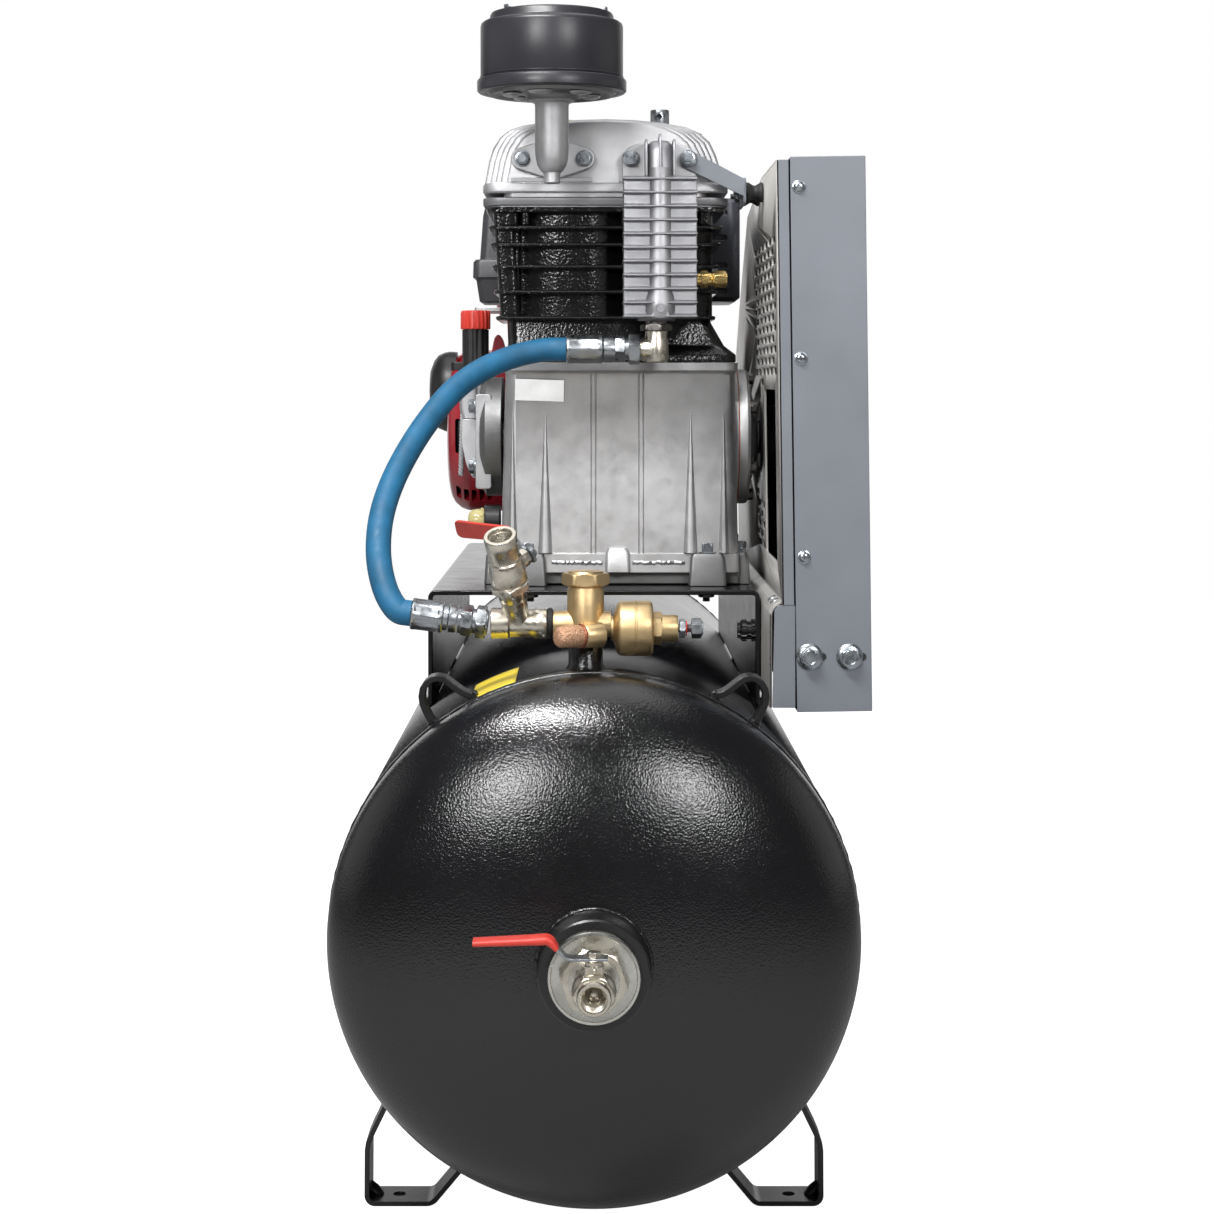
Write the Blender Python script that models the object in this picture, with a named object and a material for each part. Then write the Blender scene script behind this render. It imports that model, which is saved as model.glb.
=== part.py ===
"""Petrol-driven belt compressor: twin-cylinder piston pump on a horizontal air receiver.

Everything is placed on the receiver: X = 0 is its middle plane, Y = 0 its front girth seam with +Y
towards the rear, and Z = 0 the ground.  One empty then carries all of it to the middle of the
machine's own bounding box.  Metres throughout.
"""
import bpy
import bmesh
from math import acos, atan2, cos, degrees, pi, radians, sin, sqrt, tau
from mathutils import Matrix, Vector

for item in list(bpy.data.objects):
    bpy.data.objects.remove(item, do_unlink=True)

# ---- driving dimensions -------------------------------------------------------------------------
GAP = 0.0003                 # between pieces that touch

TANK_R = 0.250
TANK_LENGTH = 1.264          # girth seam to girth seam
TANK_WALL = 0.004
TANK_Z = 0.300               # height of the receiver's axis
DOME_SKIRT = 0.018
DOME_DEPTH = 0.100
NECK_R = 0.034               # threaded neck in the middle of each end

VALVE_TIP = 0.229            # outlet valve's mouth, in front of the seam
REAR_PLUG = 0.150            # rear plug, behind the rear seam

PLATE_TOP = 0.605            # top of the engine and pump platform
PLATE_T = 0.005
PLATE_HALF = 0.173
PLATE_FRONT = 0.240
PLATE_REAR = 0.965

SHAFT_Y = 0.395              # pump crankshaft
SHAFT_Z = 0.762
CASE_TOP = 0.8427
BLOCK_TOP = 1.0084
HEAD_Z = 1.0350
HEAD_TOP = 1.1026
FLYWHEEL_R = 0.210
THROW = 0.030                # crank throw

ENGINE_Y = 0.720             # engine crankshaft
ENGINE_Z = 0.762
PULLEY_R = 0.070
BELT_X = 0.228               # middle plane of the belts
BELT_HALF = 0.022

GUARD_OUT = 0.272            # outer face of the belt guard
GUARD_T = 0.002
GUARD_Z = 0.495
LEAN = radians(0.83)         # the guard stands slightly askew, its top towards the pump
LEAN_Z = 0.770
GUARD_REACH = BELT_X + (GUARD_OUT - BELT_X) * cos(LEAN) + (LEAN_Z - GUARD_Z) * sin(LEAN)

LOW_BORE = 0.0470            # radius of the large, low-pressure cylinder
HIGH_BORE = 0.0290
LOW_X = -0.0220              # the two cylinders' axes
HIGH_X = 0.0820
BELT_SEAT = FLYWHEEL_R - 0.0050
RAIL_TOP = ENGINE_Z - 0.107
TANK_LOW = 0.9000            # underside of the fuel tank
COWL_LOW = 0.9155            # underside of the air cleaner and the muffler
CAP_LIFT = 0.048             # the starter's cap, above the crankshaft

MANIFOLD_X = -0.008          # boss on the receiver's crown
MANIFOLD_Y = 0.035
MANIFOLD_Z = 0.591
RUN_Z = MANIFOLD_Z + 0.001
BRANCH_X = -0.0720           # where the service valve leaves the run
BOSS_TOP = 0.571
SHAFT_BORE = 0.0183
CASE_WALL = 0.009

FILTER_X = -0.0435           # intake filter
FILTER_Y = 0.225
FILTER_LOW = 1.1140
HEAD_FACE = 0.2985           # machined front of the head

WING_TURN = radians(-17)     # the service lever, from square across its valve

HOSE_R = 0.0123
TAIL_LENGTH = 0.0735
ELBOW = Vector((0.0655, 0.2660, 0.8565))
VALVE_AT = Vector((0, -0.200, TANK_Z))        # the outlet ball valve's ball

UP = Matrix.Identity(4)
TO_X = Matrix.Rotation(pi / 2, 4, "Y")
TO_MINUS_X = Matrix.Rotation(-pi / 2, 4, "Y")
TO_Y = Matrix.Rotation(-pi / 2, 4, "X")
TO_MINUS_Y = Matrix.Rotation(pi / 2, 4, "X")
SIDEWAYS = Matrix.Rotation(pi / 2, 4, "Z") @ Matrix.Rotation(pi / 2, 4, "X")   # (a, b) outline to (Y, Z)
FRONTAL = Matrix.Rotation(pi / 2, 4, "X")                                      # (a, b) outline to (X, Z)

BRANCH_LINE = Vector((-0.153, -0.510, 0.846)).normalized()
ASIDE = Vector((0.70, 0.52, 0.44))
STEM_LINE = (ASIDE - ASIDE.dot(BRANCH_LINE) * BRANCH_LINE).normalized()
TAIL_LINE = Vector((-cos(radians(7)), 0, sin(radians(7))))
TAIL_START = Vector((MANIFOLD_X - 0.0930, MANIFOLD_Y, RUN_Z + 0.0002))
SERVICE_AT = Vector((BRANCH_X, MANIFOLD_Y, RUN_Z)) + BRANCH_LINE * 0.0640


def frame_of(along, side):
    """Rotation that takes +Z to `along` and +X to `side`."""
    return Matrix((side, along.cross(side), along)).transposed().to_4x4()


BRANCH = frame_of(BRANCH_LINE, STEM_LINE)
STEM = frame_of(STEM_LINE, BRANCH_LINE.cross(STEM_LINE))
TAIL = frame_of(TAIL_LINE, Vector((0, 1, 0)))
HOSE_START = ELBOW + Vector((-0.0942, 0, 0))
HOSE_END = TAIL_START + TAIL_LINE * (TAIL_LENGTH + 2 * GAP)
HOSE_ROUTE = (
    HOSE_START - Vector((2 * GAP, 0, 0)), HOSE_START - Vector((0.0120, 0, 0)),
    (-0.0600, 0.2625, 0.8545), (-0.0890, 0.2520, 0.8470), (-0.1190, 0.2330, 0.8330),
    (-0.1460, 0.2080, 0.8115),
    (-0.1700, 0.1740, 0.7800), (-0.1885, 0.1390, 0.7475), (-0.2010, 0.1080, 0.7170),
    (-0.2075, 0.0820, 0.6880),
    (-0.2080, 0.0610, 0.6580), (-0.2025, 0.0460, 0.6310), (-0.1930, 0.0370, 0.6110),
    HOSE_END + TAIL_LINE * 0.0080, HOSE_END)

machine = bpy.data.objects.new("machine", None)
bpy.context.scene.collection.objects.link(machine)
machine.location = ((TANK_R - GUARD_REACH) / 2, (VALVE_TIP - TANK_LENGTH - REAR_PLUG) / 2, 0)

# ---- materials ----------------------------------------------------------------------------------
FINISHES = {
    "black_coat": ((0.016, 0.016, 0.017), 0.38, 0.0),
    "grey_coat": ((0.26, 0.28, 0.31), 0.45, 0.0),
    "black_enamel": ((0.010, 0.010, 0.010), 0.25, 0.0),
    "charcoal_coat": ((0.045, 0.045, 0.05), 0.50, 0.0),
    "red_coat": ((0.35, 0.02, 0.03), 0.35, 0.0),
    "cast_aluminium": ((0.55, 0.55, 0.55), 0.45, 1.0),
    "cast_iron": ((0.10, 0.10, 0.10), 0.55, 1.0),
    "zinc": ((0.70, 0.73, 0.77), 0.28, 1.0),
    "nickel": ((0.66, 0.62, 0.56), 0.25, 1.0),
    "brass": ((0.72, 0.52, 0.22), 0.35, 1.0),
    "bronze": ((0.72, 0.46, 0.30), 0.70, 1.0),
    "steel": ((0.45, 0.45, 0.46), 0.35, 1.0),
    "red_plastic": ((0.62, 0.06, 0.04), 0.45, 0.0),
    "black_plastic": ((0.018, 0.018, 0.018), 0.50, 0.0),
    "rubber": ((0.015, 0.015, 0.015), 0.80, 0.0),
    "blue_hose": ((0.02, 0.16, 0.36), 0.62, 0.0),
}


def finish(name):
    """The Principled material of one finish, made once."""
    found = bpy.data.materials.get(name)
    if found:
        return found
    colour, roughness, metallic = FINISHES[name]
    made = bpy.data.materials.new(name)
    made.use_nodes = True
    shader = made.node_tree.nodes["Principled BSDF"]
    shader.inputs["Base Color"].default_value = (*colour, 1.0)
    shader.inputs["Roughness"].default_value = roughness
    shader.inputs["Metallic"].default_value = metallic
    return made


# ---- outlines: lists of (a, b) points, counter-clockwise ------------------------------------------
def arc(a, b, radius, start, end, steps):
    """Points on an arc about (a, b), angles in degrees, both ends included."""
    turns = [radians(start + (end - start) * i / steps) for i in range(steps + 1)]
    return [(a + radius * cos(t), b + radius * sin(t)) for t in turns]


def circle(radius, steps=24, a=0.0, b=0.0):
    return arc(a, b, radius, 0, 360, steps)[:-1]


def hexagon(across_flats, a=0.0, b=0.0):
    return circle(across_flats / sqrt(3), 6, a, b)


def rounded(a0, a1, b0, b1, radius, steps=3):
    """A rectangle with round corners."""
    corners = ((a1, b0, -90), (a1, b1, 0), (a0, b1, 90), (a0, b0, 180))
    points = []
    for a, b, start in corners:
        inward_a = -radius if a == a1 else radius
        inward_b = -radius if b == b1 else radius
        points += arc(a + inward_a, b + inward_b, radius, start, start + 90, steps)
    return points


def bent_bar(line, thickness):
    """Closed outline of a bar of even thickness along an open centre line."""
    points = [Vector(p) for p in line]
    left, right = [], []
    for i, here in enumerate(points):
        into = (here - points[i - 1]).normalized() if i else (points[1] - here).normalized()
        out = (points[i + 1] - here).normalized() if i + 1 < len(points) else into
        mean = (into + out).normalized()
        side = Vector((-mean.y, mean.x)) * (thickness / 2) / max(mean.dot(into), 0.5)
        left.append(tuple(here + side))
        right.append(tuple(here - side))
    return right + left[::-1]


# ---- solids: closed bmeshes -----------------------------------------------------------------------
def skin(loops, closed=False):
    """Join rings of equal count into one closed solid; `closed` joins the last to the first."""
    bm = bmesh.new()
    rings = [[bm.verts.new(p) for p in loop] for loop in loops]
    count = len(rings[0])
    pairs = list(zip(rings, rings[1:]))
    if closed:
        pairs.append((rings[-1], rings[0]))
    for low, high in pairs:
        for i in range(count):
            j = (i + 1) % count
            bm.faces.new((low[i], low[j], high[j], high[i]))
    if not closed:
        bm.faces.new(rings[0][::-1])
        bm.faces.new(rings[-1])
    bmesh.ops.recalc_face_normals(bm, faces=bm.faces)
    return bm


def prism(outline, low, high, turn=UP):
    """An outline in the XY plane carried from height `low` to `high`, then turned."""
    bm = skin([[(a, b, h) for a, b in outline] for h in (low, high)])
    bmesh.ops.transform(bm, matrix=turn, verts=bm.verts)
    return bm


def loft(sections, turn=UP):
    """(height, outline) sections joined in order."""
    bm = skin([[(a, b, h) for a, b in outline] for h, outline in sections])
    bmesh.ops.transform(bm, matrix=turn, verts=bm.verts)
    return bm


def turned(profile, steps=24, turn=UP):
    """A closed (radius, height) outline spun about Z; radius 0 points may only be its two ends."""
    bm = bmesh.new()
    solid = profile[0][0] == 0
    inner = profile[1:-1] if solid else profile
    rings = []
    for radius, height in inner:
        rings.append([bm.verts.new((a, b, height)) for a, b in circle(radius, steps)])
    pairs = list(zip(rings, rings[1:]))
    if not solid:
        pairs.append((rings[-1], rings[0]))
    for low, high in pairs:
        for i in range(steps):
            j = (i + 1) % steps
            bm.faces.new((low[i], low[j], high[j], high[i]))
    if solid:
        for tip, ring in ((profile[0], rings[0]), (profile[-1], rings[-1])):
            if tip[1] == (profile[1] if ring is rings[0] else profile[-2])[1]:
                bm.faces.new(ring)
                continue
            point = bm.verts.new((0, 0, tip[1]))
            for i in range(steps):
                bm.faces.new((ring[i], ring[(i + 1) % steps], point))
    bmesh.ops.recalc_face_normals(bm, faces=bm.faces)
    bmesh.ops.transform(bm, matrix=turn, verts=bm.verts)
    return bm


def tube(outer, inner, low, high, steps=24, turn=UP):
    return turned([(inner, low), (outer, low), (outer, high), (inner, high)], steps, turn)


def rod(radius, low, high, steps=20, turn=UP):
    return prism(circle(radius, steps), low, high, turn)


def block(x0, x1, y0, y1, z0, z1, radius=0.0, steps=2):
    """A box; with a radius, its upright edges are round."""
    if not radius:
        return prism([(x0, y0), (x1, y0), (x1, y1), (x0, y1)], z0, z1)
    return prism(rounded(x0, x1, y0, y1, radius, steps), z0, z1)


def pose(bm, at=(0, 0, 0), turn=UP):
    bmesh.ops.transform(bm, matrix=Matrix.Translation(at) @ turn, verts=bm.verts)
    return bm


# ---- objects ----------------------------------------------------------------------------------------
def make(name, bm, look, at=(0, 0, 0), smooth=30):
    """A named piece from a solid modelled about `at`."""
    mesh = bpy.data.meshes.new(name)
    bm.to_mesh(mesh)
    bm.free()
    mesh.materials.append(finish(look))
    mesh.shade_smooth()
    mesh.set_sharp_from_angle(angle=radians(smooth))
    piece = bpy.data.objects.new(name, mesh)
    bpy.context.scene.collection.objects.link(piece)
    piece.parent = machine
    piece.location = at
    return piece


def boolean(piece, bm, operation):
    """Cut `bm` from a piece or weld it on; `bm` is modelled about the piece's own origin."""
    helper = make(f"{piece.name}_{operation.lower()}_{len(piece.modifiers)}", bm, "steel", piece.location)
    helper.hide_render = True
    helper.display_type = "WIRE"
    step = piece.modifiers.new(operation.title(), "BOOLEAN")
    step.operation = operation
    step.solver = "EXACT"
    step.object = helper


def cut(piece, *solids):
    for bm in solids:
        boolean(piece, bm, "DIFFERENCE")


def weld(piece, *solids):
    for bm in solids:
        boolean(piece, bm, "UNION")


def frontal(outline, y0, y1):
    """An (X, Z) outline carried from Y = y0 to Y = y1."""
    return prism(outline, -y1, -y0, FRONTAL)


def sideways(outline, x0, x1):
    """A (Y, Z) outline carried from X = x0 to X = x1."""
    return prism(outline, x0, x1, SIDEWAYS)


def mirrored(outline):
    return [(-a, b) for a, b in reversed(outline)]


# ---- air receiver ---------------------------------------------------------------------------------
def dome(radius):
    """How far an end's outer skin stands out from its seam."""
    return DOME_SKIRT + DOME_DEPTH * sqrt(1 - (radius / TANK_R) ** 2)


def dished_profile(hole):
    """Wall section of an end, from the seam over the dome to the hole and back inside."""
    last = acos(hole / TANK_R)
    steps = 5
    outer = [(TANK_R, GAP)]
    inner = [(TANK_R - TANK_WALL, GAP)]
    for i in range(steps + 1):
        turn = last * i / steps
        outer.append((TANK_R * cos(turn), DOME_SKIRT + DOME_DEPTH * sin(turn)))
        inner.append(((TANK_R - TANK_WALL) * cos(turn), DOME_SKIRT + (DOME_DEPTH - TANK_WALL) * sin(turn)))
    if hole == 0:
        outer[-1] = (0, outer[-1][1])
        inner[-1] = (0, inner[-1][1])
    return outer[::-1] + inner


def receiver():
    axis = (0, 0, TANK_Z)
    shell = make("tank_shell", tube(TANK_R, TANK_R - TANK_WALL, GAP, TANK_LENGTH - GAP, 32, TO_Y),
                 "black_coat", axis)
    boss_top = BOSS_TOP - TANK_Z
    weld(shell, pose(rod(0.0165, TANK_R - 0.0035, boss_top), (MANIFOLD_X, MANIFOLD_Y, 0)))
    cut(shell, pose(rod(0.0095, TANK_R - 0.02, boss_top + 0.01), (MANIFOLD_X, MANIFOLD_Y, 0)))
    cut(shell, pose(rod(0.0060, -TANK_R - 0.01, -TANK_R + 0.02, 12), (0, TANK_LENGTH / 2, 0)))
    make("front_dished_end", turned(dished_profile(NECK_R - 0.004), 32, TO_MINUS_Y), "black_coat", axis)
    rear = make("rear_dished_end", turned(dished_profile(0)[::-1], 32, TO_Y), "black_coat",
                (0, TANK_LENGTH, TANK_Z))
    weld(rear, rod(NECK_R, dome(0) - 0.002, 0.136, 24, TO_Y))
    weld(rear, prism(hexagon(0.046), 0.135, REAR_PLUG, TO_Y))
    bore = NECK_R - 0.004
    ring = [(bore, dome(bore) + GAP), (0.050, dome(0.050) + GAP), (0.050, 0.146), (0.047, 0.150),
            (bore, 0.150)]
    make("front_socket", turned(ring, 24, TO_MINUS_Y), "black_coat", axis)
    flange = [(0, 0.1503), (0.0413, 0.1503), (0.0413, 0.1570), (0.0395, 0.1585), (0, 0.1585)]
    reducer = make("reducer_flange", turned(flange, 24, TO_MINUS_Y), "zinc", axis)
    weld(reducer, prism(hexagon(0.054), 0.158, 0.1715, TO_MINUS_Y))
    cut(reducer, rod(0.0085, 0.14, 0.18, 16, TO_MINUS_Y))


def reach_shell(start, heading, clearance):
    """Where a line from `start` comes within `clearance` of the receiver's skin."""
    x, z = start[0], start[1] - TANK_Z
    dx, dz = Vector(heading).normalized()
    along = -(x * dx + z * dz)
    depth = sqrt((TANK_R + clearance) ** 2 - (x * x + z * z - along * along))
    return (start[0] + dx * (along - depth), start[1] + dz * (along - depth))


def foot(name, side, y0):
    """A flat bar bent into a loop: down from the shell, along the floor and back up to the shell."""
    half = 0.0025
    heel = arc(-0.2185, half + 0.008, 0.008, 180, 270, 3)
    toe = arc(-0.167, half + 0.012, 0.012, 270, 320, 3)
    knee = (-0.2221, 0.0705)
    line = [reach_shell(knee, (0.0322, 0.0664), 0.0022), knee, (-0.2265, 0.0585), *heel, *toe]
    line.append(reach_shell(toe[-1], (0.643, 0.766), 0.0022))
    outline = bent_bar(line, 2 * half)
    if side > 0:
        outline = mirrored(outline)
    piece = make(name, frontal(outline, y0, y0 + 0.046), "black_coat")
    cut(piece, pose(rod(0.006, -0.01, 0.02, 16), (side * 0.1957, y0 + 0.023, 0)))


def lifting_eye(name, side):
    """A bent bar welded to the crown of the shell by both ends."""
    steps = ((117.2, 0.0037), (118.3, 0.0085), (119.3, 0.0182), (120.0, 0.0280), (121.2, 0.0345),
             (123.0, 0.0360),
             (124.8, 0.0330), (126.0, 0.0270), (126.9, 0.0160), (127.3, 0.0012))
    line = []
    for degrees, height in steps:
        reach = TANK_R + height
        line.append((reach * cos(radians(degrees)), TANK_Z + reach * sin(radians(degrees))))
    outline = bent_bar(line, 0.006)
    if side > 0:
        outline = mirrored(outline)
    make(name, frontal(outline, 0.006, 0.030), "black_coat")


def receiver_fittings():
    for end, y0 in (("front", 0.125), ("rear", TANK_LENGTH - 0.171)):
        for hand, side in (("left", -1), ("right", 1)):
            foot(f"foot_{end}_{hand}", side, y0)
    lifting_eye("lifting_eye_left", -1)
    lifting_eye("lifting_eye_right", 1)
    drain = (0, TANK_LENGTH / 2, TANK_Z - TANK_R)
    stem = [(0, 0.002), (0.0052, 0.002), (0.0052, -0.0006), (0.0105, -0.0006), (0.0105, -0.008),
            (0.007, -0.009),
            (0.007, -0.015), (0.0115, -0.016), (0.0115, -0.024), (0, -0.024)]
    make("drain_valve", turned(stem[::-1], 16), "brass", drain)


def outlet_valve():
    """Ball valve on the reducer.  Its lever lies across the flow, so it is shut."""
    at = VALVE_AT
    start, tip = 0.1725 + at.y, VALVE_TIP + at.y
    profile = [(0, start), (0.0100, start), (0.0100, -0.0200), (0.0160, -0.0185), (0.0160, -0.0095),
               (0.0185, -0.0065), (0.0190, 0.0), (0.0175, 0.0070), (0.0145, 0.0100), (0.0145, tip), (0, tip)]
    body = make("outlet_valve_body", turned(profile, 20, TO_MINUS_Y), "nickel", at)
    weld(body, rod(0.0085, 0.010, 0.0270, 16))
    cut(body, rod(0.0078, -0.04, 0.04, 16, TO_MINUS_Y))
    cut(body, turned(ball_profile(0.0123), 12))
    cut(body, rod(0.0046, 0.0, 0.040, 12))
    ball = make("outlet_valve_ball", turned(ball_profile(0.0115), 12), "steel", at)
    weld(ball, rod(0.0038, 0.0095, 0.0360, 12))
    weld(ball, prism(hexagon(0.0105), 0.0301, 0.0352))
    cut(ball, rod(0.0065, -0.03, 0.03, 12, TO_X))
    strip = [(0.012, 0.02855), (-0.024, 0.02855), (-0.037, 0.0440), (-0.100, 0.0415)]
    sleeve = [(-0.0335, 0.0415), (-0.039, 0.0462), (-0.060, 0.0440), (-0.104, 0.0424)]
    lever = make("outlet_valve_lever", frontal(bent_bar(strip, 0.0025), -0.008, 0.008), "red_plastic", at)
    weld(lever, frontal(bent_bar(sleeve, 0.0060), -0.0095, 0.0095))
    cut(lever, rod(0.0042, 0.02, 0.04, 12))


def ball_profile(radius, steps=5):
    """Half circle from pole to pole."""
    points = [(radius * sin(pi * i / steps), -radius * cos(pi * i / steps)) for i in range(steps + 1)]
    return [(0, -radius), *points[1:-1], (0, radius)]


# ---- inlet manifold on the receiver ---------------------------------------------------------------
def manifold():
    """Check valve on the top boss, its unloader, the service tee and the hose tail."""
    seat = (MANIFOLD_X, MANIFOLD_Y, 0)
    column = [(0, 0.5713), (0.0150, 0.5713), (0.0175, 0.5750), (0.0175, 0.6270), (0, 0.6270)]
    body = make("check_valve_body", turned(column, 20), "brass", seat)
    weld(body, pose(rod(0.0125, -0.0300, 0.0240, 16, TO_X), (0, 0, MANIFOLD_Z)))
    make("check_valve_cap", prism(hexagon(0.0405), 0.6273, 0.6420), "brass", seat)

    lean = Matrix.Rotation(radians(30), 4, "Z") @ TO_MINUS_X
    plug = [(0, 0.0), (0.0105, 0.0), (0.0105, 0.024), (0.0080, 0.0275), (0, 0.0275)]
    make("unloader_filter", turned(plug, 16, lean), "bronze",
         (MANIFOLD_X - 0.0030, MANIFOLD_Y - 0.0300, 0.5830))
    weld(body, pose(rod(0.0090, -0.018, -GAP, 12, lean), (-0.0030, -0.0300, 0.5830)))

    hub = [(0, 0.0243), (0.0125, 0.0243), (0.0250, 0.0320), (0.0262, 0.0340), (0.0262, 0.0620),
           (0.0240, 0.0650),
           (0.0128, 0.0655), (0.0128, 0.0880), (0, 0.0880)]
    side = (MANIFOLD_X, MANIFOLD_Y, 0.5870)
    unloader = make("unloader_body", turned(hub, 24, TO_X), "brass", side)
    weld(unloader, prism(hexagon(0.0275), 0.0640, 0.0725, TO_X))
    cut(unloader, rod(0.0046, 0.0650, 0.0950, 12, TO_X))
    screw = make("unloader_screw", rod(0.0040, 0.0680, 0.1060, 12, TO_X), "zinc", side)
    weld(screw, prism(hexagon(0.0160), 0.1010, 0.1120, TO_X))
    weld(screw, prism(hexagon(0.0165), 0.0900, 0.0950, TO_X))

    run = [(0, 0.0303), (0.0110, 0.0303), (0.0110, 0.0370), (0.0140, 0.0375), (0.0140, 0.0905), (0, 0.0905)]
    branch = (BRANCH_X - MANIFOLD_X, 0, 0)
    tee = make("service_tee", turned(run, 20, TO_MINUS_X), "nickel", (MANIFOLD_X, MANIFOLD_Y, RUN_Z))
    weld(tee, pose(rod(0.0120, 0.0, 0.0300, 20, BRANCH), branch))
    cut(tee, rod(0.0080, -0.1, 0.1, 12, TO_X), pose(rod(0.0075, 0.0, 0.04, 12, BRANCH), branch))

    tail = make("hose_tail", rod(0.0118, 0.0, 0.0440, 16, TAIL), "zinc", TAIL_START)
    weld(tail, prism(hexagon(0.0300), 0.0020, 0.0120, TAIL), prism(hexagon(0.0270), 0.0150, 0.0330, TAIL))
    weld(tail, rod(0.0152, 0.0430, TAIL_LENGTH, 20, TAIL))


def service_valve():
    """Small ball valve on the tee's branch, with a butterfly lever on its slanted stem."""
    profile = [(0, -0.0335), (0.0135, -0.0335), (0.0135, -0.0200), (0.0175, -0.0180), (0.0175, -0.0080),
               (0.0165, 0.0080), (0.0150, 0.0150), (0.0150, 0.0390), (0, 0.0390)]
    body = make("service_valve_body", turned(profile, 20, BRANCH), "nickel", SERVICE_AT)
    weld(body, rod(0.0080, 0.0100, 0.0250, 12, STEM))
    cut(body, rod(0.0095, -0.05, 0.05, 16, BRANCH), rod(0.0042, 0.012, 0.03, 12, STEM))
    lever = make("service_valve_lever", rod(0.0036, 0.0150, 0.0350, 12, STEM), "red_plastic", SERVICE_AT)
    weld(lever, prism(hexagon(0.0090), 0.0280, 0.0335, STEM))
    wing = [(-0.010, -0.007), (0.010, -0.007), (0.026, 0.0110), (0.104, 0.0100), (0.110, 0.0130),
            (0.105, 0.0290), (0.012, 0.0295), (0.002, 0.007), (-0.010, 0.007)]
    weld(lever, prism(wing, 0.0255, 0.0290, STEM @ Matrix.Rotation(WING_TURN, 4, "Z")))


# ---- delivery hose and its fittings ---------------------------------------------------------------
def delivery_elbow():
    """Brass elbow under the aftercooler, its nipple, union nut and the hose's upper ferrule."""
    column = [(0, -0.0130), (0.0120, -0.0130), (0.0120, 0.0190), (0.0165, 0.0190), (0.0165, 0.0262),
              (0.0120, 0.0262), (0.0120, 0.0305), (0, 0.0305)]
    branch = [(0, -0.0040), (0.0114, -0.0040), (0.0114, 0.0175), (0.0160, 0.0175), (0.0160, 0.0290),
              (0.0114, 0.0290), (0.0114, 0.0440), (0.0145, 0.0440), (0.0145, 0.0555), (0.0152, 0.0560),
              (0.0152, 0.0942), (0, 0.0942)]
    elbow = make("delivery_elbow", turned(column, 12), "brass", ELBOW)
    weld(elbow, turned(branch, 14, TO_MINUS_X))


def smooth_line(route, per_span):
    """Points on a smooth curve through the route, `per_span` for each span; its end spans are straight."""
    points = [Vector(p) for p in route]
    slopes = []
    for i, here in enumerate(points):
        before = points[max(i - 1, 0)]
        after = points[min(i + 1, len(points) - 1)]
        slopes.append((after - before).normalized())
    slopes[1], slopes[-2] = slopes[0], slopes[-1]
    line = []
    for (p, q), (u, v) in zip(zip(points, points[1:]), zip(slopes, slopes[1:])):
        reach = (q - p).length
        for k in range(per_span):
            t = k / per_span
            line.append(p * (2 * t ** 3 - 3 * t ** 2 + 1) + u * reach * (t ** 3 - 2 * t ** 2 + t)
                        + q * (3 * t ** 2 - 2 * t ** 3) + v * reach * (t ** 3 - t ** 2))
    return line + [points[-1]]


def discharge_hose():
    """Rubber hose, held at both ends."""
    line = smooth_line(HOSE_ROUTE, 2)
    curve = bpy.data.curves.new("discharge_hose", "CURVE")
    curve.dimensions = "3D"
    curve.bevel_depth = HOSE_R
    curve.bevel_resolution = 2
    curve.use_fill_caps = True
    spline = curve.splines.new("POLY")
    spline.points.add(len(line) - 1)
    for point, place in zip(spline.points, line):
        point.co = (*place, 1.0)
    curve.materials.append(finish("blue_hose"))
    hose = bpy.data.objects.new("discharge_hose", curve)
    bpy.context.scene.collection.objects.link(hose)
    hose.parent = machine


# ---- platform -------------------------------------------------------------------------------------
def platform():
    """Bent sheet channel across the receiver, with the engine's two rails on its back half."""
    foot_z = TANK_Z + sqrt(TANK_R ** 2 - (PLATE_HALF - PLATE_T) ** 2) + GAP
    under = PLATE_TOP - PLATE_T
    bend = arc(PLATE_HALF - 0.008, PLATE_TOP - 0.008, 0.008, 0, 90, 3)
    inside = arc(PLATE_HALF - 0.008, PLATE_TOP - 0.008, 0.003, 90, 0, 2)
    right = [(PLATE_HALF, foot_z), *bend]
    left = [(-a, b) for a, b in reversed(right)]
    inner = [(-PLATE_HALF + PLATE_T, foot_z), *[(-a, b) for a, b in reversed(inside)], *inside,
             (PLATE_HALF - PLATE_T, foot_z)]
    plate = make("platform", frontal(right + left + inner, PLATE_FRONT, PLATE_REAR), "black_coat")
    for x in (-0.078, 0.072):
        weld(plate, block(x, x + 0.034, ENGINE_Y - 0.13, ENGINE_Y + 0.14, under + 0.001, RAIL_TOP))


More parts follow.
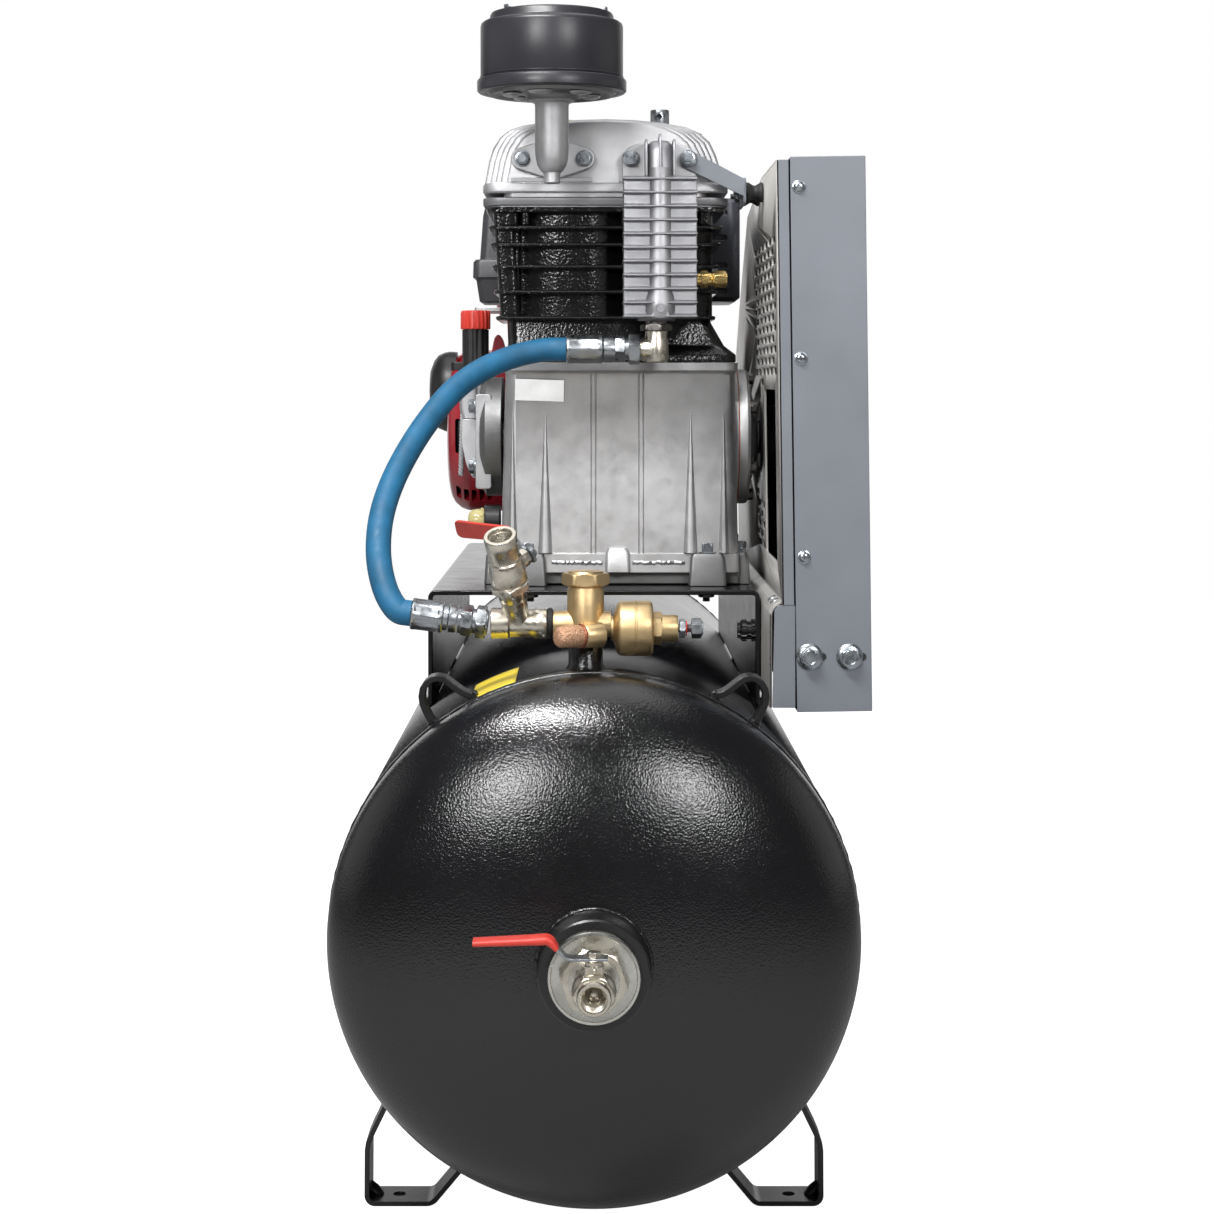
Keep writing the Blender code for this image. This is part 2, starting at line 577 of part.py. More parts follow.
# ---- pump -------------------------------------------------------------------------------------------
def crankcase():
    """Cast case, wider at the foot, open on top under the cylinders and at both ends of the shaft."""
    base = PLATE_TOP + GAP
    wall = CASE_WALL
    outside = [(base, rounded(-0.101, 0.156, 0.291, 0.499, 0.012, 2)),
               (base + 0.030, rounded(-0.100, 0.155, 0.292, 0.498, 0.012, 2)),
               (CASE_TOP - 0.012, rounded(-0.096, 0.152, 0.301, 0.489, 0.012, 2)),
               (CASE_TOP - 0.0115, rounded(-0.098, 0.154, 0.299, 0.491, 0.012, 2)),
               (CASE_TOP, rounded(-0.098, 0.154, 0.299, 0.491, 0.012, 2))]
    case = make("crankcase", loft(outside), "cast_aluminium")
    for x0, x1, y0, y1 in ((-0.086, -0.052, 0.286, 0.320), (0.106, 0.140, 0.286, 0.320),
                           (-0.118, -0.090, 0.440, 0.474), (0.140, 0.168, 0.440, 0.474)):
        weld(case, block(x0, x1, y0, y1, base, 0.6415))
    weld(case, pose(rod(0.066, -0.1000, -0.0850, 20, TO_X), (0, SHAFT_Y, SHAFT_Z)))
    weld(case, pose(rod(0.074, 0.1400, 0.1560, 20, TO_X), (0, SHAFT_Y, SHAFT_Z)))
    cut(case, block(-0.096 + wall, 0.152 - wall, 0.301 + wall, 0.489 - wall, base + wall, CASE_TOP + 0.01))
    cut(case, pose(rod(0.056, -0.2, 0.2, 20, TO_X), (0, SHAFT_Y, SHAFT_Z)))


def bearing_covers():
    at = (0, SHAFT_Y, SHAFT_Z)
    bore = SHAFT_BORE
    right = [(bore, 0.1480), (0.0550, 0.1480), (0.0550, 0.1563), (0.0735, 0.1563), (0.0735, 0.1680),
             (0.0400, 0.1760), (0.0260, 0.1800), (bore, 0.1800)]
    make("right_bearing_cover", turned(right, 20, TO_X), "cast_aluminium", at)
    outer = [(0, 0.1250), (0.0560, 0.1250), (0.0655, 0.1180), (0.0655, 0.1003), (0.0550, 0.1003),
             (0.0550, 0.0900),
             (0, 0.0900)]
    cover = make("left_bearing_cover", turned(outer, 20, TO_MINUS_X), "cast_aluminium", at)
    weld(cover, block(-0.1470, -0.1150, -0.0180, 0.0180, 0.0200, 0.0695))
    cut(cover, rod(bore, 0.0800, 0.1150, 16, TO_MINUS_X))


def running_gear():
    """Two-throw crankshaft, both pistons and the flywheel."""
    at = (0, SHAFT_Y, SHAFT_Z)
    shaft = make("crankshaft", rod(0.0175, -0.1120, -0.0450, 12, TO_X), "steel", at)
    weld(shaft, rod(0.0175, 0.0030, 0.0570, 12, TO_X), rod(0.0175, 0.1070, 0.2580, 12, TO_X))
    for x0, lift in ((-0.0500, THROW), (0.0540, -THROW)):
        weld(shaft, pose(rod(0.0150, x0 + 0.002, x0 + 0.0540, 12, TO_X), (0, 0, lift)))
        for web in (x0, x0 + 0.0460):
            weld(shaft, rod(0.0500, web, web + 0.0100, 16, TO_X))
    pistons = (("piston_low_stage", LOW_X, LOW_BORE, BLOCK_TOP - 0.0020),
               ("piston_high_stage", HIGH_X, HIGH_BORE, BLOCK_TOP - 0.0020 - 2 * THROW))
    for name, x, bore, crown in pistons:
        reach = bore - 0.0004
        piston = make(name, turned([(0, 0.0), (reach, 0.0), (reach, -0.055), (0, -0.055)], 20),
                      "cast_aluminium",
                      (x, SHAFT_Y, crown))
        cut(piston, rod(reach - 0.007, -0.070, -0.008, 16))
    rim = [(0.0178, 0.1830), (0.0330, 0.1830), (0.0330, 0.2220), (0.1900, 0.2220), (0.1900, 0.1990),
           (FLYWHEEL_R, 0.1990), (FLYWHEEL_R, BELT_X - BELT_HALF - 0.0005),
           (BELT_SEAT, BELT_X - BELT_HALF - 0.0005),
           (BELT_SEAT, BELT_X + BELT_HALF + 0.0005), (FLYWHEEL_R, BELT_X + BELT_HALF + 0.0005),
           (FLYWHEEL_R, 0.2570),
           (0.1900, 0.2570), (0.1900, 0.2320), (0.0178, 0.2320)]
    wheel = make("flywheel", turned(rim, 24, TO_X), "cast_iron", at)
    for i in range(5):
        turn = tau * i / 5
        cut(wheel, pose(rod(0.042, 0.20, 0.26, 6, TO_X), (0, 0.112 * cos(turn), 0.112 * sin(turn))))


def cylinder_block():
    """Finned iron block with its two bores."""
    fins = (0.8912, 0.9190, 0.9458, 0.9694, 0.9876, 1.0058)
    sections = [(CASE_TOP + GAP, rounded(-0.0960, 0.1520, 0.301, 0.489, 0.014, 1)),
                (CASE_TOP + 0.0100, rounded(-0.0960, 0.1520, 0.301, 0.489, 0.014, 1)),
                (CASE_TOP + 0.0105, rounded(-0.0900, 0.1350, 0.312, 0.478, 0.014, 1))]
    for i, z in enumerate(fins):
        grow = 0.0020 * i
        core = rounded(-0.0940, 0.1280, 0.315, 0.475, 0.014, 1)
        fin = rounded(-0.1050 - grow, 0.1300 + grow, 0.304, 0.486, 0.014, 1)
        sections += [(z - 0.0026, core), (z - 0.0025, fin), (z + 0.0025, fin)]
        if i + 1 < len(fins):
            sections.append((z + 0.0026, core))
    body = make("cylinder_block", loft(sections), "black_enamel")
    for x, bore in ((LOW_X, LOW_BORE), (HIGH_X, HIGH_BORE)):
        cut(body, pose(rod(bore, 0.80, 1.05, 20), (x, SHAFT_Y, 0)))


def cylinder_head():
    plate = rounded(-0.1190, 0.1435, 0.299, 0.491, 0.022, 2)
    make("valve_plate", prism(plate, BLOCK_TOP + GAP, BLOCK_TOP + 0.0103), "cast_aluminium")
    low = BLOCK_TOP + 0.0106
    sections = [(low, plate), (HEAD_Z - 0.001, plate),
                (HEAD_Z, rounded(-0.1165, 0.1410, 0.299, 0.490, 0.022, 2)),
                (1.0810, rounded(-0.1080, 0.1275, 0.303, 0.486, 0.026, 2)),
                (1.0955, rounded(-0.0930, 0.1060, 0.314, 0.475, 0.030, 2)),
                (HEAD_TOP, rounded(-0.0450, 0.0700, 0.340, 0.450, 0.030, 2))]
    head = make("cylinder_head", loft(sections), "cast_aluminium")
    weld(head, pose(rod(0.0100, 1.080, 1.1210, 12), (0.0720, 0.375, 0)))


def intake():
    """Intake pipe on the head's front, and the round filter that sits on it."""
    face = HEAD_FACE - FILTER_Y
    lobe = [*arc(0.0, 0.0, 0.0215, 60, 120, 2), *arc(-0.0315, 0.0025, 0.0125, 110, 250, 3),
            *arc(0.0, 0.0, 0.0215, 240, 300, 2), *arc(0.0315, 0.0025, 0.0125, -70, 70, 3)]
    at = (FILTER_X, FILTER_Y, 1.0548)
    pipe = make("intake_pipe", pose(frontal(lobe, face - 0.0088, face)), "cast_aluminium", at)
    weld(pipe, pose(rod(0.0160, 0.0, face - 0.004, 14, TO_Y), (0, 0, 0.0110)))
    upright = [(0, -0.0060), (0.0110, -0.0040), (0.0172, 0.0060), (0.0172, FILTER_LOW - 1.0553),
               (0, FILTER_LOW - 1.0553)]
    weld(pipe, turned(upright, 16))
    weld(pipe, rod(0.0030, FILTER_LOW - 1.0600, 1.2210 - 1.0548, 8))
    hub = (FILTER_X, FILTER_Y, FILTER_LOW)
    base = [(0.0036, 0.0), (0.0225, 0.0), (0.0225, 0.0050), (0.0740, 0.0060), (0.0770, 0.0080),
            (0.0770, 0.0235),
            (0.0740, 0.0245), (0.0660, 0.0245), (0.0660, 0.0120), (0.0036, 0.0120)]
    make("filter_base", turned(base, 24), "charcoal_coat", hub)
    can = [(0.0735, 0.0250), (0.0735, 0.0850), (0.0690, 0.0880), (0.0635, 0.0885), (0.0635, 0.0970),
           (0.0600, 0.0990),
           (0.0036, 0.0990), (0.0036, 0.0960), (0.0600, 0.0840), (0.0710, 0.0830), (0.0710, 0.0250)]
    make("filter_cover", turned(can, 24), "charcoal_coat", hub)
    nut = make("filter_wing_nut", tube(0.0075, 0.0034, 0.0993, 0.1050, 10), "zinc", hub)
    wing = [(0.0055, 0.1000), (0.0160, 0.1015), (0.0160, 0.1040), (0.0055, 0.1045)]
    weld(nut, frontal(wing, -0.0015, 0.0015), frontal(mirrored(wing), -0.0015, 0.0015))


def aftercooler():
    """Finned block between the head and the delivery elbow."""
    x0, x1, y0, y1 = 0.0300, 0.1080, 0.2360, 0.2980
    pitch = 0.01430
    full = rounded(x0, x1, y0, y1, 0.002, 1)
    core = rounded(x0 + 0.0205, x1 - 0.0205, y0 + 0.0030, y1 - 0.0010, 0.014, 1)
    sections = [(0.8873, core)]
    for i in range(11):
        z = 0.8905 + pitch * i
        sections += [(z - 0.0012, core), (z - 0.0011, full), (z + 0.0011, full), (z + 0.0012, core)]
    sections += [(1.0700, core), (1.0790, rounded(x0 + 0.026, x1 - 0.026, y0 + 0.010, y1 - 0.001, 0.010, 1))]
    cooler = make("aftercooler", loft(sections), "cast_aluminium")
    flange = [(x0, 1.0336), (x1, 1.0336), (x1, 1.0680), (0.0930, 1.0740), (0.0450, 1.0740), (x0, 1.0680)]
    weld(cooler, frontal(flange, 0.2890, HEAD_FACE))


def pump_fittings():
    body = [(0, 0.1085), (0.0070, 0.1085), (0.0070, 0.1130), (0.0090, 0.1130), (0.0090, 0.1290),
            (0.0078, 0.1400),
            (0, 0.1400)]
    make("safety_valve", turned(body, 12, TO_X), "brass", (0.0, 0.2690, 0.9300))
    neck = (-0.1310, SHAFT_Y, 0.8320)
    make("oil_filler_tube", tube(0.0145, 0.0105, 0.0, 0.0480, 16), "black_plastic", neck)
    cap = [(0, 0.0483), (0.0165, 0.0483), (0.0165, 0.0670), (0.0150, 0.0690), (0, 0.0690)]
    filler = make("oil_filler_cap", turned(cap, 16), "red_plastic", neck)
    weld(filler, rod(0.0098, 0.0300, 0.0500, 12))
    glass = [(0, 0.1092), (0.0165, 0.1092), (0.0165, 0.1180), (0.0130, 0.1185), (0.0130, 0.1290),
             (0.0090, 0.1350),
             (0, 0.1365)]
    make("oil_sight_glass", turned(glass, 14, TO_MINUS_X), "brass", (0, 0.335, 0.6720))


# ---- belt guard and drive -----------------------------------------------------------------------------


def guard_outline(inset):
    """Side view (Y, Z) of the guard: flat over the flywheel, falling towards the engine pulley."""
    front, rear, floor, top = 0.1200 + inset, 0.8170 - inset, GUARD_Z + inset, 1.0450 - inset
    return [(front, floor), (rear, floor), (rear, 0.8630 - inset), (0.7350, 0.9190 - inset),
            (0.5650, 1.0190 - inset),
            (0.3300, top), (front, top)]


def leaned(bm):
    pivot = Vector((BELT_X, 0, LEAN_Z))
    turn = Matrix.Translation(pivot) @ Matrix.Rotation(-LEAN, 4, "Y") @ Matrix.Translation(-pivot)
    bmesh.ops.transform(bm, matrix=turn, verts=bm.verts)
    return bm


def belt_guard():
    """Inner tray against the pump and the cover that slides over its rim."""
    tray = guard_outline(GUARD_T + 0.0005)
    tray[0] = (tray[0][0], 0.6010)
    tray[1] = (tray[1][0], 0.6010)
    hollow = guard_outline(2 * GUARD_T + 0.0005)
    hollow[0] = (hollow[0][0], 0.6030)
    hollow[1] = (hollow[1][0], 0.6030)
    panel = make("belt_guard_panel", leaned(sideways(tray, 0.1840, 0.1962)), "grey_coat")
    cut(panel, leaned(sideways(hollow, 0.1860, 0.2100)))
    cut(panel, pose(rod(0.0400, 0.15, 0.22, 16, TO_X), (0, SHAFT_Y, SHAFT_Z)))
    cut(panel, pose(rod(0.0300, 0.15, 0.22, 12, TO_X), (0, ENGINE_Y, ENGINE_Z)))
    cut(panel, sideways([(0.175, 0.640), (0.322, 0.640), (0.322, 0.815), (0.175, 0.815)], 0.15, 0.22))
    fold = [(0.1876, 0.6150), (0.1872, 0.6030), (0.1800, 0.5995), (0.1757, 0.5950), (0.1757, 0.4960)]
    weld(panel, frontal(bent_bar(fold, 0.0028), PLATE_FRONT, 0.8100))
    weld(panel, block(0.1745, 0.2040, 0.1235, 0.1255, 0.4980, 0.6005))
    weld(panel, block(0.1745, 0.1765, 0.1240, PLATE_FRONT + 0.01, 0.4980, 0.5940))
    cover = make("belt_guard_cover", leaned(sideways(guard_outline(0.0), 0.1945, GUARD_OUT)), "grey_coat")
    cut(cover, leaned(sideways(guard_outline(GUARD_T), 0.1500, GUARD_OUT - GUARD_T)))


def guard_stay():
    """Strap from the aftercooler's flange to the two rubber mounts on the guard."""
    strap = [(0.0900, 1.0610), (0.1545, 1.0235), (0.1610, 1.0235), (0.1610, 1.0390), (0.1030, 1.0725),
             (0.0960, 1.0720)]
    stay = make("guard_stay", frontal(strap, 0.2855, 0.2885), "grey_coat")
    weld(stay, block(0.1580, 0.1610, 0.2860, 0.3750, 1.0100, 1.0390))
    for name, y in (("guard_mount_front", 0.3020), ("guard_mount_rear", 0.3560)):
        waist = [(0, 0.1613), (0.0095, 0.1613), (0.0095, 0.1640), (0.0070, 0.1705), (0.0095, 0.1770),
                 (0.0095, 0.1797),
                 (0, 0.1797)]
        make(name, turned(waist, 12, TO_X), "rubber", (0, y, 1.0240))


def belt_line(extra):
    """The belts' run round the flywheel and the engine pulley, `extra` outside their grooves."""
    big, small = BELT_SEAT + 0.0013 + extra, PULLEY_R - 0.0039 + extra
    dy, dz = ENGINE_Y - SHAFT_Y, ENGINE_Z - SHAFT_Z
    heading = degrees(atan2(dz, dy))
    spread = degrees(acos((big - small) / sqrt(dy * dy + dz * dz)))
    return [*arc(SHAFT_Y, SHAFT_Z, big, heading + spread, heading + 360 - spread, 22),
            *arc(ENGINE_Y, ENGINE_Z, small, heading - spread, heading + spread, 8)]


def drive():
    """Belts as one closed band, and the engine's pulley on its shaft."""
    low, high = BELT_X - BELT_HALF, BELT_X + BELT_HALF
    loops = []
    for extra, x in ((0.0, low), (0.0085, low), (0.0085, high), (0.0, high)):
        loops.append([(x, a, b) for a, b in belt_line(extra)])
    make("drive_belts", skin(loops, closed=True), "rubber")
    groove = PULLEY_R - 0.0050
    rim = [(0, 0.1190), (0.0125, 0.1190), (0.0125, 0.2000), (PULLEY_R, 0.2000), (PULLEY_R, low - 0.0005),
           (groove, low - 0.0005), (groove, high + 0.0005), (PULLEY_R, high + 0.0005), (PULLEY_R, 0.2560),
           (0.0300, 0.2560), (0.0300, 0.2500), (0, 0.2500)]
    make("engine_pulley", turned(rim, 20, TO_X), "cast_iron", (0, ENGINE_Y, ENGINE_Z))


# ---- engine -------------------------------------------------------------------------------------------
def engine_block():
    """Crankcase on its rails, the slanted cylinder towards the pump and the tank's carrier."""
    base = RAIL_TOP + GAP
    body = make("engine_block", block(-0.0850, 0.1050, 0.6000, 0.8450, base, 0.8500, 0.020, 2),
                "cast_aluminium")
    cylinder = block(-0.0700, 0.0800, -0.1150, 0.1100, -0.0520, 0.0520)
    weld(body, pose(cylinder, (0, 0.6350, 0.8100), Matrix.Rotation(radians(-25), 4, "X")))
    weld(body, block(-0.0750, 0.0850, 0.6900, 0.8400, 0.8450, TANK_LOW))
    weld(body, pose(rod(0.0800, 0.1000, 0.1180, 16, TO_X), (0, ENGINE_Y, ENGINE_Z)))
    weld(body, block(-0.0550, 0.0800, 0.5650, 0.6500, 0.8500, COWL_LOW - GAP))
    cut(body, pose(rod(0.0135, 0.1100, 0.1300, 12, TO_X), (0, ENGINE_Y, ENGINE_Z)))


def engine_covers():
    recoil = [(0, 0.0853), (0.1000, 0.0853), (0.1000, 0.1500), (0.0960, 0.1640), (0.0820, 0.1760),
              (0, 0.1785)]
    starter = make("recoil_starter", turned(recoil, 24, TO_MINUS_X), "red_coat", (0, ENGINE_Y, ENGINE_Z))
    cap = [(0, 0.1700), (0.0500, 0.1700), (0.0500, 0.1870), (0.0400, 0.2000), (0, 0.2050)]
    weld(starter, pose(turned(cap, 24, TO_MINUS_X), (0, 0, CAP_LIFT)))
    low = TANK_LOW + GAP
    tank = [(low, rounded(-0.1160, 0.0950, 0.6850, 0.8950, 0.030, 2)),
            (low + 0.020, rounded(-0.1260, 0.1050, 0.6750, 0.9050, 0.035, 2)),
            (1.0150, rounded(-0.1260, 0.1050, 0.6750, 0.9050, 0.035, 2)),
            (1.0380, rounded(-0.1060, 0.0850, 0.6950, 0.8850, 0.035, 2))]
    make("fuel_tank", loft(tank), "red_coat")
    cap = [(0, 1.0383), (0.0290, 1.0383), (0.0290, 1.0520), (0.0250, 1.0560), (0, 1.0560)]
    make("fuel_cap", turned(cap, 16), "black_plastic", (-0.0400, 0.7700, 0))
    cleaner = [(COWL_LOW, rounded(-0.1460, -0.0150, 0.5150, 0.6600, 0.015, 2)),
               (0.9560, rounded(-0.1440, -0.0150, 0.5150, 0.6600, 0.015, 2)),
               (1.0350, rounded(-0.1300, -0.0200, 0.5250, 0.6500, 0.015, 2))]
    make("air_cleaner", loft(cleaner), "black_plastic")
    make("muffler", block(0.0000, 0.1700, 0.5150, 0.6650, COWL_LOW, 1.0350, 0.015, 2), "charcoal_coat")
    pivot = (0, 0.6050, 0.8620)
    lever = make("throttle_lever", rod(0.0050, 0.0703, 0.0990, 10, TO_MINUS_X), "steel", pivot)
    weld(lever, sideways([(-0.006, -0.004), (0.006, -0.004), (0.005, 0.040), (-0.005, 0.040)], -0.0980,
                         -0.0950))


receiver()
receiver_fittings()
outlet_valve()
manifold()
service_valve()
delivery_elbow()
discharge_hose()
platform()
crankcase()
bearing_covers()
running_gear()
cylinder_block()
cylinder_head()
intake()
aftercooler()
pump_fittings()
belt_guard()
guard_stay()
drive()
engine_block()
engine_covers()
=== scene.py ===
"""The looks of the petrol-driven belt compressor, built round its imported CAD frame.

Places are given on the machine itself: X from the receiver's middle plane, Y from its front girth seam
towards the rear, Z from the ground.  Metres throughout.
"""

import random
from math import acos, asin, atan2, cos, pi, radians, sin, sqrt, tau

import bmesh
import bpy
from mathutils import Matrix, Vector
from mathutils.geometry import delaunay_2d_cdt


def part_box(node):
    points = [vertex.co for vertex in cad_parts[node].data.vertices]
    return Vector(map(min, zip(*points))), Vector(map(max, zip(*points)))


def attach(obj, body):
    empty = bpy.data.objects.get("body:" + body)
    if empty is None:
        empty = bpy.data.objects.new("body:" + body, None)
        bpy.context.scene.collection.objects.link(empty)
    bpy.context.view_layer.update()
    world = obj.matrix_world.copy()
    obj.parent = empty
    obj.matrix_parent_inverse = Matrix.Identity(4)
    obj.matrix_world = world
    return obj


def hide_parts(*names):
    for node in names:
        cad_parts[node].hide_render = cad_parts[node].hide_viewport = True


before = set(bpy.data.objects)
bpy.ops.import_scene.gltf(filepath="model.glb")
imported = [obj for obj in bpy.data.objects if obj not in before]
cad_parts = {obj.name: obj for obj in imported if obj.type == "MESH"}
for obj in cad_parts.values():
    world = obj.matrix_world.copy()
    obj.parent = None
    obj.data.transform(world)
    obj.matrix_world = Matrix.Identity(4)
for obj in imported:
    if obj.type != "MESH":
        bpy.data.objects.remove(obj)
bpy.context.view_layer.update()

# ---- the machine's own axes, from the frame ------------------------------------------------------
GAP = 0.0003    # left between neighbouring CAD solids
SHELL_LOW, SHELL_HIGH = (Vector(corner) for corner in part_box("tank_shell"))
MIDDLE_X = (SHELL_LOW.x + SHELL_HIGH.x) / 2
SEAM_Y = SHELL_LOW.y - GAP
TANK_R = (SHELL_HIGH.x - SHELL_LOW.x) / 2
TANK_Z = SHELL_LOW.z + TANK_R
TANK_LENGTH = SHELL_HIGH.y - SHELL_LOW.y + 2 * GAP
HOME = Matrix.Translation((MIDDLE_X, SEAM_Y, 0))

UP = Matrix.Identity(4)
TO_X = Matrix.Rotation(pi / 2, 4, "Y")
TO_MINUS_X = Matrix.Rotation(-pi / 2, 4, "Y")
TO_Y = Matrix.Rotation(-pi / 2, 4, "X")
TO_MINUS_Y = Matrix.Rotation(pi / 2, 4, "X")
SIDEWAYS = Matrix.Rotation(pi / 2, 4, "Z") @ Matrix.Rotation(pi / 2, 4, "X")
FRONTAL = Matrix.Rotation(pi / 2, 4, "X")


def node_box(node):
    """A CAD node's lowest and highest corners on the machine's own axes."""
    low, high = (Vector(corner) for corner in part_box(node))
    return low - HOME.translation, high - HOME.translation


# ---- materials -----------------------------------------------------------------------------------
class Shader:
    """A Principled material under construction, with short calls for its procedural nodes."""

    def __init__(self, name, colour, roughness, metallic=0.0, **sockets):
        self.material = bpy.data.materials.new(name)
        self.material.use_nodes = True
        self.tree = self.material.node_tree
        self.shader = self.tree.nodes["Principled BSDF"]
        self.shader.inputs["Base Color"].default_value = (*colour, 1.0)
        self.shader.inputs["Roughness"].default_value = roughness
        self.shader.inputs["Metallic"].default_value = metallic
        for socket, value in sockets.items():
            self.shader.inputs[socket.replace("_", " ")].default_value = value
        self.place = self.node("ShaderNodeTexCoord").outputs["Object"]
        self.normal = None

    def node(self, kind, **settings):
        """A new node of one kind, with its settings."""
        made = self.tree.nodes.new(kind)
        for key, value in settings.items():
            setattr(made, key, value)
        return made

    def link(self, output, socket):
        """Feed a node's output into a socket."""
        self.tree.links.new(output, socket)

    def stretched(self, scale):
        """The object's own coordinates, scaled along each axis."""
        mapping = self.node("ShaderNodeMapping")
        mapping.inputs["Scale"].default_value = scale
        self.link(self.place, mapping.inputs["Vector"])
        return mapping.outputs["Vector"]

    def noise(self, scale, detail=2.0, stretch=None, roughness=0.5):
        """Cloudy noise from 0 to 1, finer with a larger scale."""
        made = self.node("ShaderNodeTexNoise")
        made.inputs["Scale"].default_value = scale
        made.inputs["Detail"].default_value = detail
        made.inputs["Roughness"].default_value = roughness
        self.link(self.stretched(stretch) if stretch else self.place, made.inputs["Vector"])
        return made.outputs["Fac"]

    def cells(self, scale, stretch=None):
        """The distance to the nearest of many scattered points."""
        made = self.node("ShaderNodeTexVoronoi")
        made.inputs["Scale"].default_value = scale
        self.link(self.stretched(stretch) if stretch else self.place, made.inputs["Vector"])
        return made.outputs["Distance"]

    def remap(self, value, low, high, to_low, to_high):
        """A value taken from one range to another."""
        made = self.node("ShaderNodeMapRange")
        self.link(value, made.inputs["Value"])
        for socket, number in zip(("From Min", "From Max", "To Min", "To Max"), (low, high, to_low, to_high)):
            made.inputs[socket].default_value = number
        return made.outputs["Result"]

    def ramp(self, value, stops):
        """A value turned into a colour by its (position, colour) stops."""
        made = self.node("ShaderNodeValToRGB")
        elements = made.color_ramp.elements
        while len(elements) < len(stops):
            elements.new(0.5)
        for element, (position, colour) in zip(elements, stops):
            element.position = position
            element.color = (*colour, 1.0)
        self.link(value, made.inputs["Fac"])
        return made.outputs["Color"]

    def tint(self, value, stops):
        """Colour the surface by a value."""
        self.link(self.ramp(value, stops), self.shader.inputs["Base Color"])
        return self

    def rough(self, value, low, high, to_low, to_high):
        """Vary the roughness with a value."""
        self.link(self.remap(value, low, high, to_low, to_high), self.shader.inputs["Roughness"])
        return self

    def bump(self, value, strength, distance):
        """Raise the surface by a value, on top of any bump before it."""
        made = self.node("ShaderNodeBump")
        made.inputs["Strength"].default_value = strength
        made.inputs["Distance"].default_value = distance
        self.link(value, made.inputs["Height"])
        if self.normal:
            self.link(self.normal, made.inputs["Normal"])
        self.normal = made.outputs["Normal"]
        self.link(self.normal, self.shader.inputs["Normal"])
        return self


def shades(colour, *factors):
    """Ramp stops around one colour."""
    return [(0.3 + 0.4 * i / (len(factors) - 1), tuple(c * f for c in colour)) for i, f in enumerate(factors)]


def powder_coat(name, colour, roughness, grain, depth, **more):
    """Baked powder: an even orange peel with faint change of gloss."""
    look = Shader(name, colour, roughness, **more)
    broad = look.noise(9.0, 3.0)
    look.tint(broad, shades(colour, 0.94, 1.0, 1.06))
    look.rough(look.noise(30.0, 4.0), 0.3, 0.7, roughness * 0.88, roughness * 1.12)
    look.bump(look.noise(grain, 1.5), 0.9, depth)
    look.bump(look.noise(grain * 3.1, 1.0), 0.35, depth * 0.4)
    return look.material


def casting(name, colour, roughness, grain=900.0, depth=0.00006, metallic=0.92, spread=0.16):
    """Sand or die cast metal: matt, blotchy and finely pitted."""
    look = Shader(name, colour, roughness, metallic)
    look.tint(look.noise(26.0, 6.0, roughness=0.65), shades(colour, 1 - spread, 1.0, 1 + spread * 0.6))
    look.rough(look.noise(60.0, 5.0), 0.3, 0.7, roughness * 0.85, min(roughness * 1.2, 1.0))
    look.bump(look.noise(grain, 3.0), 0.8, depth)
    look.bump(look.noise(grain * 0.16, 2.0), 0.5, depth * 2.5)
    return look.material


def plated(name, colour, roughness, cloud=60.0, spread=0.1):
    """Zinc or nickel plate: bright, with soft clouding and fine draw marks."""
    look = Shader(name, colour, roughness, 1.0)
    look.tint(look.noise(cloud, 4.0), shades(colour, 1 - spread, 1.0, 1 + spread * 0.5))
    look.rough(look.noise(cloud * 2.5, 4.0), 0.3, 0.7, roughness * 0.7, roughness * 1.35)
    look.bump(look.noise(1500.0, 2.0), 0.5, 0.00002)
    return look.material


def moulded(name, colour, roughness):
    """Plastic, rubber or a printed film from a mould: an even, faintly grained skin."""
    look = Shader(name, colour, roughness)
    look.tint(look.noise(40.0, 3.0), shades(colour, 0.88, 1.0, 1.1))
    look.rough(look.noise(90.0, 3.0), 0.3, 0.7, roughness * 0.9, roughness * 1.1)
    look.bump(look.noise(1400.0, 2.0), 0.6, 0.00004)
    return look.material


def hammered_black():
    """Receiver paint: thick black powder with a coarse peel that breaks up the highlights."""
    colour = (0.0034, 0.0034, 0.0042)
    look = Shader("receiver_black", colour, 0.19, Specular_IOR_Level=0.62)
    look.tint(look.noise(7.0, 3.0), shades(colour, 0.8, 1.0, 1.25))
    look.rough(look.noise(25.0, 5.0), 0.3, 0.7, 0.17, 0.21)
    look.bump(look.noise(520.0, 1.0), 1.0, 0.00034)
    look.bump(look.noise(900.0, 1.0), 0.5, 0.00005)
    return look.material


def rough_enamel():
    """Gloss black enamel brushed over sand-cast iron."""
    colour = (0.0045, 0.0045, 0.0048)
    look = Shader("cylinder_enamel", colour, 0.14, Specular_IOR_Level=0.6)
    look.rough(look.noise(70.0, 5.0), 0.3, 0.7, 0.12, 0.19)
    look.bump(look.noise(360.0, 1.5), 1.0, 0.0004)
    look.bump(look.noise(900.0, 1.0), 0.5, 0.00006)
    return look.material


def sintered():
    """Bronze grains pressed together, brighter than the gaps between them."""
    colour = (0.66, 0.42, 0.28)
    look = Shader("sintered_bronze", colour, 0.58, 0.6)
    look.tint(look.cells(620.0), [(0.0, (0.82, 0.56, 0.4)), (0.5, (0.46, 0.26, 0.15))])
    look.bump(look.cells(620.0), 1.0, 0.0009)
    return look.material


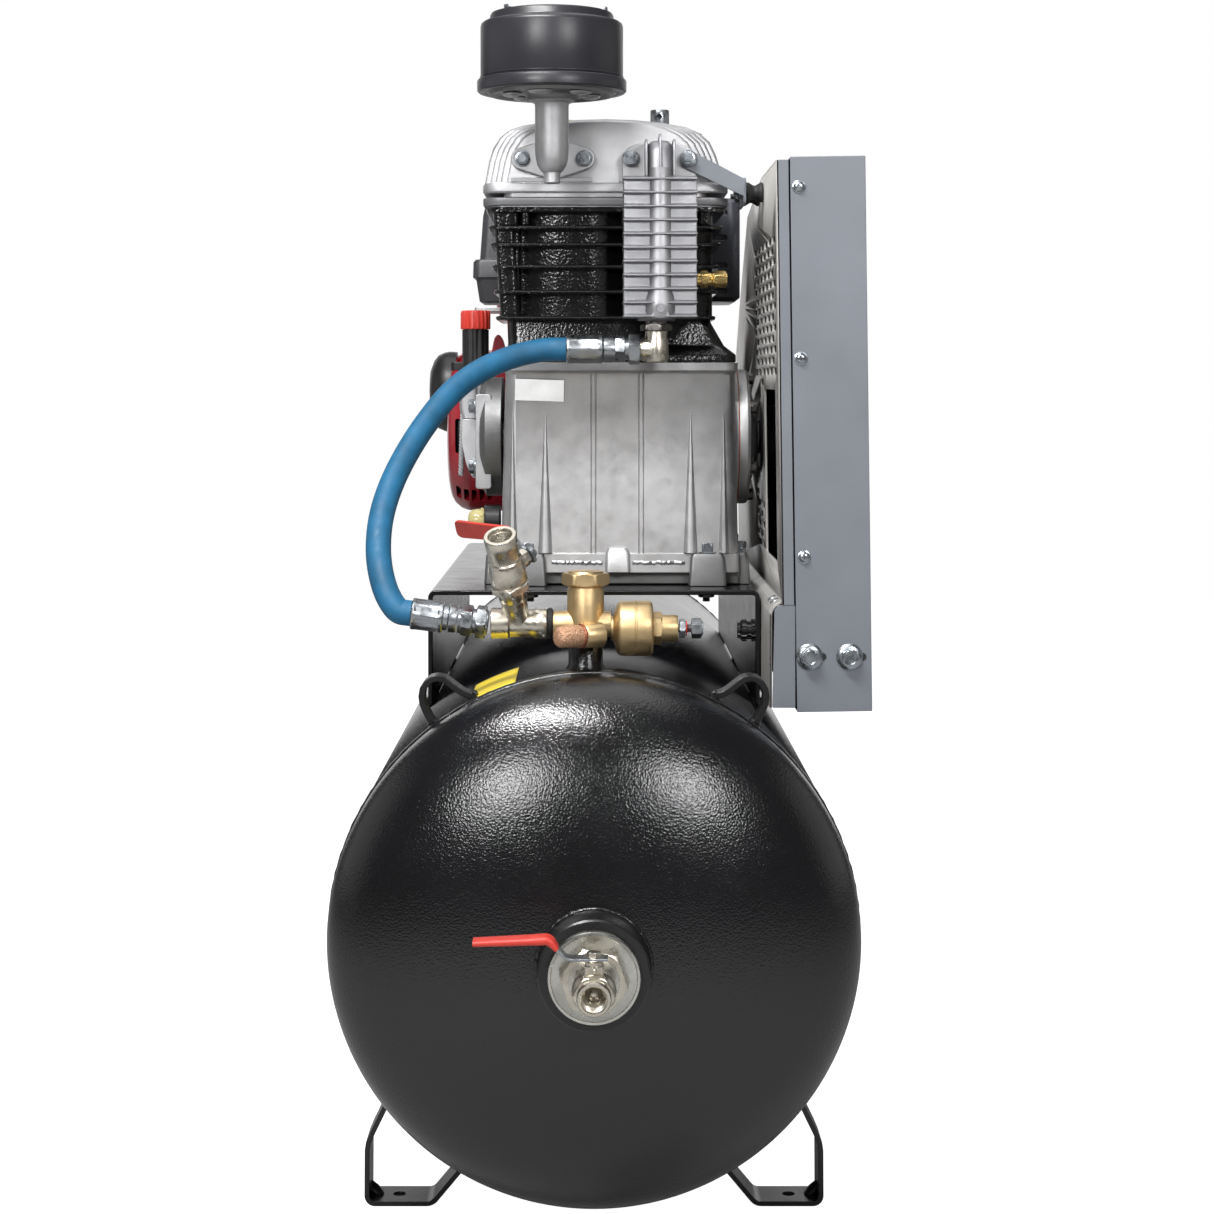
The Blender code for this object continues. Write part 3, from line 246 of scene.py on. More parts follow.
def hose_cover():
    """Blue rubber cover with the faint spiral marks of its wrapping cloth."""
    colour = (0.0062, 0.1, 0.205)
    look = Shader("hose_cover", colour, 0.58)
    look.tint(look.noise(34.0, 5.0), shades(colour, 0.8, 1.0, 1.22))
    look.rough(look.noise(120.0, 3.0), 0.3, 0.7, 0.5, 0.68)
    look.bump(look.noise(700.0, 2.0, (1.0, 1.0, 0.35)), 0.7, 0.00012)
    look.bump(look.noise(90.0, 2.0), 0.5, 0.0003)
    return look.material


def brushed_steel(name="machined_steel", colour=(0.42, 0.42, 0.43), roughness=0.3):
    """Bare turned metal with fine lines round it."""
    look = Shader(name, colour, roughness, 1.0)
    lines = look.noise(160.0, 3.0, (1.0, 1.0, 14.0))
    look.tint(lines, shades(colour, 0.8, 1.0, 1.15))
    look.rough(lines, 0.3, 0.7, roughness * 0.8, roughness * 1.3)
    look.bump(lines, 0.4, 0.00003)
    return look.material


LOOKS = {
    "receiver": hammered_black(),
    "black_coat": powder_coat("black_powder", (0.0075, 0.0075, 0.008), 0.3, 420.0, 0.0001),
    "grey_coat": powder_coat("grey_powder", (0.158, 0.17, 0.193), 0.42, 520.0, 0.00005),
    "warm_coat": powder_coat("warm_grey_powder", (0.4, 0.39, 0.37), 0.36, 520.0, 0.00005, Metallic=0.25),
    "gloss_black": powder_coat("platform_black", (0.006, 0.0058, 0.006), 0.2, 420.0, 0.00008),
    "gunmetal_coat": powder_coat("muffler_coat", (0.045, 0.048, 0.062), 0.3, 600.0, 0.00005),
    "black_enamel": rough_enamel(),
    "charcoal_coat": powder_coat("charcoal_powder", (0.019, 0.019, 0.0235), 0.36, 700.0, 0.00006),
    "red_coat": powder_coat("red_enamel", (0.3, 0.01, 0.018), 0.3, 380.0, 0.00003, Coat_Weight=0.4),
    "cast_aluminium": casting("cast_aluminium", (0.5, 0.497, 0.5), 0.47),
    "head_aluminium": casting("head_aluminium", (0.49, 0.49, 0.5), 0.5, spread=0.12),
    "fin_aluminium": casting("fin_aluminium", (0.33, 0.33, 0.345), 0.46, spread=0.1),
    "dark_aluminium": casting("dark_aluminium", (0.2, 0.2, 0.2), 0.48),
    "rough_aluminium": casting("rough_aluminium", (0.46, 0.46, 0.47), 0.4, 500.0, 0.0005),
    # lighter colour for the fins' front edges: a painted highlight
    "painted_edge_highlight": casting("painted_edge_highlight", (0.026, 0.026, 0.028), 0.36, metallic=0.5),
    "cast_iron": casting("cast_iron", (0.03, 0.03, 0.032), 0.5, metallic=0.6),
    "zinc": plated("zinc_plate", (0.34, 0.36, 0.38), 0.32),
    "nickel": plated("nickel_plate", (0.6, 0.56, 0.48), 0.3, 45.0, 0.12),
    "zinc_bolt": plated("zinc_bolt", (0.38, 0.41, 0.44), 0.3),
    "zinc_disc": plated("zinc_disc", (0.55, 0.545, 0.505), 0.28, 30.0, 0.16),
    "dark_steel": plated("dark_steel", (0.19, 0.18, 0.17), 0.32),
    "copper": plated("copper_seal", (0.5, 0.2, 0.13), 0.38),
    "brass": casting("cast_brass", (0.57, 0.42, 0.225), 0.43, 800.0, 0.00009, 1.0, 0.16),
    "turned_brass": brushed_steel("turned_brass", (0.66, 0.47, 0.18), 0.24),
    "bronze": sintered(),
    "steel": brushed_steel(),
    "red_plastic": moulded("red_plastic", (0.52, 0.035, 0.022), 0.42),
    "black_plastic": moulded("black_plastic", (0.0085, 0.0085, 0.009), 0.4),
    "charcoal_plastic": moulded("charcoal_plastic", (0.034, 0.034, 0.039), 0.42),
    "cord": moulded("starter_cord_braid", (0.3, 0.3, 0.31), 0.5),
    "rubber": moulded("rubber", (0.008, 0.008, 0.008), 0.62),
    "blue_hose": hose_cover(),
    "gasket": moulded("orange_gasket", (0.48, 0.12, 0.03), 0.6),
    "white_label": moulded("blank_label", (0.8, 0.8, 0.79), 0.35),
    "yellow_label": moulded("blank_yellow_label", (0.76, 0.58, 0.03), 0.38),
    "sight": moulded("sight_glass_amber", (0.55, 0.48, 0.22), 0.12),
}


# ---- outlines ------------------------------------------------------------------------------------
def arc(a, b, radius, start, end, steps):
    """Points along part of a circle, from one angle to another in degrees."""
    swing = [radians(start + (end - start) * i / steps) for i in range(steps + 1)]
    return [(a + radius * cos(t), b + radius * sin(t)) for t in swing]


def turns(steps):
    """Equal angles round a circle."""
    return [tau * i / steps for i in range(steps)]


def circle(radius, steps=48, a=0.0, b=0.0):
    """A closed outline round a centre."""
    return arc(a, b, radius, 0, 360, steps)[:-1]


def hexagon(across_flats, turn=0):
    """A regular hexagon's six corners."""
    return arc(0.0, 0.0, across_flats / sqrt(3), turn, turn + 360, 6)[:-1]


def rounded(a0, a1, b0, b1, radius, steps=6):
    """A rectangle with rounded corners."""
    points = []
    for a, b, start in ((a1, b0, -90), (a1, b1, 0), (a0, b1, 90), (a0, b0, 180)):
        inward_a = -radius if a == a1 else radius
        inward_b = -radius if b == b1 else radius
        points += arc(a + inward_a, b + inward_b, radius, start, start + 90, steps)
    return points


def eased(points, radius, steps=5, open_ends=False):
    """The same corners, each rounded by a short curve."""
    soft = []
    for i, corner in enumerate(points):
        here = Vector(corner)
        if open_ends and i in (0, len(points) - 1):
            soft.append(tuple(here))
            continue
        before = Vector(points[i - 1])
        after = Vector(points[(i + 1) % len(points)])
        reach_in = min(radius, (before - here).length * 0.48)
        reach_out = min(radius, (after - here).length * 0.48)
        first = here + (before - here).normalized() * reach_in
        last = here + (after - here).normalized() * reach_out
        for k in range(steps + 1):
            t = k / steps
            soft.append(tuple(first * (1 - t) ** 2 + here * 2 * t * (1 - t) + last * t ** 2))
    return soft


def bent_bar(line, thickness):
    """The outline of a strip that follows a line of points."""
    points = [Vector(p) for p in line]
    left, right = [], []
    for i, here in enumerate(points):
        into = (here - points[i - 1]).normalized() if i else (points[1] - here).normalized()
        out = (points[i + 1] - here).normalized() if i + 1 < len(points) else into
        mean = (into + out).normalized()
        side = Vector((-mean.y, mean.x)) * (thickness / 2) / max(mean.dot(into), 0.5)
        left.append(tuple(here + side))
        right.append(tuple(here - side))
    return right + left[::-1]


def mirrored(outline):
    """The same outline on the other side of the middle plane."""
    return [(-a, b) for a, b in reversed(outline)]


# ---- closed bmeshes ------------------------------------------------------------------------------
def skin(loops, closed=False):
    """Faces between loops of equal length; capped at both ends, or closed into a ring."""
    bm = bmesh.new()
    rings = [[bm.verts.new(p) for p in loop] for loop in loops]
    count = len(rings[0])
    pairs = list(zip(rings, rings[1:]))
    if closed:
        pairs.append((rings[-1], rings[0]))
    for low, high in pairs:
        for i in range(count):
            j = (i + 1) % count
            bm.faces.new((low[i], low[j], high[j], high[i]))
    if not closed:
        bm.faces.new(rings[0][::-1])
        bm.faces.new(rings[-1])
    bmesh.ops.recalc_face_normals(bm, faces=bm.faces)
    return bm


def ring(radii, height):
    """A loop of points round Z, one for each of the radii."""
    return [(r * cos(t), r * sin(t), height) for r, t in zip(radii, turns(len(radii)))]


def knurled(radii, levels):
    """A solid round Z with the same ridges at each (height, scale)."""
    return skin([ring([r * scale for r in radii], height) for height, scale in levels])


def pose(bm, at=(0, 0, 0), turn=UP):
    """Turn a bmesh about the origin, then move it."""
    bmesh.ops.transform(bm, matrix=Matrix.Translation(at) @ turn, verts=bm.verts)
    return bm


def loft(sections, turn=UP):
    """A solid through flat outlines, each at its own height."""
    return pose(skin([[(a, b, h) for a, b in outline] for h, outline in sections]), turn=turn)


def stacked(steps, *rows):
    """A loft through rounded rectangles, each given as (height, a0, a1, b0, b1, corner radius)."""
    return loft([(height, rounded(a0, a1, b0, b1, radius, steps)) for height, a0, a1, b0, b1, radius in rows])


def prism(outline, low, high, turn=UP):
    """A straight solid on one outline."""
    return loft([(low, outline), (high, outline)], turn)


def frontal(outline, y0, y1):
    """A prism along Y on an (X, Z) outline."""
    return prism(outline, -y1, -y0, FRONTAL)


def sideways(outline, x0, x1):
    """A prism along X on a (Y, Z) outline."""
    return prism(outline, x0, x1, SIDEWAYS)


def turned(profile, steps=48, turn=UP):
    """A (radius, height) outline spun about Z; it may start and end on the axis."""
    bm = bmesh.new()
    solid = profile[0][0] == 0
    inner = profile[1:-1] if solid else profile
    rings = [[bm.verts.new((a, b, height)) for a, b in circle(radius, steps)] for radius, height in inner]
    pairs = list(zip(rings, rings[1:]))
    if not solid:
        pairs.append((rings[-1], rings[0]))
    for low, high in pairs:
        for i in range(steps):
            j = (i + 1) % steps
            bm.faces.new((low[i], low[j], high[j], high[i]))
    if solid:
        for tip, loop in ((profile[0], rings[0]), (profile[-1], rings[-1])):
            point = bm.verts.new((0, 0, tip[1]))
            for i in range(steps):
                bm.faces.new((loop[i], loop[(i + 1) % steps], point))
    bmesh.ops.recalc_face_normals(bm, faces=bm.faces)
    return pose(bm, turn=turn)


def rod(radius, low, high, steps=40, turn=UP, edge=0.0006):
    """A cylinder with a small chamfer at both ends."""
    cut = min(edge, radius * 0.3)
    return turned([(0, low), (radius - cut, low), (radius, low + cut), (radius, high - cut),
                   (radius - cut, high), (0, high)], steps, turn)


def tube(outer, inner, low, high, steps=48, turn=UP, edge=0.0006):
    """A straight pipe with chamfered ends."""
    return turned([(inner, low + edge), (inner + edge, low), (outer - edge, low), (outer, low + edge),
                   (outer, high - edge), (outer - edge, high), (inner + edge, high), (inner, high - edge)],
                   steps, turn)


def slab(x0, x1, y0, y1, z0, z1, radius=0.0):
    """An upright block, its four upright edges rounded if asked."""
    outline = rounded(x0, x1, y0, y1, radius, 5) if radius else [(x0, y0), (x1, y0), (x1, y1), (x0, y1)]
    return prism(outline, z0, z1)


def joined(*solids):
    """Several closed bmeshes as one."""
    whole = bmesh.new()
    for bm in solids:
        spare = bpy.data.meshes.new("spare")
        bm.to_mesh(spare)
        bm.free()
        whole.from_mesh(spare)
        bpy.data.meshes.remove(spare)
    return whole


def hex_head(flats, height, low, turn):
    """A hexagon head with its corners turned off."""
    reach = flats / sqrt(3)
    sections = []
    for h, factor in ((low, 0.985), (low + height * 0.06, 1.0), (low + height * 0.78, 1.0),
                      (low + height, 0.9)):
        sections.append((h, [(a * factor, b * factor) for a, b in hexagon(flats, 30)]))
    top = turned([(0, low + height * 0.7), (reach * 0.8, low + height * 0.7),
                  (reach * 0.8, low + height * 1.02), (reach * 0.7, low + height * 1.06),
                  (0, low + height * 1.06)], 32)
    return pose(joined(loft(sections), top), turn=turn)


def coil_thread(radius, low, high, pitch, depth, steps=24, turn=UP):
    """Visible thread as close rings."""
    profile = [(0, low)]
    h = low
    while h < high - pitch:
        profile += [(radius - depth, h), (radius, h + pitch * 0.5)]
        h += pitch
    profile += [(radius - depth, h), (0, h)]
    return turned(profile, steps, turn)


def swept(line, radius, steps=24):
    """A round tube along a list of points; its radius may be a function of the way gone, 0 to 1."""
    points = [Vector(p) for p in line]
    side = None
    rings = []
    for i, here in enumerate(points):
        ahead = (points[min(i + 1, len(points) - 1)] - points[max(i - 1, 0)]).normalized()
        if side is None:
            side = ahead.orthogonal().normalized()
        side = (side - side.dot(ahead) * ahead).normalized()
        other = ahead.cross(side)
        reach = radius(i / (len(points) - 1)) if callable(radius) else radius
        rings.append([here + (side * cos(tau * k / steps) + other * sin(tau * k / steps)) * reach
                      for k in range(steps)])
    return skin(rings)


# ---- pieces --------------------------------------------------------------------------------------
SHARP = 35      # degrees between two faces that still shade as one


def dress(mesh, look, smooth=SHARP):
    """Give a mesh its material, and shade it smooth up to an angle between its faces."""
    mesh.materials.clear()
    mesh.materials.append(LOOKS[look])
    mesh.shade_smooth()
    mesh.set_sharp_from_angle(angle=radians(smooth))


def soften(made, width, segments=2, degrees=40):
    """Round the edges that are sharper than an angle."""
    edge = made.modifiers.new("Soft", "BEVEL")
    edge.width = width
    edge.segments = segments
    edge.limit_method = "ANGLE"
    edge.angle_limit = radians(degrees)
    edge.harden_normals = True


def piece(name, bm, look, body="frame", at=(0, 0, 0), bevel=0.0, smooth=SHARP, stands_for=None):
    """A named piece modelled about `at`, riding on a body and standing for its CAD node."""
    mesh = bpy.data.meshes.new(name)
    bm.to_mesh(mesh)
    bm.free()
    dress(mesh, look, smooth)
    made = bpy.data.objects.new(name, mesh)
    bpy.context.scene.collection.objects.link(made)
    made.matrix_world = HOME @ Matrix.Translation(at)
    if bevel:
        soften(made, bevel)
    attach(made, body)
    if stands_for:
        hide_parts(stands_for)
    return made


def carve(target, bm, operation="DIFFERENCE", at=(0, 0, 0)):
    """A Boolean with a solid that never shows; it is applied at once and the solid is removed."""
    mesh = bpy.data.meshes.new("carver")
    bm.to_mesh(mesh)
    bm.free()
    helper = bpy.data.objects.new("carver", mesh)
    bpy.context.scene.collection.objects.link(helper)
    helper.matrix_world = target.matrix_world @ Matrix.Translation(at)
    step = target.modifiers.new("Cut", "BOOLEAN")
    step.operation = operation
    step.solver = "EXACT"
    step.object = helper
    others = [modifier.name for modifier in target.modifiers if modifier != step]
    bpy.context.view_layer.update()
    for name in others:
        target.modifiers[name].show_viewport = False
    graph = bpy.context.evaluated_depsgraph_get()
    fresh = bpy.data.meshes.new_from_object(target.evaluated_get(graph), depsgraph=graph)
    for name in others:
        target.modifiers[name].show_viewport = True
    target.modifiers.remove(step)
    old = target.data
    target.data = fresh
    bpy.data.meshes.remove(old)
    bpy.data.objects.remove(helper)
    bpy.data.meshes.remove(mesh)
    target.data.shade_smooth()
    target.data.set_sharp_from_angle(angle=radians(SHARP))


# ---- finishes of the CAD pieces ------------------------------------------------------------------
FINISHES = {
    "receiver": ("tank_shell", "front_dished_end", "rear_dished_end", "front_socket", "foot_front_left",
                 "foot_front_right", "foot_rear_left", "foot_rear_right", "lifting_eye_left",
                 "lifting_eye_right"),
    "black_coat": ("platform",),
    "grey_coat": ("belt_guard_panel", "belt_guard_cover", "guard_stay"),
    "black_enamel": ("cylinder_block",),
    "charcoal_coat": ("filter_cover", "filter_base", "air_cleaner", "muffler", "intake_pipe"),
    "red_coat": ("recoil_starter", "fuel_tank"),
    "cast_aluminium": ("crankcase", "right_bearing_cover", "left_bearing_cover", "engine_block"),
    "head_aluminium": ("cylinder_head",),
    "fin_aluminium": ("aftercooler", "valve_plate"),
    "cast_iron": ("flywheel", "engine_pulley"),
    "zinc": ("reducer_flange", "hose_tail", "delivery_elbow", "unloader_screw", "filter_wing_nut",
             "throttle_lever"),
    "nickel": ("outlet_valve_body", "outlet_valve_ball", "service_tee"),
    "brass": ("check_valve_body", "check_valve_cap", "unloader_body", "drain_valve"),
    "turned_brass": ("service_valve_body", "safety_valve"),
    "bronze": ("unloader_filter",),
    "steel": ("crankshaft", "piston_low_stage", "piston_high_stage"),
    "red_plastic": ("outlet_valve_lever", "service_valve_lever", "oil_filler_cap"),
    "black_plastic": ("oil_filler_tube", "fuel_cap"),
    "sight": ("oil_sight_glass",),
    "rubber": ("guard_mount_front", "guard_mount_rear", "drive_belts"),
    "blue_hose": ("discharge_hose",),
}


def finish_cad_pieces():
    """Give each CAD piece the look that the table above names for it."""
    for look, nodes in FINISHES.items():
        for node in nodes:
            dress(bpy.data.objects[node].data, look)


# ---- receiver ------------------------------------------------------------------------------------
SKIRT = 0.018           # straight rim of a dished end
DOME = 0.1
SINK = 0.0006           # how far a head's rim sits inside the seam
AXIS = (0, 0, TANK_Z)
BOSS_X = -0.008         # the threaded boss on the crown, under the check valve
BOSS_Y = 0.035
SEAM_ANGLE = 262        # the long weld, under the shell, in degrees from +X


def dome(radius):
    """How far a dished end stands out of its seam at a radius."""
    return SKIRT + DOME * sqrt(max(1 - (radius / TANK_R) ** 2, 0))


def dished():
    """A head's line from the inside of its rim to its centre, as (radius, reach)."""
    swing = [pi / 2 * i / 30 for i in range(1, 30)]
    rim = [(0, -SINK), (TANK_R - SINK, -SINK), (TANK_R - SINK, SKIRT)]
    return rim + [((TANK_R - SINK) * cos(a), SKIRT + DOME * sin(a)) for a in swing] + [(0, SKIRT + DOME)]


BEAD = 0.0042       # half width of an ordinary weld


def weld_run(line, radius=BEAD, seed=3):
    """A rippled bead along a line of points."""
    spread = random.Random(seed)
    waves = [spread.uniform(-1, 1) for _ in line]

    def swell(t):
        return radius * (1 + 0.14 * waves[int(t * (len(line) - 1))] + 0.12 * sin(t * len(line) * 1.9))

    return swept(line, swell, 8)


def seam_ring(radius):
    """A closed weld round Z: low, wide and rippled."""
    steps, half_width, height = 260, 0.005, 0.0022
    spread = random.Random(4)
    bm = bmesh.new()
    rows = []
    for i, turn in enumerate(turns(steps)):
        swell = 1 + 0.12 * sin(i * 2.3) + 0.1 * spread.uniform(-1, 1)
        row = []
        for a in [pi * k / 8 for k in range(9)]:
            reach = radius + height * swell * sin(a)
            along = -half_width * (0.9 + 0.1 * swell) * cos(a)
            row.append(bm.verts.new((reach * cos(turn), reach * sin(turn), along)))
        rows.append(row)
    for row, after in zip(rows, rows[1:] + rows[:1]):
        for k in range(9):
            bm.faces.new((row[k], after[k], after[(k + 1) % 9], row[(k + 1) % 9]))
    bmesh.ops.recalc_face_normals(bm, faces=bm.faces)
    return bm


def on_face(x, radius, angle):
    """A point at an angle round the X axis."""
    return Vector((x, radius * cos(angle), radius * sin(angle)))


def shell_point(angle, y, lift=0.0):
    """A point on the shell at an angle from +X, in machine axes."""
    turn = radians(angle)
    return (TANK_R + lift) * cos(turn), y, TANK_Z + (TANK_R + lift) * sin(turn)


def build_receiver():
    """Shell, two dished ends, their seams and the rear plug."""
    piece("front_head", turned(dished(), 180, TO_MINUS_Y), "receiver", at=AXIS, smooth=50,
          stands_for="front_dished_end")
    piece("rear_head", turned(dished(), 180, TO_Y), "receiver", at=(0, TANK_LENGTH, TANK_Z), smooth=50,
          stands_for="rear_dished_end")
    shell = tube(TANK_R, TANK_R - 0.004, SINK, TANK_LENGTH - SINK, 180, TO_Y)
    boss = pose(turned([(0, -0.004), (0.019, -0.004), (0.018, 0.0012), (0.0165, 0.003), (0.0165, 0.0207),
                        (0.0157, 0.0215), (0, 0.0215)], 48), (BOSS_X, BOSS_Y, TANK_R - 0.0005))
    piece("shell", joined(shell, boss), "receiver", at=AXIS, smooth=50, stands_for="tank_shell")
    for name, y in (("front_seam", 0.0), ("rear_seam", TANK_LENGTH)):
        piece(name, pose(seam_ring(TANK_R - 0.001), turn=TO_Y), "receiver", at=(0, y, TANK_Z), smooth=70)
    length = [0.012 + (TANK_LENGTH - 0.024) * i / 240 for i in range(241)]
    piece("long_seam", weld_run([shell_point(SEAM_ANGLE, y, -0.002) for y in length]), "receiver", smooth=70)
    rear_plug = joined(rod(0.03, -0.002, 0.012, 60, TO_Y), hex_head(0.036, 0.014, 0.012, TO_Y))
    piece("rear_plug", pose(rear_plug, (0, dome(0.0) - 0.0008, 0)), "receiver", at=(0, TANK_LENGTH, TANK_Z))


# ---- feet and lifting eyes -----------------------------------------------------------------------
FOOT_HALF = 0.0025              # half of the bar's thickness
FOOT_HOLE = (0.1957, 0.006)     # distance from the middle plane, and radius
FOOT_WIDTH = 0.046
FOOT_STARTS = (("front", 0.125), ("rear", TANK_LENGTH - 0.171))
EYE_START = 0.006
EYE_WIDTH = 0.024
EYE_BAR = 0.006


def reach_shell(start, direction, sink):
    """Where a line from a point (X, Z) going one way enters the shell, a little under its skin."""
    here = Vector(start) - Vector((0, TANK_Z))
    way = Vector(direction).normalized()
    along = here.dot(way)
    inside = TANK_R - sink
    travel = -along - sqrt(along ** 2 - here.length_squared + inside ** 2)
    return tuple(Vector(start) + way * travel)


def foot_line():
    """The middle line of the left foot's bar, as (X, Z)."""
    heel = arc(-0.2185, FOOT_HALF + 0.008, 0.008, 180, 270, 8)
    toe = arc(-0.167, FOOT_HALF + 0.012, 0.012, 270, 320, 6)
    knee = [(-0.2207, 0.0735), (-0.2226, 0.069), (-0.225, 0.0635), (-0.2262, 0.056)]
    outer = reach_shell(knee[0], (0.0322, 0.0664), 0.0022)
    return [outer, *knee, *heel, *toe, reach_shell(toe[-1], (0.643, 0.766), 0.0022)]


def gusset(at, turn, long, wide, high):
    """A flattened egg, half sunk in the surface it sits on."""
    egg = turned([(0, -1), (0.5, -0.87), (0.87, -0.5), (1, 0), (0.87, 0.5), (0.5, 0.87), (0, 1)], 20)
    return pose(egg, at, turn @ Matrix.Diagonal((wide, high, long, 1)))


def build_feet():
    """Four bent feet, each with its pressed bead and two welds."""
    line = foot_line()
    for end, y0 in FOOT_STARTS:
        middle = y0 + FOOT_WIDTH / 2
        for hand, side in (("left", -1), ("right", 1)):
            path = line if side < 0 else mirrored(line)
            bar = frontal(bent_bar(path, 2 * FOOT_HALF), 0, FOOT_WIDTH)
            made = piece(f"bracket_{end}_{hand}", bar, "black_coat", at=(0, y0, 0), bevel=0.0007,
                         stands_for=f"foot_{end}_{hand}")
            carve(made, rod(FOOT_HOLE[1], -0.01, 0.02, 40), at=(side * FOOT_HOLE[0], FOOT_WIDTH / 2, 0))
            lean = Matrix.Rotation(radians(side * 45), 4, "Y")
            bead = gusset((side * 0.2205, 0, 0.0095), lean, 0.0135, 0.0055, 0.0085)
            piece(f"bracket_{end}_{hand}_bead", bead, "black_coat", at=(0, middle, 0), smooth=60)
            for tag, (x, z) in (("outer", line[0]), ("inner", line[-1])):
                run = [(side * abs(x), y0 + 0.001 + (FOOT_WIDTH - 0.002) * i / 24, z) for i in range(25)]
                piece(f"bracket_{end}_{hand}_weld_{tag}", weld_run(run, 0.0046, seed=len(tag)), "black_coat",
                      smooth=70)


def eye_line():
    """The middle line of the left eye's bent bar, as (X, Z), from steps of (angle, height over the shell)."""
    steps = ((116.9, 0.0037), (117.5, 0.0052), (118.3, 0.009), (118.9, 0.0138), (119.4, 0.019),
             (119.9, 0.025), (120.5, 0.0305), (121.4, 0.0343), (122.4, 0.036), (123.6, 0.0355),
             (124.8, 0.033), (125.8, 0.028), (126.5, 0.022), (126.9, 0.015), (127.2, 0.008), (127.3, 0.0012))
    return [((TANK_R + h) * cos(radians(a)), (TANK_R + h) * sin(radians(a)) + TANK_Z) for a, h in steps]


def build_lifting_eyes():
    """Two bent bars on the crown, each with two welds."""
    for hand, line in (("left", eye_line()), ("right", mirrored(eye_line()))):
        bar = frontal(bent_bar(line, EYE_BAR), EYE_START, EYE_START + EYE_WIDTH)
        piece(f"eye_{hand}", bar, "black_coat", bevel=0.001, stands_for=f"lifting_eye_{hand}")
        crown, flank = (line[0], line[-1]) if hand == "left" else (line[-1], line[0])
        for tag, (x, z) in (("crown", crown), ("flank", flank)):
            run = [(x, EYE_START + 0.0015 + (EYE_WIDTH - 0.003) * i / 14, z - 0.001) for i in range(15)]
            piece(f"eye_{hand}_weld_{tag}", weld_run(run, seed=len(tag)), "black_coat", smooth=70)


def build_labels():
    """A blank yellow label on the shell's left shoulder, behind the front seam."""
    rows = []
    for i in range(13):
        y = 0.009 + 0.115 * i / 12
        rows.append([shell_point(angle, y, 0.0004) for angle in [107.3 + 10.6 * k / 12 for k in range(13)]])
    bm = bmesh.new()
    grid = [[bm.verts.new(p) for p in row] for row in rows]
    for low, high in zip(grid, grid[1:]):
        for k in range(12):
            bm.faces.new((low[k], high[k], high[k + 1], low[k + 1]))
    bmesh.ops.recalc_face_normals(bm, faces=bm.faces)
    label = piece("shell_label", bm, "yellow_label")
    thick = label.modifiers.new("Film", "SOLIDIFY")
    thick.thickness = 0.0002


build_receiver()
build_feet()
build_lifting_eyes()
build_labels()


# ---- turned and hexagonal fittings ---------------------------------------------------------------
def hex_reach(angle, flats):
    """Distance from the middle of a hexagon to its edge, at an angle."""
    return flats / 2 / cos((angle % (pi / 3)) - pi / 6)


def hex_body(flats, low, high, turn=UP, bore=0.0, spin=0.0, ends=(True, True)):
    """A hexagon bar, bored through if asked, with its corners turned off at the low and high `ends`."""
    inner, outer = flats * 0.505, flats / sqrt(3)
    rise = min((outer - inner) * 0.58, (high - low) * 0.4)
    foot = [(low, inner), (low + rise * 0.45, (inner + outer) / 2), (low + rise, outer)]
    head = [(high - rise, outer), (high - rise * 0.45, (inner + outer) / 2), (high, inner)]
    levels = (foot if ends[0] else [(low, outer)]) + (head if ends[1] else [(high, outer)])
    across = [hex_reach(t + spin, flats) for t in turns(96)]
    loops = [ring([min(reach, limit) for reach in across], h) for h, limit in levels]
    if bore:
        loops += [ring([bore] * 96, h) for h in (high, low)]
    return pose(skin(loops, closed=bool(bore)), turn=turn)


def bolt(name, flats, height, at, turn, washer, look="zinc_bolt"):
    """A piece: hexagon bolt head with a raised top, on a washer of the given radius."""
    plate = turned([(0, -0.0018), (washer - 0.0003, -0.0018), (washer, -0.0014), (washer, -0.0006),
                    (washer - 0.0004, -0.0002), (0, -0.0002)], 40)
    head = joined(hex_body(flats, 0.0, height), rod(flats * 0.4, height * 0.9, height * 1.05, 32), plate)
    piece(name, pose(head, at, turn), look, smooth=30)


def tapped_rings(heights, turn):
    """The thread inside a valve's mouth, as close rings."""
    lips = [[(0.0105, h), (0.0114, h - 0.0006), (0.0114, h + 0.0006)] for h in heights]
    return joined(*[turned(lip, 64, turn) for lip in lips])


# ---- outlet valve --------------------------------------------------------------------------------
SOCKET_R = 0.05
SOCKET_END = 0.15
FLANGE_R = 0.0413
FLANGE_HEX = 0.054
OUTLET = Vector((0, -0.2, TANK_Z))
BODY_START = 0.1722 - 0.2       # the body's inner end and its mouth, from the ball's centre
MOUTH = 0.029


def build_outlet_socket():
    """The neck welded into the front head."""
    sunk = dome(SOCKET_R) - 0.004
    socket = turned([(0, sunk), (SOCKET_R + 0.004, sunk), (SOCKET_R + 0.0012, sunk + 0.0056),
                     (SOCKET_R, sunk + 0.008), (SOCKET_R, SOCKET_END - 0.0016),
                     (SOCKET_R - 0.0016, SOCKET_END), (0, SOCKET_END)], 120, TO_MINUS_Y)
    piece("neck_socket", socket, "black_coat", at=AXIS, smooth=40, stands_for="front_socket")
    bead_r = SOCKET_R + 0.0015
    run = [(bead_r * cos(tau * i / 150), -dome(SOCKET_R) + 0.0005, bead_r * sin(tau * i / 150))
           for i in range(151)]
    piece("neck_weld", weld_run(run, 0.0022, seed=9), "receiver", at=AXIS, smooth=70)


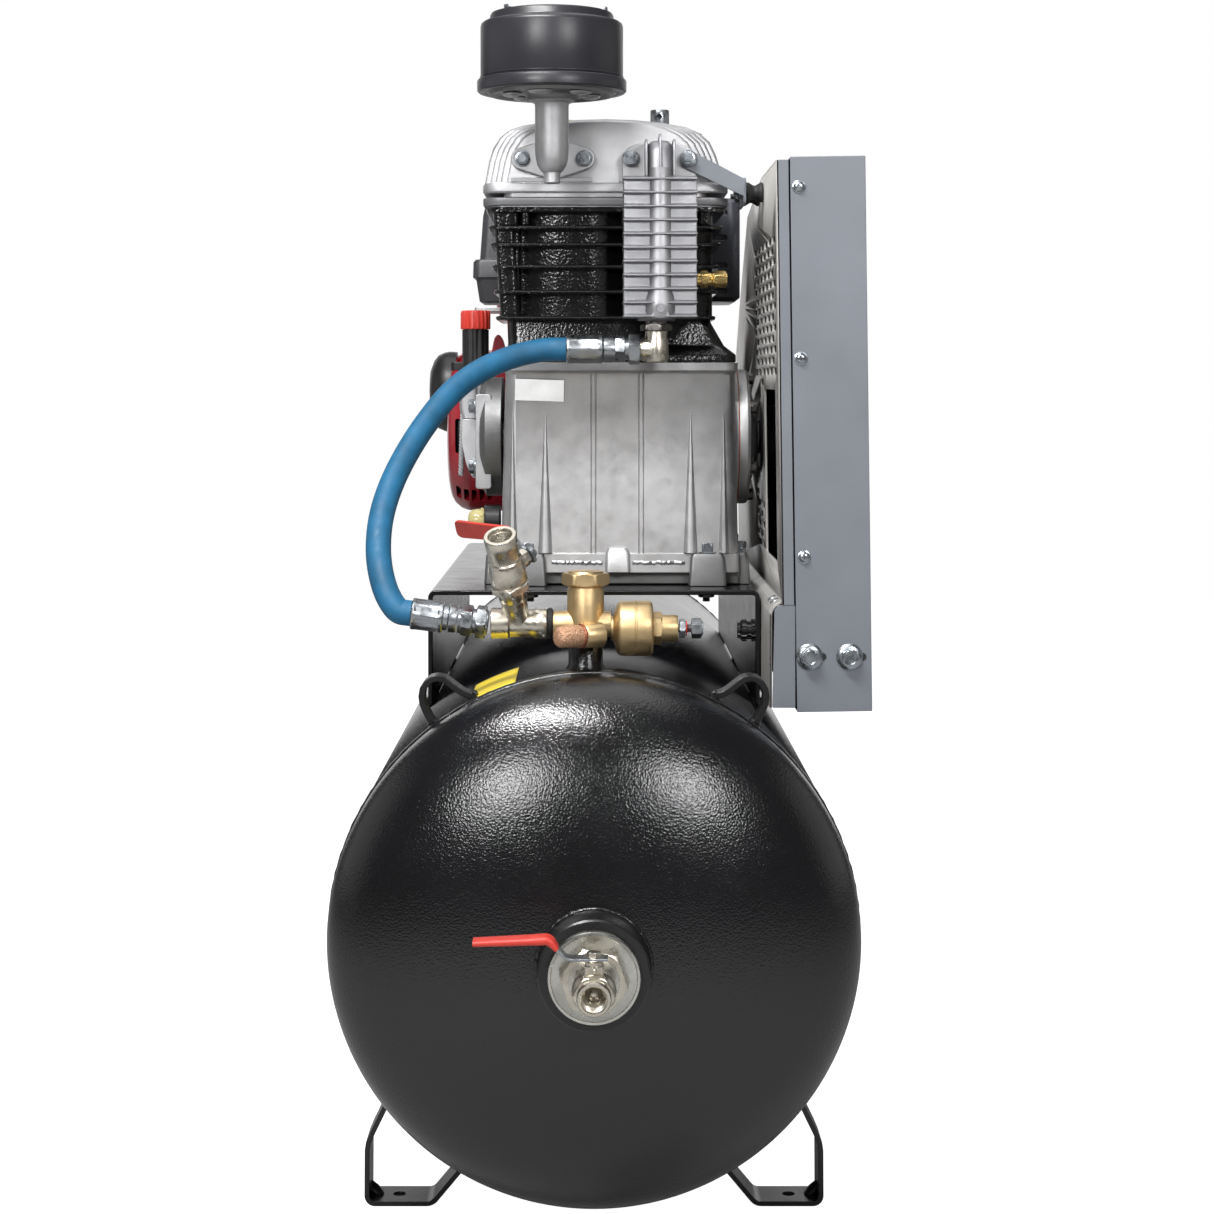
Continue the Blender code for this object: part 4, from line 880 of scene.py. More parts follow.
def build_reducer():
    """A round flange screwed into the socket, with its hexagon."""
    flange = turned([(0.015, 0.1503), (FLANGE_R - 0.0007, 0.1503), (FLANGE_R, 0.151), (FLANGE_R, 0.1566),
                     (FLANGE_R - 0.0008, 0.1583), (FLANGE_R - 0.003, 0.1585), (FLANGE_R - 0.0036, 0.1578),
                     (0.033, 0.1574), (0.015, 0.1574)], 120, TO_MINUS_Y)
    plug = hex_body(FLANGE_HEX, 0.157, 0.1715, TO_MINUS_Y, bore=0.012, spin=radians(11), ends=(False, True))
    step = tube(0.0225, 0.012, 0.171, 0.1722, 72, TO_MINUS_Y, 0.0004)
    piece("reducer", joined(flange, step), "zinc_disc", at=AXIS, smooth=32, stands_for="reducer_flange")
    piece("reducer_hexagon", plug, "nickel", at=AXIS, smooth=24, bevel=0.0009)


def build_outlet_body():
    """The ball valve's body, its grip hexagon, tapped mouth and stem gland."""
    barrel = turned([(0.0078, BODY_START), (0.0158, BODY_START), (0.0158, -0.019), (0.0165, -0.018),
                     (0.0165, -0.0105), (0.0182, -0.0075), (0.0192, -0.0035), (0.0194, 0.0015),
                     (0.0186, 0.006), (0.016, 0.0098), (0.0152, 0.0118), (0.0152, 0.014), (0.0148, 0.0146),
                     (0.0148, MOUTH - 0.0016), (0.014, MOUTH), (0.0118, MOUTH), (0.0112, MOUTH - 0.001),
                     (0.0112, 0.012), (0.0078, 0.009)], 96, TO_MINUS_Y)
    grip = hex_body(0.0325, 0.011, 0.0205, TO_MINUS_Y, bore=0.013)
    tapped = tapped_rings([0.0135 + 0.0018 * i for i in range(8)], TO_MINUS_Y)
    gland = joined(prism(rounded(-0.0082, 0.0082, -0.009, 0.009, 0.0022), 0.011, 0.0228),
                   rod(0.0078, 0.02, 0.0268, 48, edge=0.0008), rod(0.0016, 0.017, 0.018, 24))
    nib = pose(rod(0.0019, 0.0, 0.0012, 24, TO_MINUS_Y), (0.0005, -0.0088, 0.0195))
    piece("outlet_body", joined(barrel, grip, tapped, gland, nib), "nickel", at=OUTLET, smooth=32,
          bevel=0.0003, stands_for="outlet_valve_body")


def ball_line(radius):
    """Half a circle from pole to pole, as (radius, height)."""
    swing = [pi * i / 24 for i in range(1, 24)]
    return [(0, -radius), *[(radius * sin(t), -radius * cos(t)) for t in swing], (0, radius)]


def build_outlet_ball():
    """The ball, its stem and the nut that holds the lever."""
    ball = turned(ball_line(0.0115), 64)
    stem = joined(rod(0.0038, 0.009, 0.0358, 32), tube(0.0088, 0.0042, 0.0271, 0.0281, 40),
                  hex_body(0.0112, 0.03, 0.0344, bore=0.003, spin=radians(14)),
                  tube(0.0075, 0.004, 0.0293, 0.0299, 40, edge=0.0002))
    made = piece("outlet_ball", joined(ball, stem), "nickel", "outlet_handle", at=OUTLET, smooth=32,
                 stands_for="outlet_valve_ball")
    carve(made, rod(0.0065, -0.03, 0.03, 40, TO_X))


def build_outlet_lever():
    """A bent steel strip with a red sleeve, thinner at the sleeve's two ends."""
    strip = [(0.012, 0.0286), (-0.0185, 0.0286), (-0.0235, 0.0293), (-0.029, 0.0345), (-0.0345, 0.0412),
             (-0.0395, 0.0441), (-0.05, 0.044), (-0.098, 0.0418)]
    blade = eased(strip, 0.004, 5, open_ends=True)
    bar = piece("outlet_strip", frontal(bent_bar(blade, 0.0024), -0.008, 0.008), "zinc", "outlet_handle",
                at=OUTLET, bevel=0.0005)
    carve(bar, rod(0.0042, 0.02, 0.04, 24))
    middle_line = [(-0.0318, 0.0372), (-0.0385, 0.0452), (-0.0455, 0.0447), (-0.1036, 0.0424)]
    sleeve = [Vector(p) for p in eased(middle_line, 0.006, 6, open_ends=True)]
    grow = [0.55, 0.86, 0.97] + [1.0] * (len(sleeve) - 5) + [0.92, 0.66]
    sections = []
    for i, here in enumerate(sleeve):
        ahead = (sleeve[min(i + 1, len(sleeve) - 1)] - sleeve[max(i - 1, 0)]).normalized()
        across = Vector((-ahead.y, ahead.x))
        wide, thick = 0.0098 * (0.94 + 0.06 * grow[i]), 0.0036 * grow[i]
        outline = rounded(-wide, wide, -thick, thick, 0.0034 * grow[i], 6)
        spots = [(here + across * b, a) for a, b in outline]
        sections.append([(spot.x, a, spot.y) for spot, a in spots])
    piece("outlet_sleeve", skin(sections), "red_plastic", "outlet_handle", at=OUTLET, smooth=60,
          stands_for="outlet_valve_lever")


# ---- inlet manifold ------------------------------------------------------------------------------
SEAT = Vector((BOSS_X, BOSS_Y, 0))
CROSS_Z = 0.591
RUN_Z = 0.592
BRANCH_X = -0.072
BRANCH_LINE = Vector((-0.153, -0.51, 0.846)).normalized()
STEM_LINE = Vector((0.7, 0.52, 0.44))
STEM_LINE = (STEM_LINE - STEM_LINE.dot(BRANCH_LINE) * BRANCH_LINE).normalized()
TAIL_LINE = Vector((-cos(radians(7)), 0, sin(radians(7))))
TAIL_START = Vector((BOSS_X - 0.093, BOSS_Y, RUN_Z + 0.0002))
SERVICE_AT = Vector((BRANCH_X, BOSS_Y, RUN_Z)) + BRANCH_LINE * 0.064


def axes(along, side):
    """Rotation that takes +Z to `along` and +X to `side`."""
    return Matrix((side, along.cross(side), along)).transposed().to_4x4()


BRANCH = axes(BRANCH_LINE, STEM_LINE)
STEM = axes(STEM_LINE, BRANCH_LINE.cross(STEM_LINE))
LEVER_TURN = radians(-17)       # the closed lever leans off the valve's line
LEVER = STEM @ Matrix.Rotation(LEVER_TURN, 4, "Z")
TAIL = axes(TAIL_LINE, Vector((0, 1, 0)))


def build_check_valve():
    """The brass body on the boss, its cap and the bronze breather."""
    column = turned([(0, 0.5713), (0.0128, 0.5713), (0.015, 0.5722), (0.0165, 0.575), (0.0176, 0.58),
                     (0.0176, 0.6236), (0.016, 0.6272), (0, 0.6272)], 72)
    crossing = pose(turned([(0, -0.032), (0.0118, -0.032), (0.0126, -0.0305), (0.0128, -0.02),
                            (0.0136, -0.012), (0.0136, 0.012), (0.0124, 0.019), (0.012, 0.024),
                            (0, 0.024)], 64, TO_X), (0, 0, CROSS_Z))
    made = piece("check_valve", column, "brass", at=SEAT, smooth=50, stands_for="check_valve_body")
    carve(made, crossing, "UNION")
    lean = Matrix.Rotation(radians(30), 4, "Z") @ TO_MINUS_X
    boss = [(0, -0.02), (0.0118, -0.02), (0.0118, -0.0015), (0.011, -0.0003), (0, -0.0003)]
    carve(made, pose(turned(boss, 48, lean), (-0.003, -0.03, 0.583)), "UNION")
    soften(made, 0.0016, 3, 55)
    cap = joined(hex_body(0.0405, 0.6283, 0.64, spin=radians(2)), rod(0.0182, 0.6272, 0.629, 64),
                 turned([(0, 0.639), (0.0178, 0.6398), (0.0165, 0.6416), (0.015, 0.642), (0, 0.642)], 64))
    piece("check_cap", cap, "brass", at=SEAT, bevel=0.0004, stands_for="check_valve_cap")
    filter_at = SEAT + Vector((-0.003, -0.03, 0.583))
    plug = turned([(0, 0.0022), (0.01, 0.0022), (0.0106, 0.004), (0.0104, 0.0215), (0.0096, 0.025),
                   (0.0078, 0.0272), (0, 0.0276)], 56, lean)
    piece("breather", plug, "bronze", at=filter_at, smooth=60, stands_for="unloader_filter")
    piece("breather_collar", tube(0.0116, 0.006, 0.0001, 0.0022, 56, lean, 0.0003), "copper", at=filter_at)


def build_unloader():
    """The round hub on the check valve's right, with its adjusting screw."""
    side = SEAT + Vector((0, 0, 0.587))
    hub = turned([(0, 0.0243), (0.0118, 0.0243), (0.0118, 0.0262), (0.0235, 0.03), (0.0255, 0.0325),
                  (0.0262, 0.035), (0.0262, 0.0466), (0.0268, 0.0472), (0.0268, 0.0484), (0.0262, 0.049),
                  (0.0262, 0.06), (0.025, 0.0628), (0.0225, 0.064), (0.0215, 0.0634), (0.021, 0.0641),
                  (0.015, 0.0645), (0.0128, 0.0655), (0.0128, 0.0858), (0.012, 0.088), (0.006, 0.088),
                  (0.006, 0.0655), (0, 0.0655)], 96, TO_X)
    hexed = hex_body(0.0275, 0.064, 0.0728, TO_X, spin=radians(8))
    lugs = joined(*[pose(gusset((0, 0, 0), UP, 0.01, 0.007, 0.005),
                         (0.043, 0.0205 * sin(t), 0.0205 * cos(t)), TO_X)
                    for t in (radians(28), radians(208))])
    piece("unloader", joined(hub, hexed, lugs), "brass", at=side, smooth=40, bevel=0.0003,
          stands_for="unloader_body")
    shank = coil_thread(0.004, 0.068, 0.103, 0.0012, 0.0004, turn=TO_X)
    jam = hex_body(0.0165, 0.0895, 0.095, TO_X, bore=0.003, spin=radians(20))
    head = joined(hex_body(0.017, 0.101, 0.1105, TO_X, spin=radians(4)), rod(0.007, 0.1095, 0.112, 40, TO_X))
    piece("unloader_adjuster", joined(shank, jam, head), "zinc", "pressure_screw", at=side,
          stands_for="unloader_screw")
    piece("unloader_tag", tube(0.0072, 0.0046, 0.0957, 0.0966, 32, TO_X, 0.0002), "red_plastic",
          "pressure_screw", at=side)


def build_tee():
    """The tee to the left, its rubber joint ring and the hose's lower end."""
    at = SEAT + Vector((0, 0, RUN_Z))
    branch_at = (BRANCH_X - BOSS_X, 0, 0)
    run = turned([(0.008, 0.037), (0.014, 0.037), (0.0145, 0.0378), (0.0145, 0.048), (0.0132, 0.05),
                  (0.0129, 0.056), (0.0132, 0.072), (0.0146, 0.0738), (0.0146, 0.0897), (0.0138, 0.0905),
                  (0.008, 0.0905)], 72, TO_MINUS_X)
    arm = pose(turned([(0, 0.002), (0.012, 0.002), (0.012, 0.018), (0.0124, 0.0195), (0.0124, 0.03),
                       (0, 0.03)], 64, BRANCH), branch_at)
    made = piece("tee", run, "nickel", at=at, smooth=50, stands_for="service_tee")
    carve(made, arm, "UNION")
    carve(made, rod(0.0078, -0.2, 0.0, 40, TO_X))
    soften(made, 0.001, 3, 55)
    joint = joined(tube(0.014, 0.008, 0.031, 0.0368, 64, TO_MINUS_X, 0.0008),
                   tube(0.0148, 0.008, 0.0326, 0.035, 64, TO_MINUS_X, 0.0006))
    piece("joint_ring", joint, "rubber", at=at)
    nipple = joined(hex_body(0.029, 0.002, 0.0118, TAIL, bore=0.006, spin=radians(6)),
                    tube(0.0118, 0.006, 0.0, 0.044, 48, TAIL),
                    hex_body(0.0262, 0.015, 0.0262, TAIL, bore=0.006, spin=radians(24)),
                    turned([(0.006, 0.0262), (0.0128, 0.0262), (0.0132, 0.0285), (0.0125, 0.03),
                            (0.0135, 0.0325), (0.0135, 0.0372), (0.0122, 0.0385), (0.0122, 0.043),
                            (0.006, 0.043)], 64, TAIL))
    piece("hose_nipple", nipple, "zinc", at=TAIL_START, smooth=32)
    piece("hose_ferrule", ferrule(0.043, 0.0735, TAIL), "zinc", at=TAIL_START, smooth=32,
          stands_for="hose_tail")


def ferrule(low, high, turn):
    """Crimped sleeve: eight pressed flats between round ends."""
    flats = [0.014 / cos((t % (pi / 4)) - pi / 8) for t in turns(96)]
    loops = []
    for part, pressed, reach in ((0.0, False, 0.0139), (0.03, False, 0.0148), (0.12, False, 0.0151),
                                 (0.17, True, 0.0149), (0.5, True, 0.0149), (0.86, True, 0.0149),
                                 (0.91, False, 0.0151), (0.97, False, 0.0151), (1.0, False, 0.0144)):
        radii = [min(reach, flat) if pressed else reach for flat in flats]
        loops.append(ring(radii, low + (high - low) * part))
    loops += [ring([0.01] * 96, low + (high - low) * part) for part in (1.0, 0.0)]
    return pose(skin(loops, closed=True), turn=turn)


def build_service_valve():
    """A small ball valve on the tee's slanted branch, with its red lever."""
    lower = turned([(0.0095, -0.0335), (0.0128, -0.0335), (0.0133, -0.0328), (0.0133, -0.0215),
                    (0.015, -0.0205), (0.0172, -0.0192), (0.0176, -0.018), (0.0176, -0.014), (0.0165, -0.013),
                    (0.0165, -0.0118), (0.018, -0.01), (0.0182, -0.005), (0.0176, 0.001), (0.0166, 0.006),
                    (0.016, 0.0085), (0.0163, 0.01), (0.0163, 0.012), (0.015, 0.0135), (0.0149, 0.025),
                    (0.0157, 0.0262), (0.0158, 0.0378), (0.015, 0.039), (0.0118, 0.039), (0.0112, 0.038),
                    (0.0112, 0.018), (0.0095, 0.015)], 96, BRANCH)
    grip = hex_body(0.0348, -0.0212, -0.0132, BRANCH, bore=0.015, spin=radians(10))
    tapped = tapped_rings([0.02 + 0.0018 * i for i in range(9)], BRANCH)
    gland = joined(rod(0.0088, 0.011, 0.0205, 48, STEM), hex_body(0.015, 0.018, 0.0248, STEM, bore=0.0042))
    ribs = joined(*[pose(gusset((0, 0, 0), UP, 0.0085, 0.002, 0.0014),
                         Vector((0.0158 * cos(t), 0.0158 * sin(t), -0.002)))
                    for t in [radians(200 + 22 * k) for k in range(4)]])
    piece("service_body", joined(lower, grip, tapped, gland, pose(ribs, turn=BRANCH)), "nickel",
          at=SERVICE_AT, smooth=36, bevel=0.0003, stands_for="service_valve_body")
    spindle = joined(rod(0.0036, 0.015, 0.0352, 28, STEM), hex_body(0.0098, 0.0291, 0.0335, STEM, bore=0.003),
                     tube(0.007, 0.0037, 0.0249, 0.0254, 32, STEM, 0.0001))
    piece("service_spindle", spindle, "zinc", "service_handle", at=SERVICE_AT)
    shank = eased([(-0.01, -0.007), (0.01, -0.007), (0.0262, 0.0128), (0.0262, 0.0275), (0.015, 0.0275),
                   (0.002, 0.007), (-0.01, 0.007)], 0.004, 4)
    plate = piece("service_shank", prism(shank, 0.0256, 0.0284, LEVER), "zinc", "service_handle",
                  at=SERVICE_AT, bevel=0.0005)
    carve(plate, rod(0.0037, 0.02, 0.04, 24, STEM))
    edge = [(0.013, 0.012), (0.06, 0.0115), (0.104, 0.01), (0.11, 0.013), (0.105, 0.029), (0.06, 0.029),
            (0.013, 0.0295)]
    wing = prism(eased(edge, 0.005, 4), 0.0254, 0.0291, LEVER)
    piece("service_wing", wing, "red_plastic", "service_handle", at=SERVICE_AT, bevel=0.0008,
          stands_for="service_valve_lever")


# ---- delivery hose -------------------------------------------------------------------------------
HOSE_R = 0.0123
ELBOW = Vector((0.0655, 0.266, 0.8565))
HOSE_FROM = ELBOW + Vector((-0.0948, 0, 0))
HOSE_TO = TAIL_START + TAIL_LINE * 0.0741
HOSE_BENDS = (
    (-0.06, 0.2625, 0.8545), (-0.089, 0.252, 0.847), (-0.119, 0.233, 0.833), (-0.146, 0.208, 0.8115),
    (-0.17, 0.174, 0.78), (-0.1885, 0.139, 0.7475), (-0.201, 0.108, 0.717), (-0.2075, 0.082, 0.688),
    (-0.208, 0.061, 0.658), (-0.2025, 0.046, 0.631), (-0.193, 0.037, 0.611))


def smooth_line(route, per_span):
    """Points on a smooth curve through the route; its end spans are straight."""
    points = [Vector(p) for p in route]
    slopes = []
    for i in range(len(points)):
        before, after = points[max(i - 1, 0)], points[min(i + 1, len(points) - 1)]
        slopes.append((after - before).normalized())
    slopes[1], slopes[-2] = slopes[0], slopes[-1]
    line = []
    for (p, q), (u, v) in zip(zip(points, points[1:]), zip(slopes, slopes[1:])):
        reach = (q - p).length
        for k in range(per_span):
            t = k / per_span
            line.append(p * (2 * t ** 3 - 3 * t ** 2 + 1) + u * reach * (t ** 3 - 2 * t ** 2 + t)
                        + q * (3 * t ** 2 - 2 * t ** 3) + v * reach * (t ** 3 - t ** 2))
    return line + [points[-1]]


def build_hose():
    """The blue hose and the elbow under the aftercooler that it hangs from."""
    route = (HOSE_FROM, HOSE_FROM - Vector((0.0114, 0, 0)), *HOSE_BENDS, HOSE_TO + TAIL_LINE * 0.008, HOSE_TO)
    piece("hose", swept(smooth_line(route, 10), HOSE_R, 48), "blue_hose", smooth=80,
          stands_for="discharge_hose")
    column = turned([(0, -0.0142), (0.0095, -0.0142), (0.0122, -0.0128), (0.0128, -0.01), (0.0128, 0.01),
                     (0.0118, 0.013), (0.0118, 0.019), (0, 0.019)], 64)
    made = piece("elbow", column, "nickel", at=ELBOW, smooth=50)
    branch = turned([(0, -0.002), (0.0124, -0.002), (0.0124, 0.014), (0.0112, 0.016), (0.0112, 0.0178),
                     (0, 0.0178)], 64, TO_MINUS_X)
    carve(made, branch, "UNION")
    soften(made, 0.001, 3, 55)
    collar = joined(hex_body(0.03, 0.0192, 0.0262, bore=0.008, spin=radians(12)),
                    tube(0.012, 0.008, 0.019, 0.0305, 48))
    piece("elbow_collar", collar, "dark_steel", at=ELBOW)
    union = joined(hex_body(0.029, 0.0175, 0.0292, TO_MINUS_X, bore=0.008, spin=radians(16)),
                   tube(0.0114, 0.008, 0.017, 0.045, 48, TO_MINUS_X),
                   hex_body(0.0262, 0.033, 0.044, TO_MINUS_X, bore=0.008, spin=radians(40)),
                   turned([(0.008, 0.0438), (0.0135, 0.0438), (0.0139, 0.045), (0.0139, 0.0548),
                           (0.0128, 0.0562), (0.008, 0.0562)], 64, TO_MINUS_X))
    piece("elbow_union", union, "zinc", at=ELBOW, smooth=32)
    piece("upper_ferrule", ferrule(0.056, 0.0944, TO_MINUS_X), "zinc", at=ELBOW, smooth=32,
          stands_for="delivery_elbow")


build_outlet_socket()
build_reducer()
build_outlet_body()
build_outlet_ball()
build_outlet_lever()
build_check_valve()
build_unloader()
build_tee()
build_service_valve()
build_hose()


# ---- pump case -----------------------------------------------------------------------------------
SHAFT_Y = 0.395
SHAFT = Vector((0, SHAFT_Y, 0.762))
BORES = ((-0.022, 0.047), (0.082, 0.029))    # low and high pressure: x and radius
PLATE_TOP = 0.605
CASE_TOP = 0.8427
CASE_SKIRT = 0.6193


def spike(x, tip, foot, y_tip, y_foot, half):
    """A cast rib that swells downwards from a point."""
    loops = []
    for i in range(13):
        t = i / 12
        z = tip + (foot - tip) * t
        y = y_tip + (y_foot - y_tip) * t
        wide = half * (0.1 + 0.9 * t)
        out = 0.001 + 0.0052 * t
        loops.append([(x - wide, y + 0.004, z), (x - wide * 0.75, y - out * 0.45, z),
                      (x - wide * 0.3, y - out * 0.95, z), (x + wide * 0.3, y - out * 0.95, z),
                      (x + wide * 0.75, y - out * 0.45, z), (x + wide, y + 0.004, z)])
    return skin(loops)


def build_case():
    """The cast crankcase with its ribs."""
    profile = [(CASE_SKIRT, -0.1003, 0.1553, 0.2945, 0.4965), (0.639, -0.1, 0.155, 0.2948, 0.4962),
               (0.64, -0.0994, 0.1544, 0.2965, 0.4945), (0.72, -0.0975, 0.153, 0.2985, 0.4925),
               (0.83, -0.0948, 0.1508, 0.303, 0.488), (0.8325, -0.0955, 0.1515, 0.3012, 0.4895),
               (0.8345, -0.0975, 0.1538, 0.2992, 0.4908), (CASE_TOP, -0.0978, 0.154, 0.299, 0.491)]
    shell = loft([(z, rounded(x0, x1, y0, y1, 0.014, 8)) for z, x0, x1, y0, y1 in profile])
    parts = [shell]
    for x in (-0.0007, 0.0501):
        for offset in (-0.0024, 0.0024):
            parts.append(skin([[(x + offset - 0.0011, 0.303, 0.831), (x + offset, 0.3004, 0.831),
                                (x + offset + 0.0011, 0.303, 0.831)],
                               [(x + offset - 0.0013, 0.2975, 0.64), (x + offset, 0.2948, 0.64),
                                (x + offset + 0.0013, 0.2975, 0.64)]]))
    for x, half in ((-0.0868, 0.0062), (-0.052, 0.0088), (0.1028, 0.0088), (0.138, 0.0062)):
        parts.append(spike(x, 0.788, 0.64, 0.3005, 0.2965, half))
    piece("case", joined(*parts), "cast_aluminium", smooth=40, bevel=0.0006, stands_for="crankcase")


def build_case_feet():
    """Six cast feet, each with its bolt."""
    feet = ((-0.09, -0.05, 0.286, 0.32), (0.1006, 0.141, 0.286, 0.32), (-0.118, -0.09, 0.44, 0.474),
            (0.14, 0.168, 0.44, 0.474), (-0.118, -0.09, 0.312, 0.344), (0.141, 0.168, 0.312, 0.344))
    for i, (x0, x1, y0, y1) in enumerate(feet):
        foot = stacked(5, (PLATE_TOP + 0.0003, x0, x1, y0, y1, 0.004),
                          (0.635, x0 + 0.002, x1 - 0.002, y0 + 0.0012, y1 - 0.0012, 0.004),
                          (0.6395, x0 + 0.004, x1 - 0.004, y0 + 0.003, y1 - 0.003, 0.004))
        piece(f"case_foot_{i}", foot, "dark_aluminium", bevel=0.0008, smooth=50)
        middle = ((x0 + x1) / 2, (y0 + y1) / 2, 0.6415)
        bolt(f"case_bolt_{i}", 0.017, 0.009, middle, UP, 0.0118)


def build_case_details():
    """The lug at the foot of the case, the ragged casting line beside it, a dark block of painted shade under
    the case and a blank label.
    """
    lug = stacked(5, (CASE_SKIRT, 0.0119, 0.0385, 0.289, 0.305, 0.004),
                     (0.64, 0.0122, 0.0382, 0.2895, 0.305, 0.005),
                     (0.6459, 0.015, 0.0354, 0.2925, 0.305, 0.005))
    piece("case_lug", lug, "cast_aluminium", bevel=0.001, smooth=60)
    for i, (x0, x1) in enumerate(((-0.045, 0.009), (0.041, 0.097))):
        spread = random.Random(20 + i)
        loops = []
        for k in range(41):
            x = x0 + (x1 - x0) * k / 40
            rough = 0.0006 * spread.uniform(-1, 1)
            loops.append([(x, 0.2965, 0.627 + rough), (x, 0.2938 + rough, 0.628 + rough),
                          (x, 0.2936 + rough, 0.6315 + rough), (x, 0.2965, 0.6325 + rough)])
        piece(f"case_trim_{i}", skin(loops), "rough_aluminium", smooth=80)
    # A dark block set back under the case's skirt, between the feet: painted shade in the gap under the case.
    frame_line = [(-0.1, PLATE_TOP + 0.0006), (0.155, PLATE_TOP + 0.0006), (0.155, CASE_SKIRT + 0.002),
                  (-0.1, CASE_SKIRT + 0.002)]
    piece("case_underside_shade", frontal(frame_line, 0.306, 0.485), "dark_aluminium", bevel=0.002)
    piece("case_label", frontal([(-0.0844, 0.8026), (-0.0323, 0.801), (-0.032, 0.8238), (-0.0841, 0.8255)],
                                0.2998, 0.3004),
          "white_label", bevel=0.0001)


def build_right_cover():
    """The flywheel side's bearing cover with its bolts and ribs, and the nut on the crankshaft."""
    seat = turned([(0.056, 0.148), (0.0745, 0.148), (0.075, 0.149), (0.075, 0.156), (0.056, 0.156)], 96, TO_X)
    dome = turned([(0.0183, 0.1572), (0.074, 0.1572), (0.0742, 0.158), (0.0742, 0.166), (0.0722, 0.1688),
                   (0.056, 0.1704), (0.04, 0.176), (0.027, 0.1792), (0.0255, 0.18), (0.0183, 0.18)], 96, TO_X)
    piece("right_cover", joined(seat, dome), "cast_aluminium", at=SHAFT, smooth=35,
          stands_for="right_bearing_cover")
    piece("right_cover_gasket", tube(0.0746, 0.03, 0.156, 0.1572, 96, TO_X, 0.0002), "gasket", at=SHAFT)
    for k, turn in enumerate(turns(6)):
        place = SHAFT + on_face(0.1702, 0.064, turn + radians(30))
        bolt(f"right_cover_bolt_{k}", 0.011, 0.0055, place, TO_X, 0.0072, "dark_steel")
    for k, turn in enumerate(turns(6)):
        web = pose(prism([(0.029, 0.0), (0.056, 0.0), (0.056, 0.002), (0.029, 0.0088)], -0.0016, 0.0016,
                         Matrix.Rotation(pi / 2, 4, "X")), (0, 0, 0.17))
        rib = pose(pose(web, turn=Matrix.Rotation(turn, 4, "Z")), turn=TO_X)
        piece(f"right_cover_rib_{k}", rib, "cast_aluminium", at=SHAFT, bevel=0.0004)
    hub = joined(coil_thread(0.0192, 0.181, 0.1885, 0.0022, 0.0008, 56, TO_X),
                 tube(0.0215, 0.012, 0.1886, 0.198, 56, TO_X, 0.0008))
    piece("hub_nut", hub, "dark_steel", "crank", at=SHAFT, smooth=30)


def build_left_cover():
    """The far bearing's cover with the oil pump's box on it."""
    left = turned([(0, 0.125), (0.05, 0.125), (0.056, 0.1236), (0.0612, 0.1205), (0.0655, 0.118),
                   (0.0655, 0.101), (0.0646, 0.1003), (0, 0.1003)], 96, TO_MINUS_X)
    piece("left_cover", left, "dark_aluminium", at=SHAFT, smooth=35, stands_for="left_bearing_cover")
    flange = frontal(rounded(-0.1285, -0.1115, -0.056, 0.047, 0.003, 4), -0.052, 0.052)
    piece("left_flange", flange, "head_aluminium", at=SHAFT, bevel=0.001)
    pump = stacked(4, (0.02, -0.144, -0.1285, -0.018, 0.018, 0.004),
                      (0.03, -0.148, -0.1285, -0.018, 0.018, 0.005),
                      (0.056, -0.148, -0.1285, -0.018, 0.018, 0.005),
                      (0.066, -0.148, -0.1285, -0.018, 0.018, 0.004))
    piece("left_pump_box", pump, "head_aluminium", at=SHAFT, bevel=0.001)
    housing = [(-0.1285, 0.0195), (-0.1445, 0.0195), (-0.145, -0.006), (-0.14, -0.03), (-0.133, -0.045),
               (-0.1285, -0.045)]
    piece("left_housing", frontal(eased(housing, 0.003, 3), -0.03, 0.03), "head_aluminium", at=SHAFT,
          bevel=0.0012)
    for k, (y, z) in enumerate(((-0.042, 0.034), (0.042, 0.034), (-0.042, -0.032), (0.042, -0.032))):
        place = SHAFT + Vector((-0.1302, y, z))
        bolt(f"left_bolt_{k}", 0.013, 0.006, place, TO_MINUS_X, 0.0085)


# ---- cylinder block ------------------------------------------------------------------------------
BLOCK_TOP = 1.0084
FIN_Z = (0.8912, 0.919, 0.9458, 0.9694, 0.9876, 1.0058)


def barrel_outline():
    """Two cast barrels side by side, with a square pillar at the left corner."""
    front = [(-0.096, 0.32), (-0.08, 0.319), (-0.0785, 0.329), (-0.07, 0.3255), (-0.058, 0.3205),
             (-0.042, 0.3165), (-0.022, 0.315), (-0.002, 0.3165), (0.014, 0.3205), (0.028, 0.327),
             (0.038, 0.33), (0.05, 0.3255), (0.066, 0.3215), (0.082, 0.3205), (0.098, 0.3215),
             (0.112, 0.3255), (0.122, 0.331), (0.128, 0.34)]
    rear = [(a, 2 * SHAFT_Y - b) for a, b in reversed(front)]
    return eased(front + rear, 0.004, 3)


def bores():
    """The two cylinders' bores, right through the block."""
    return joined(*[pose(rod(radius, 0.8, 1.1, 96), (x, SHAFT.y, 0)) for x, radius in BORES])


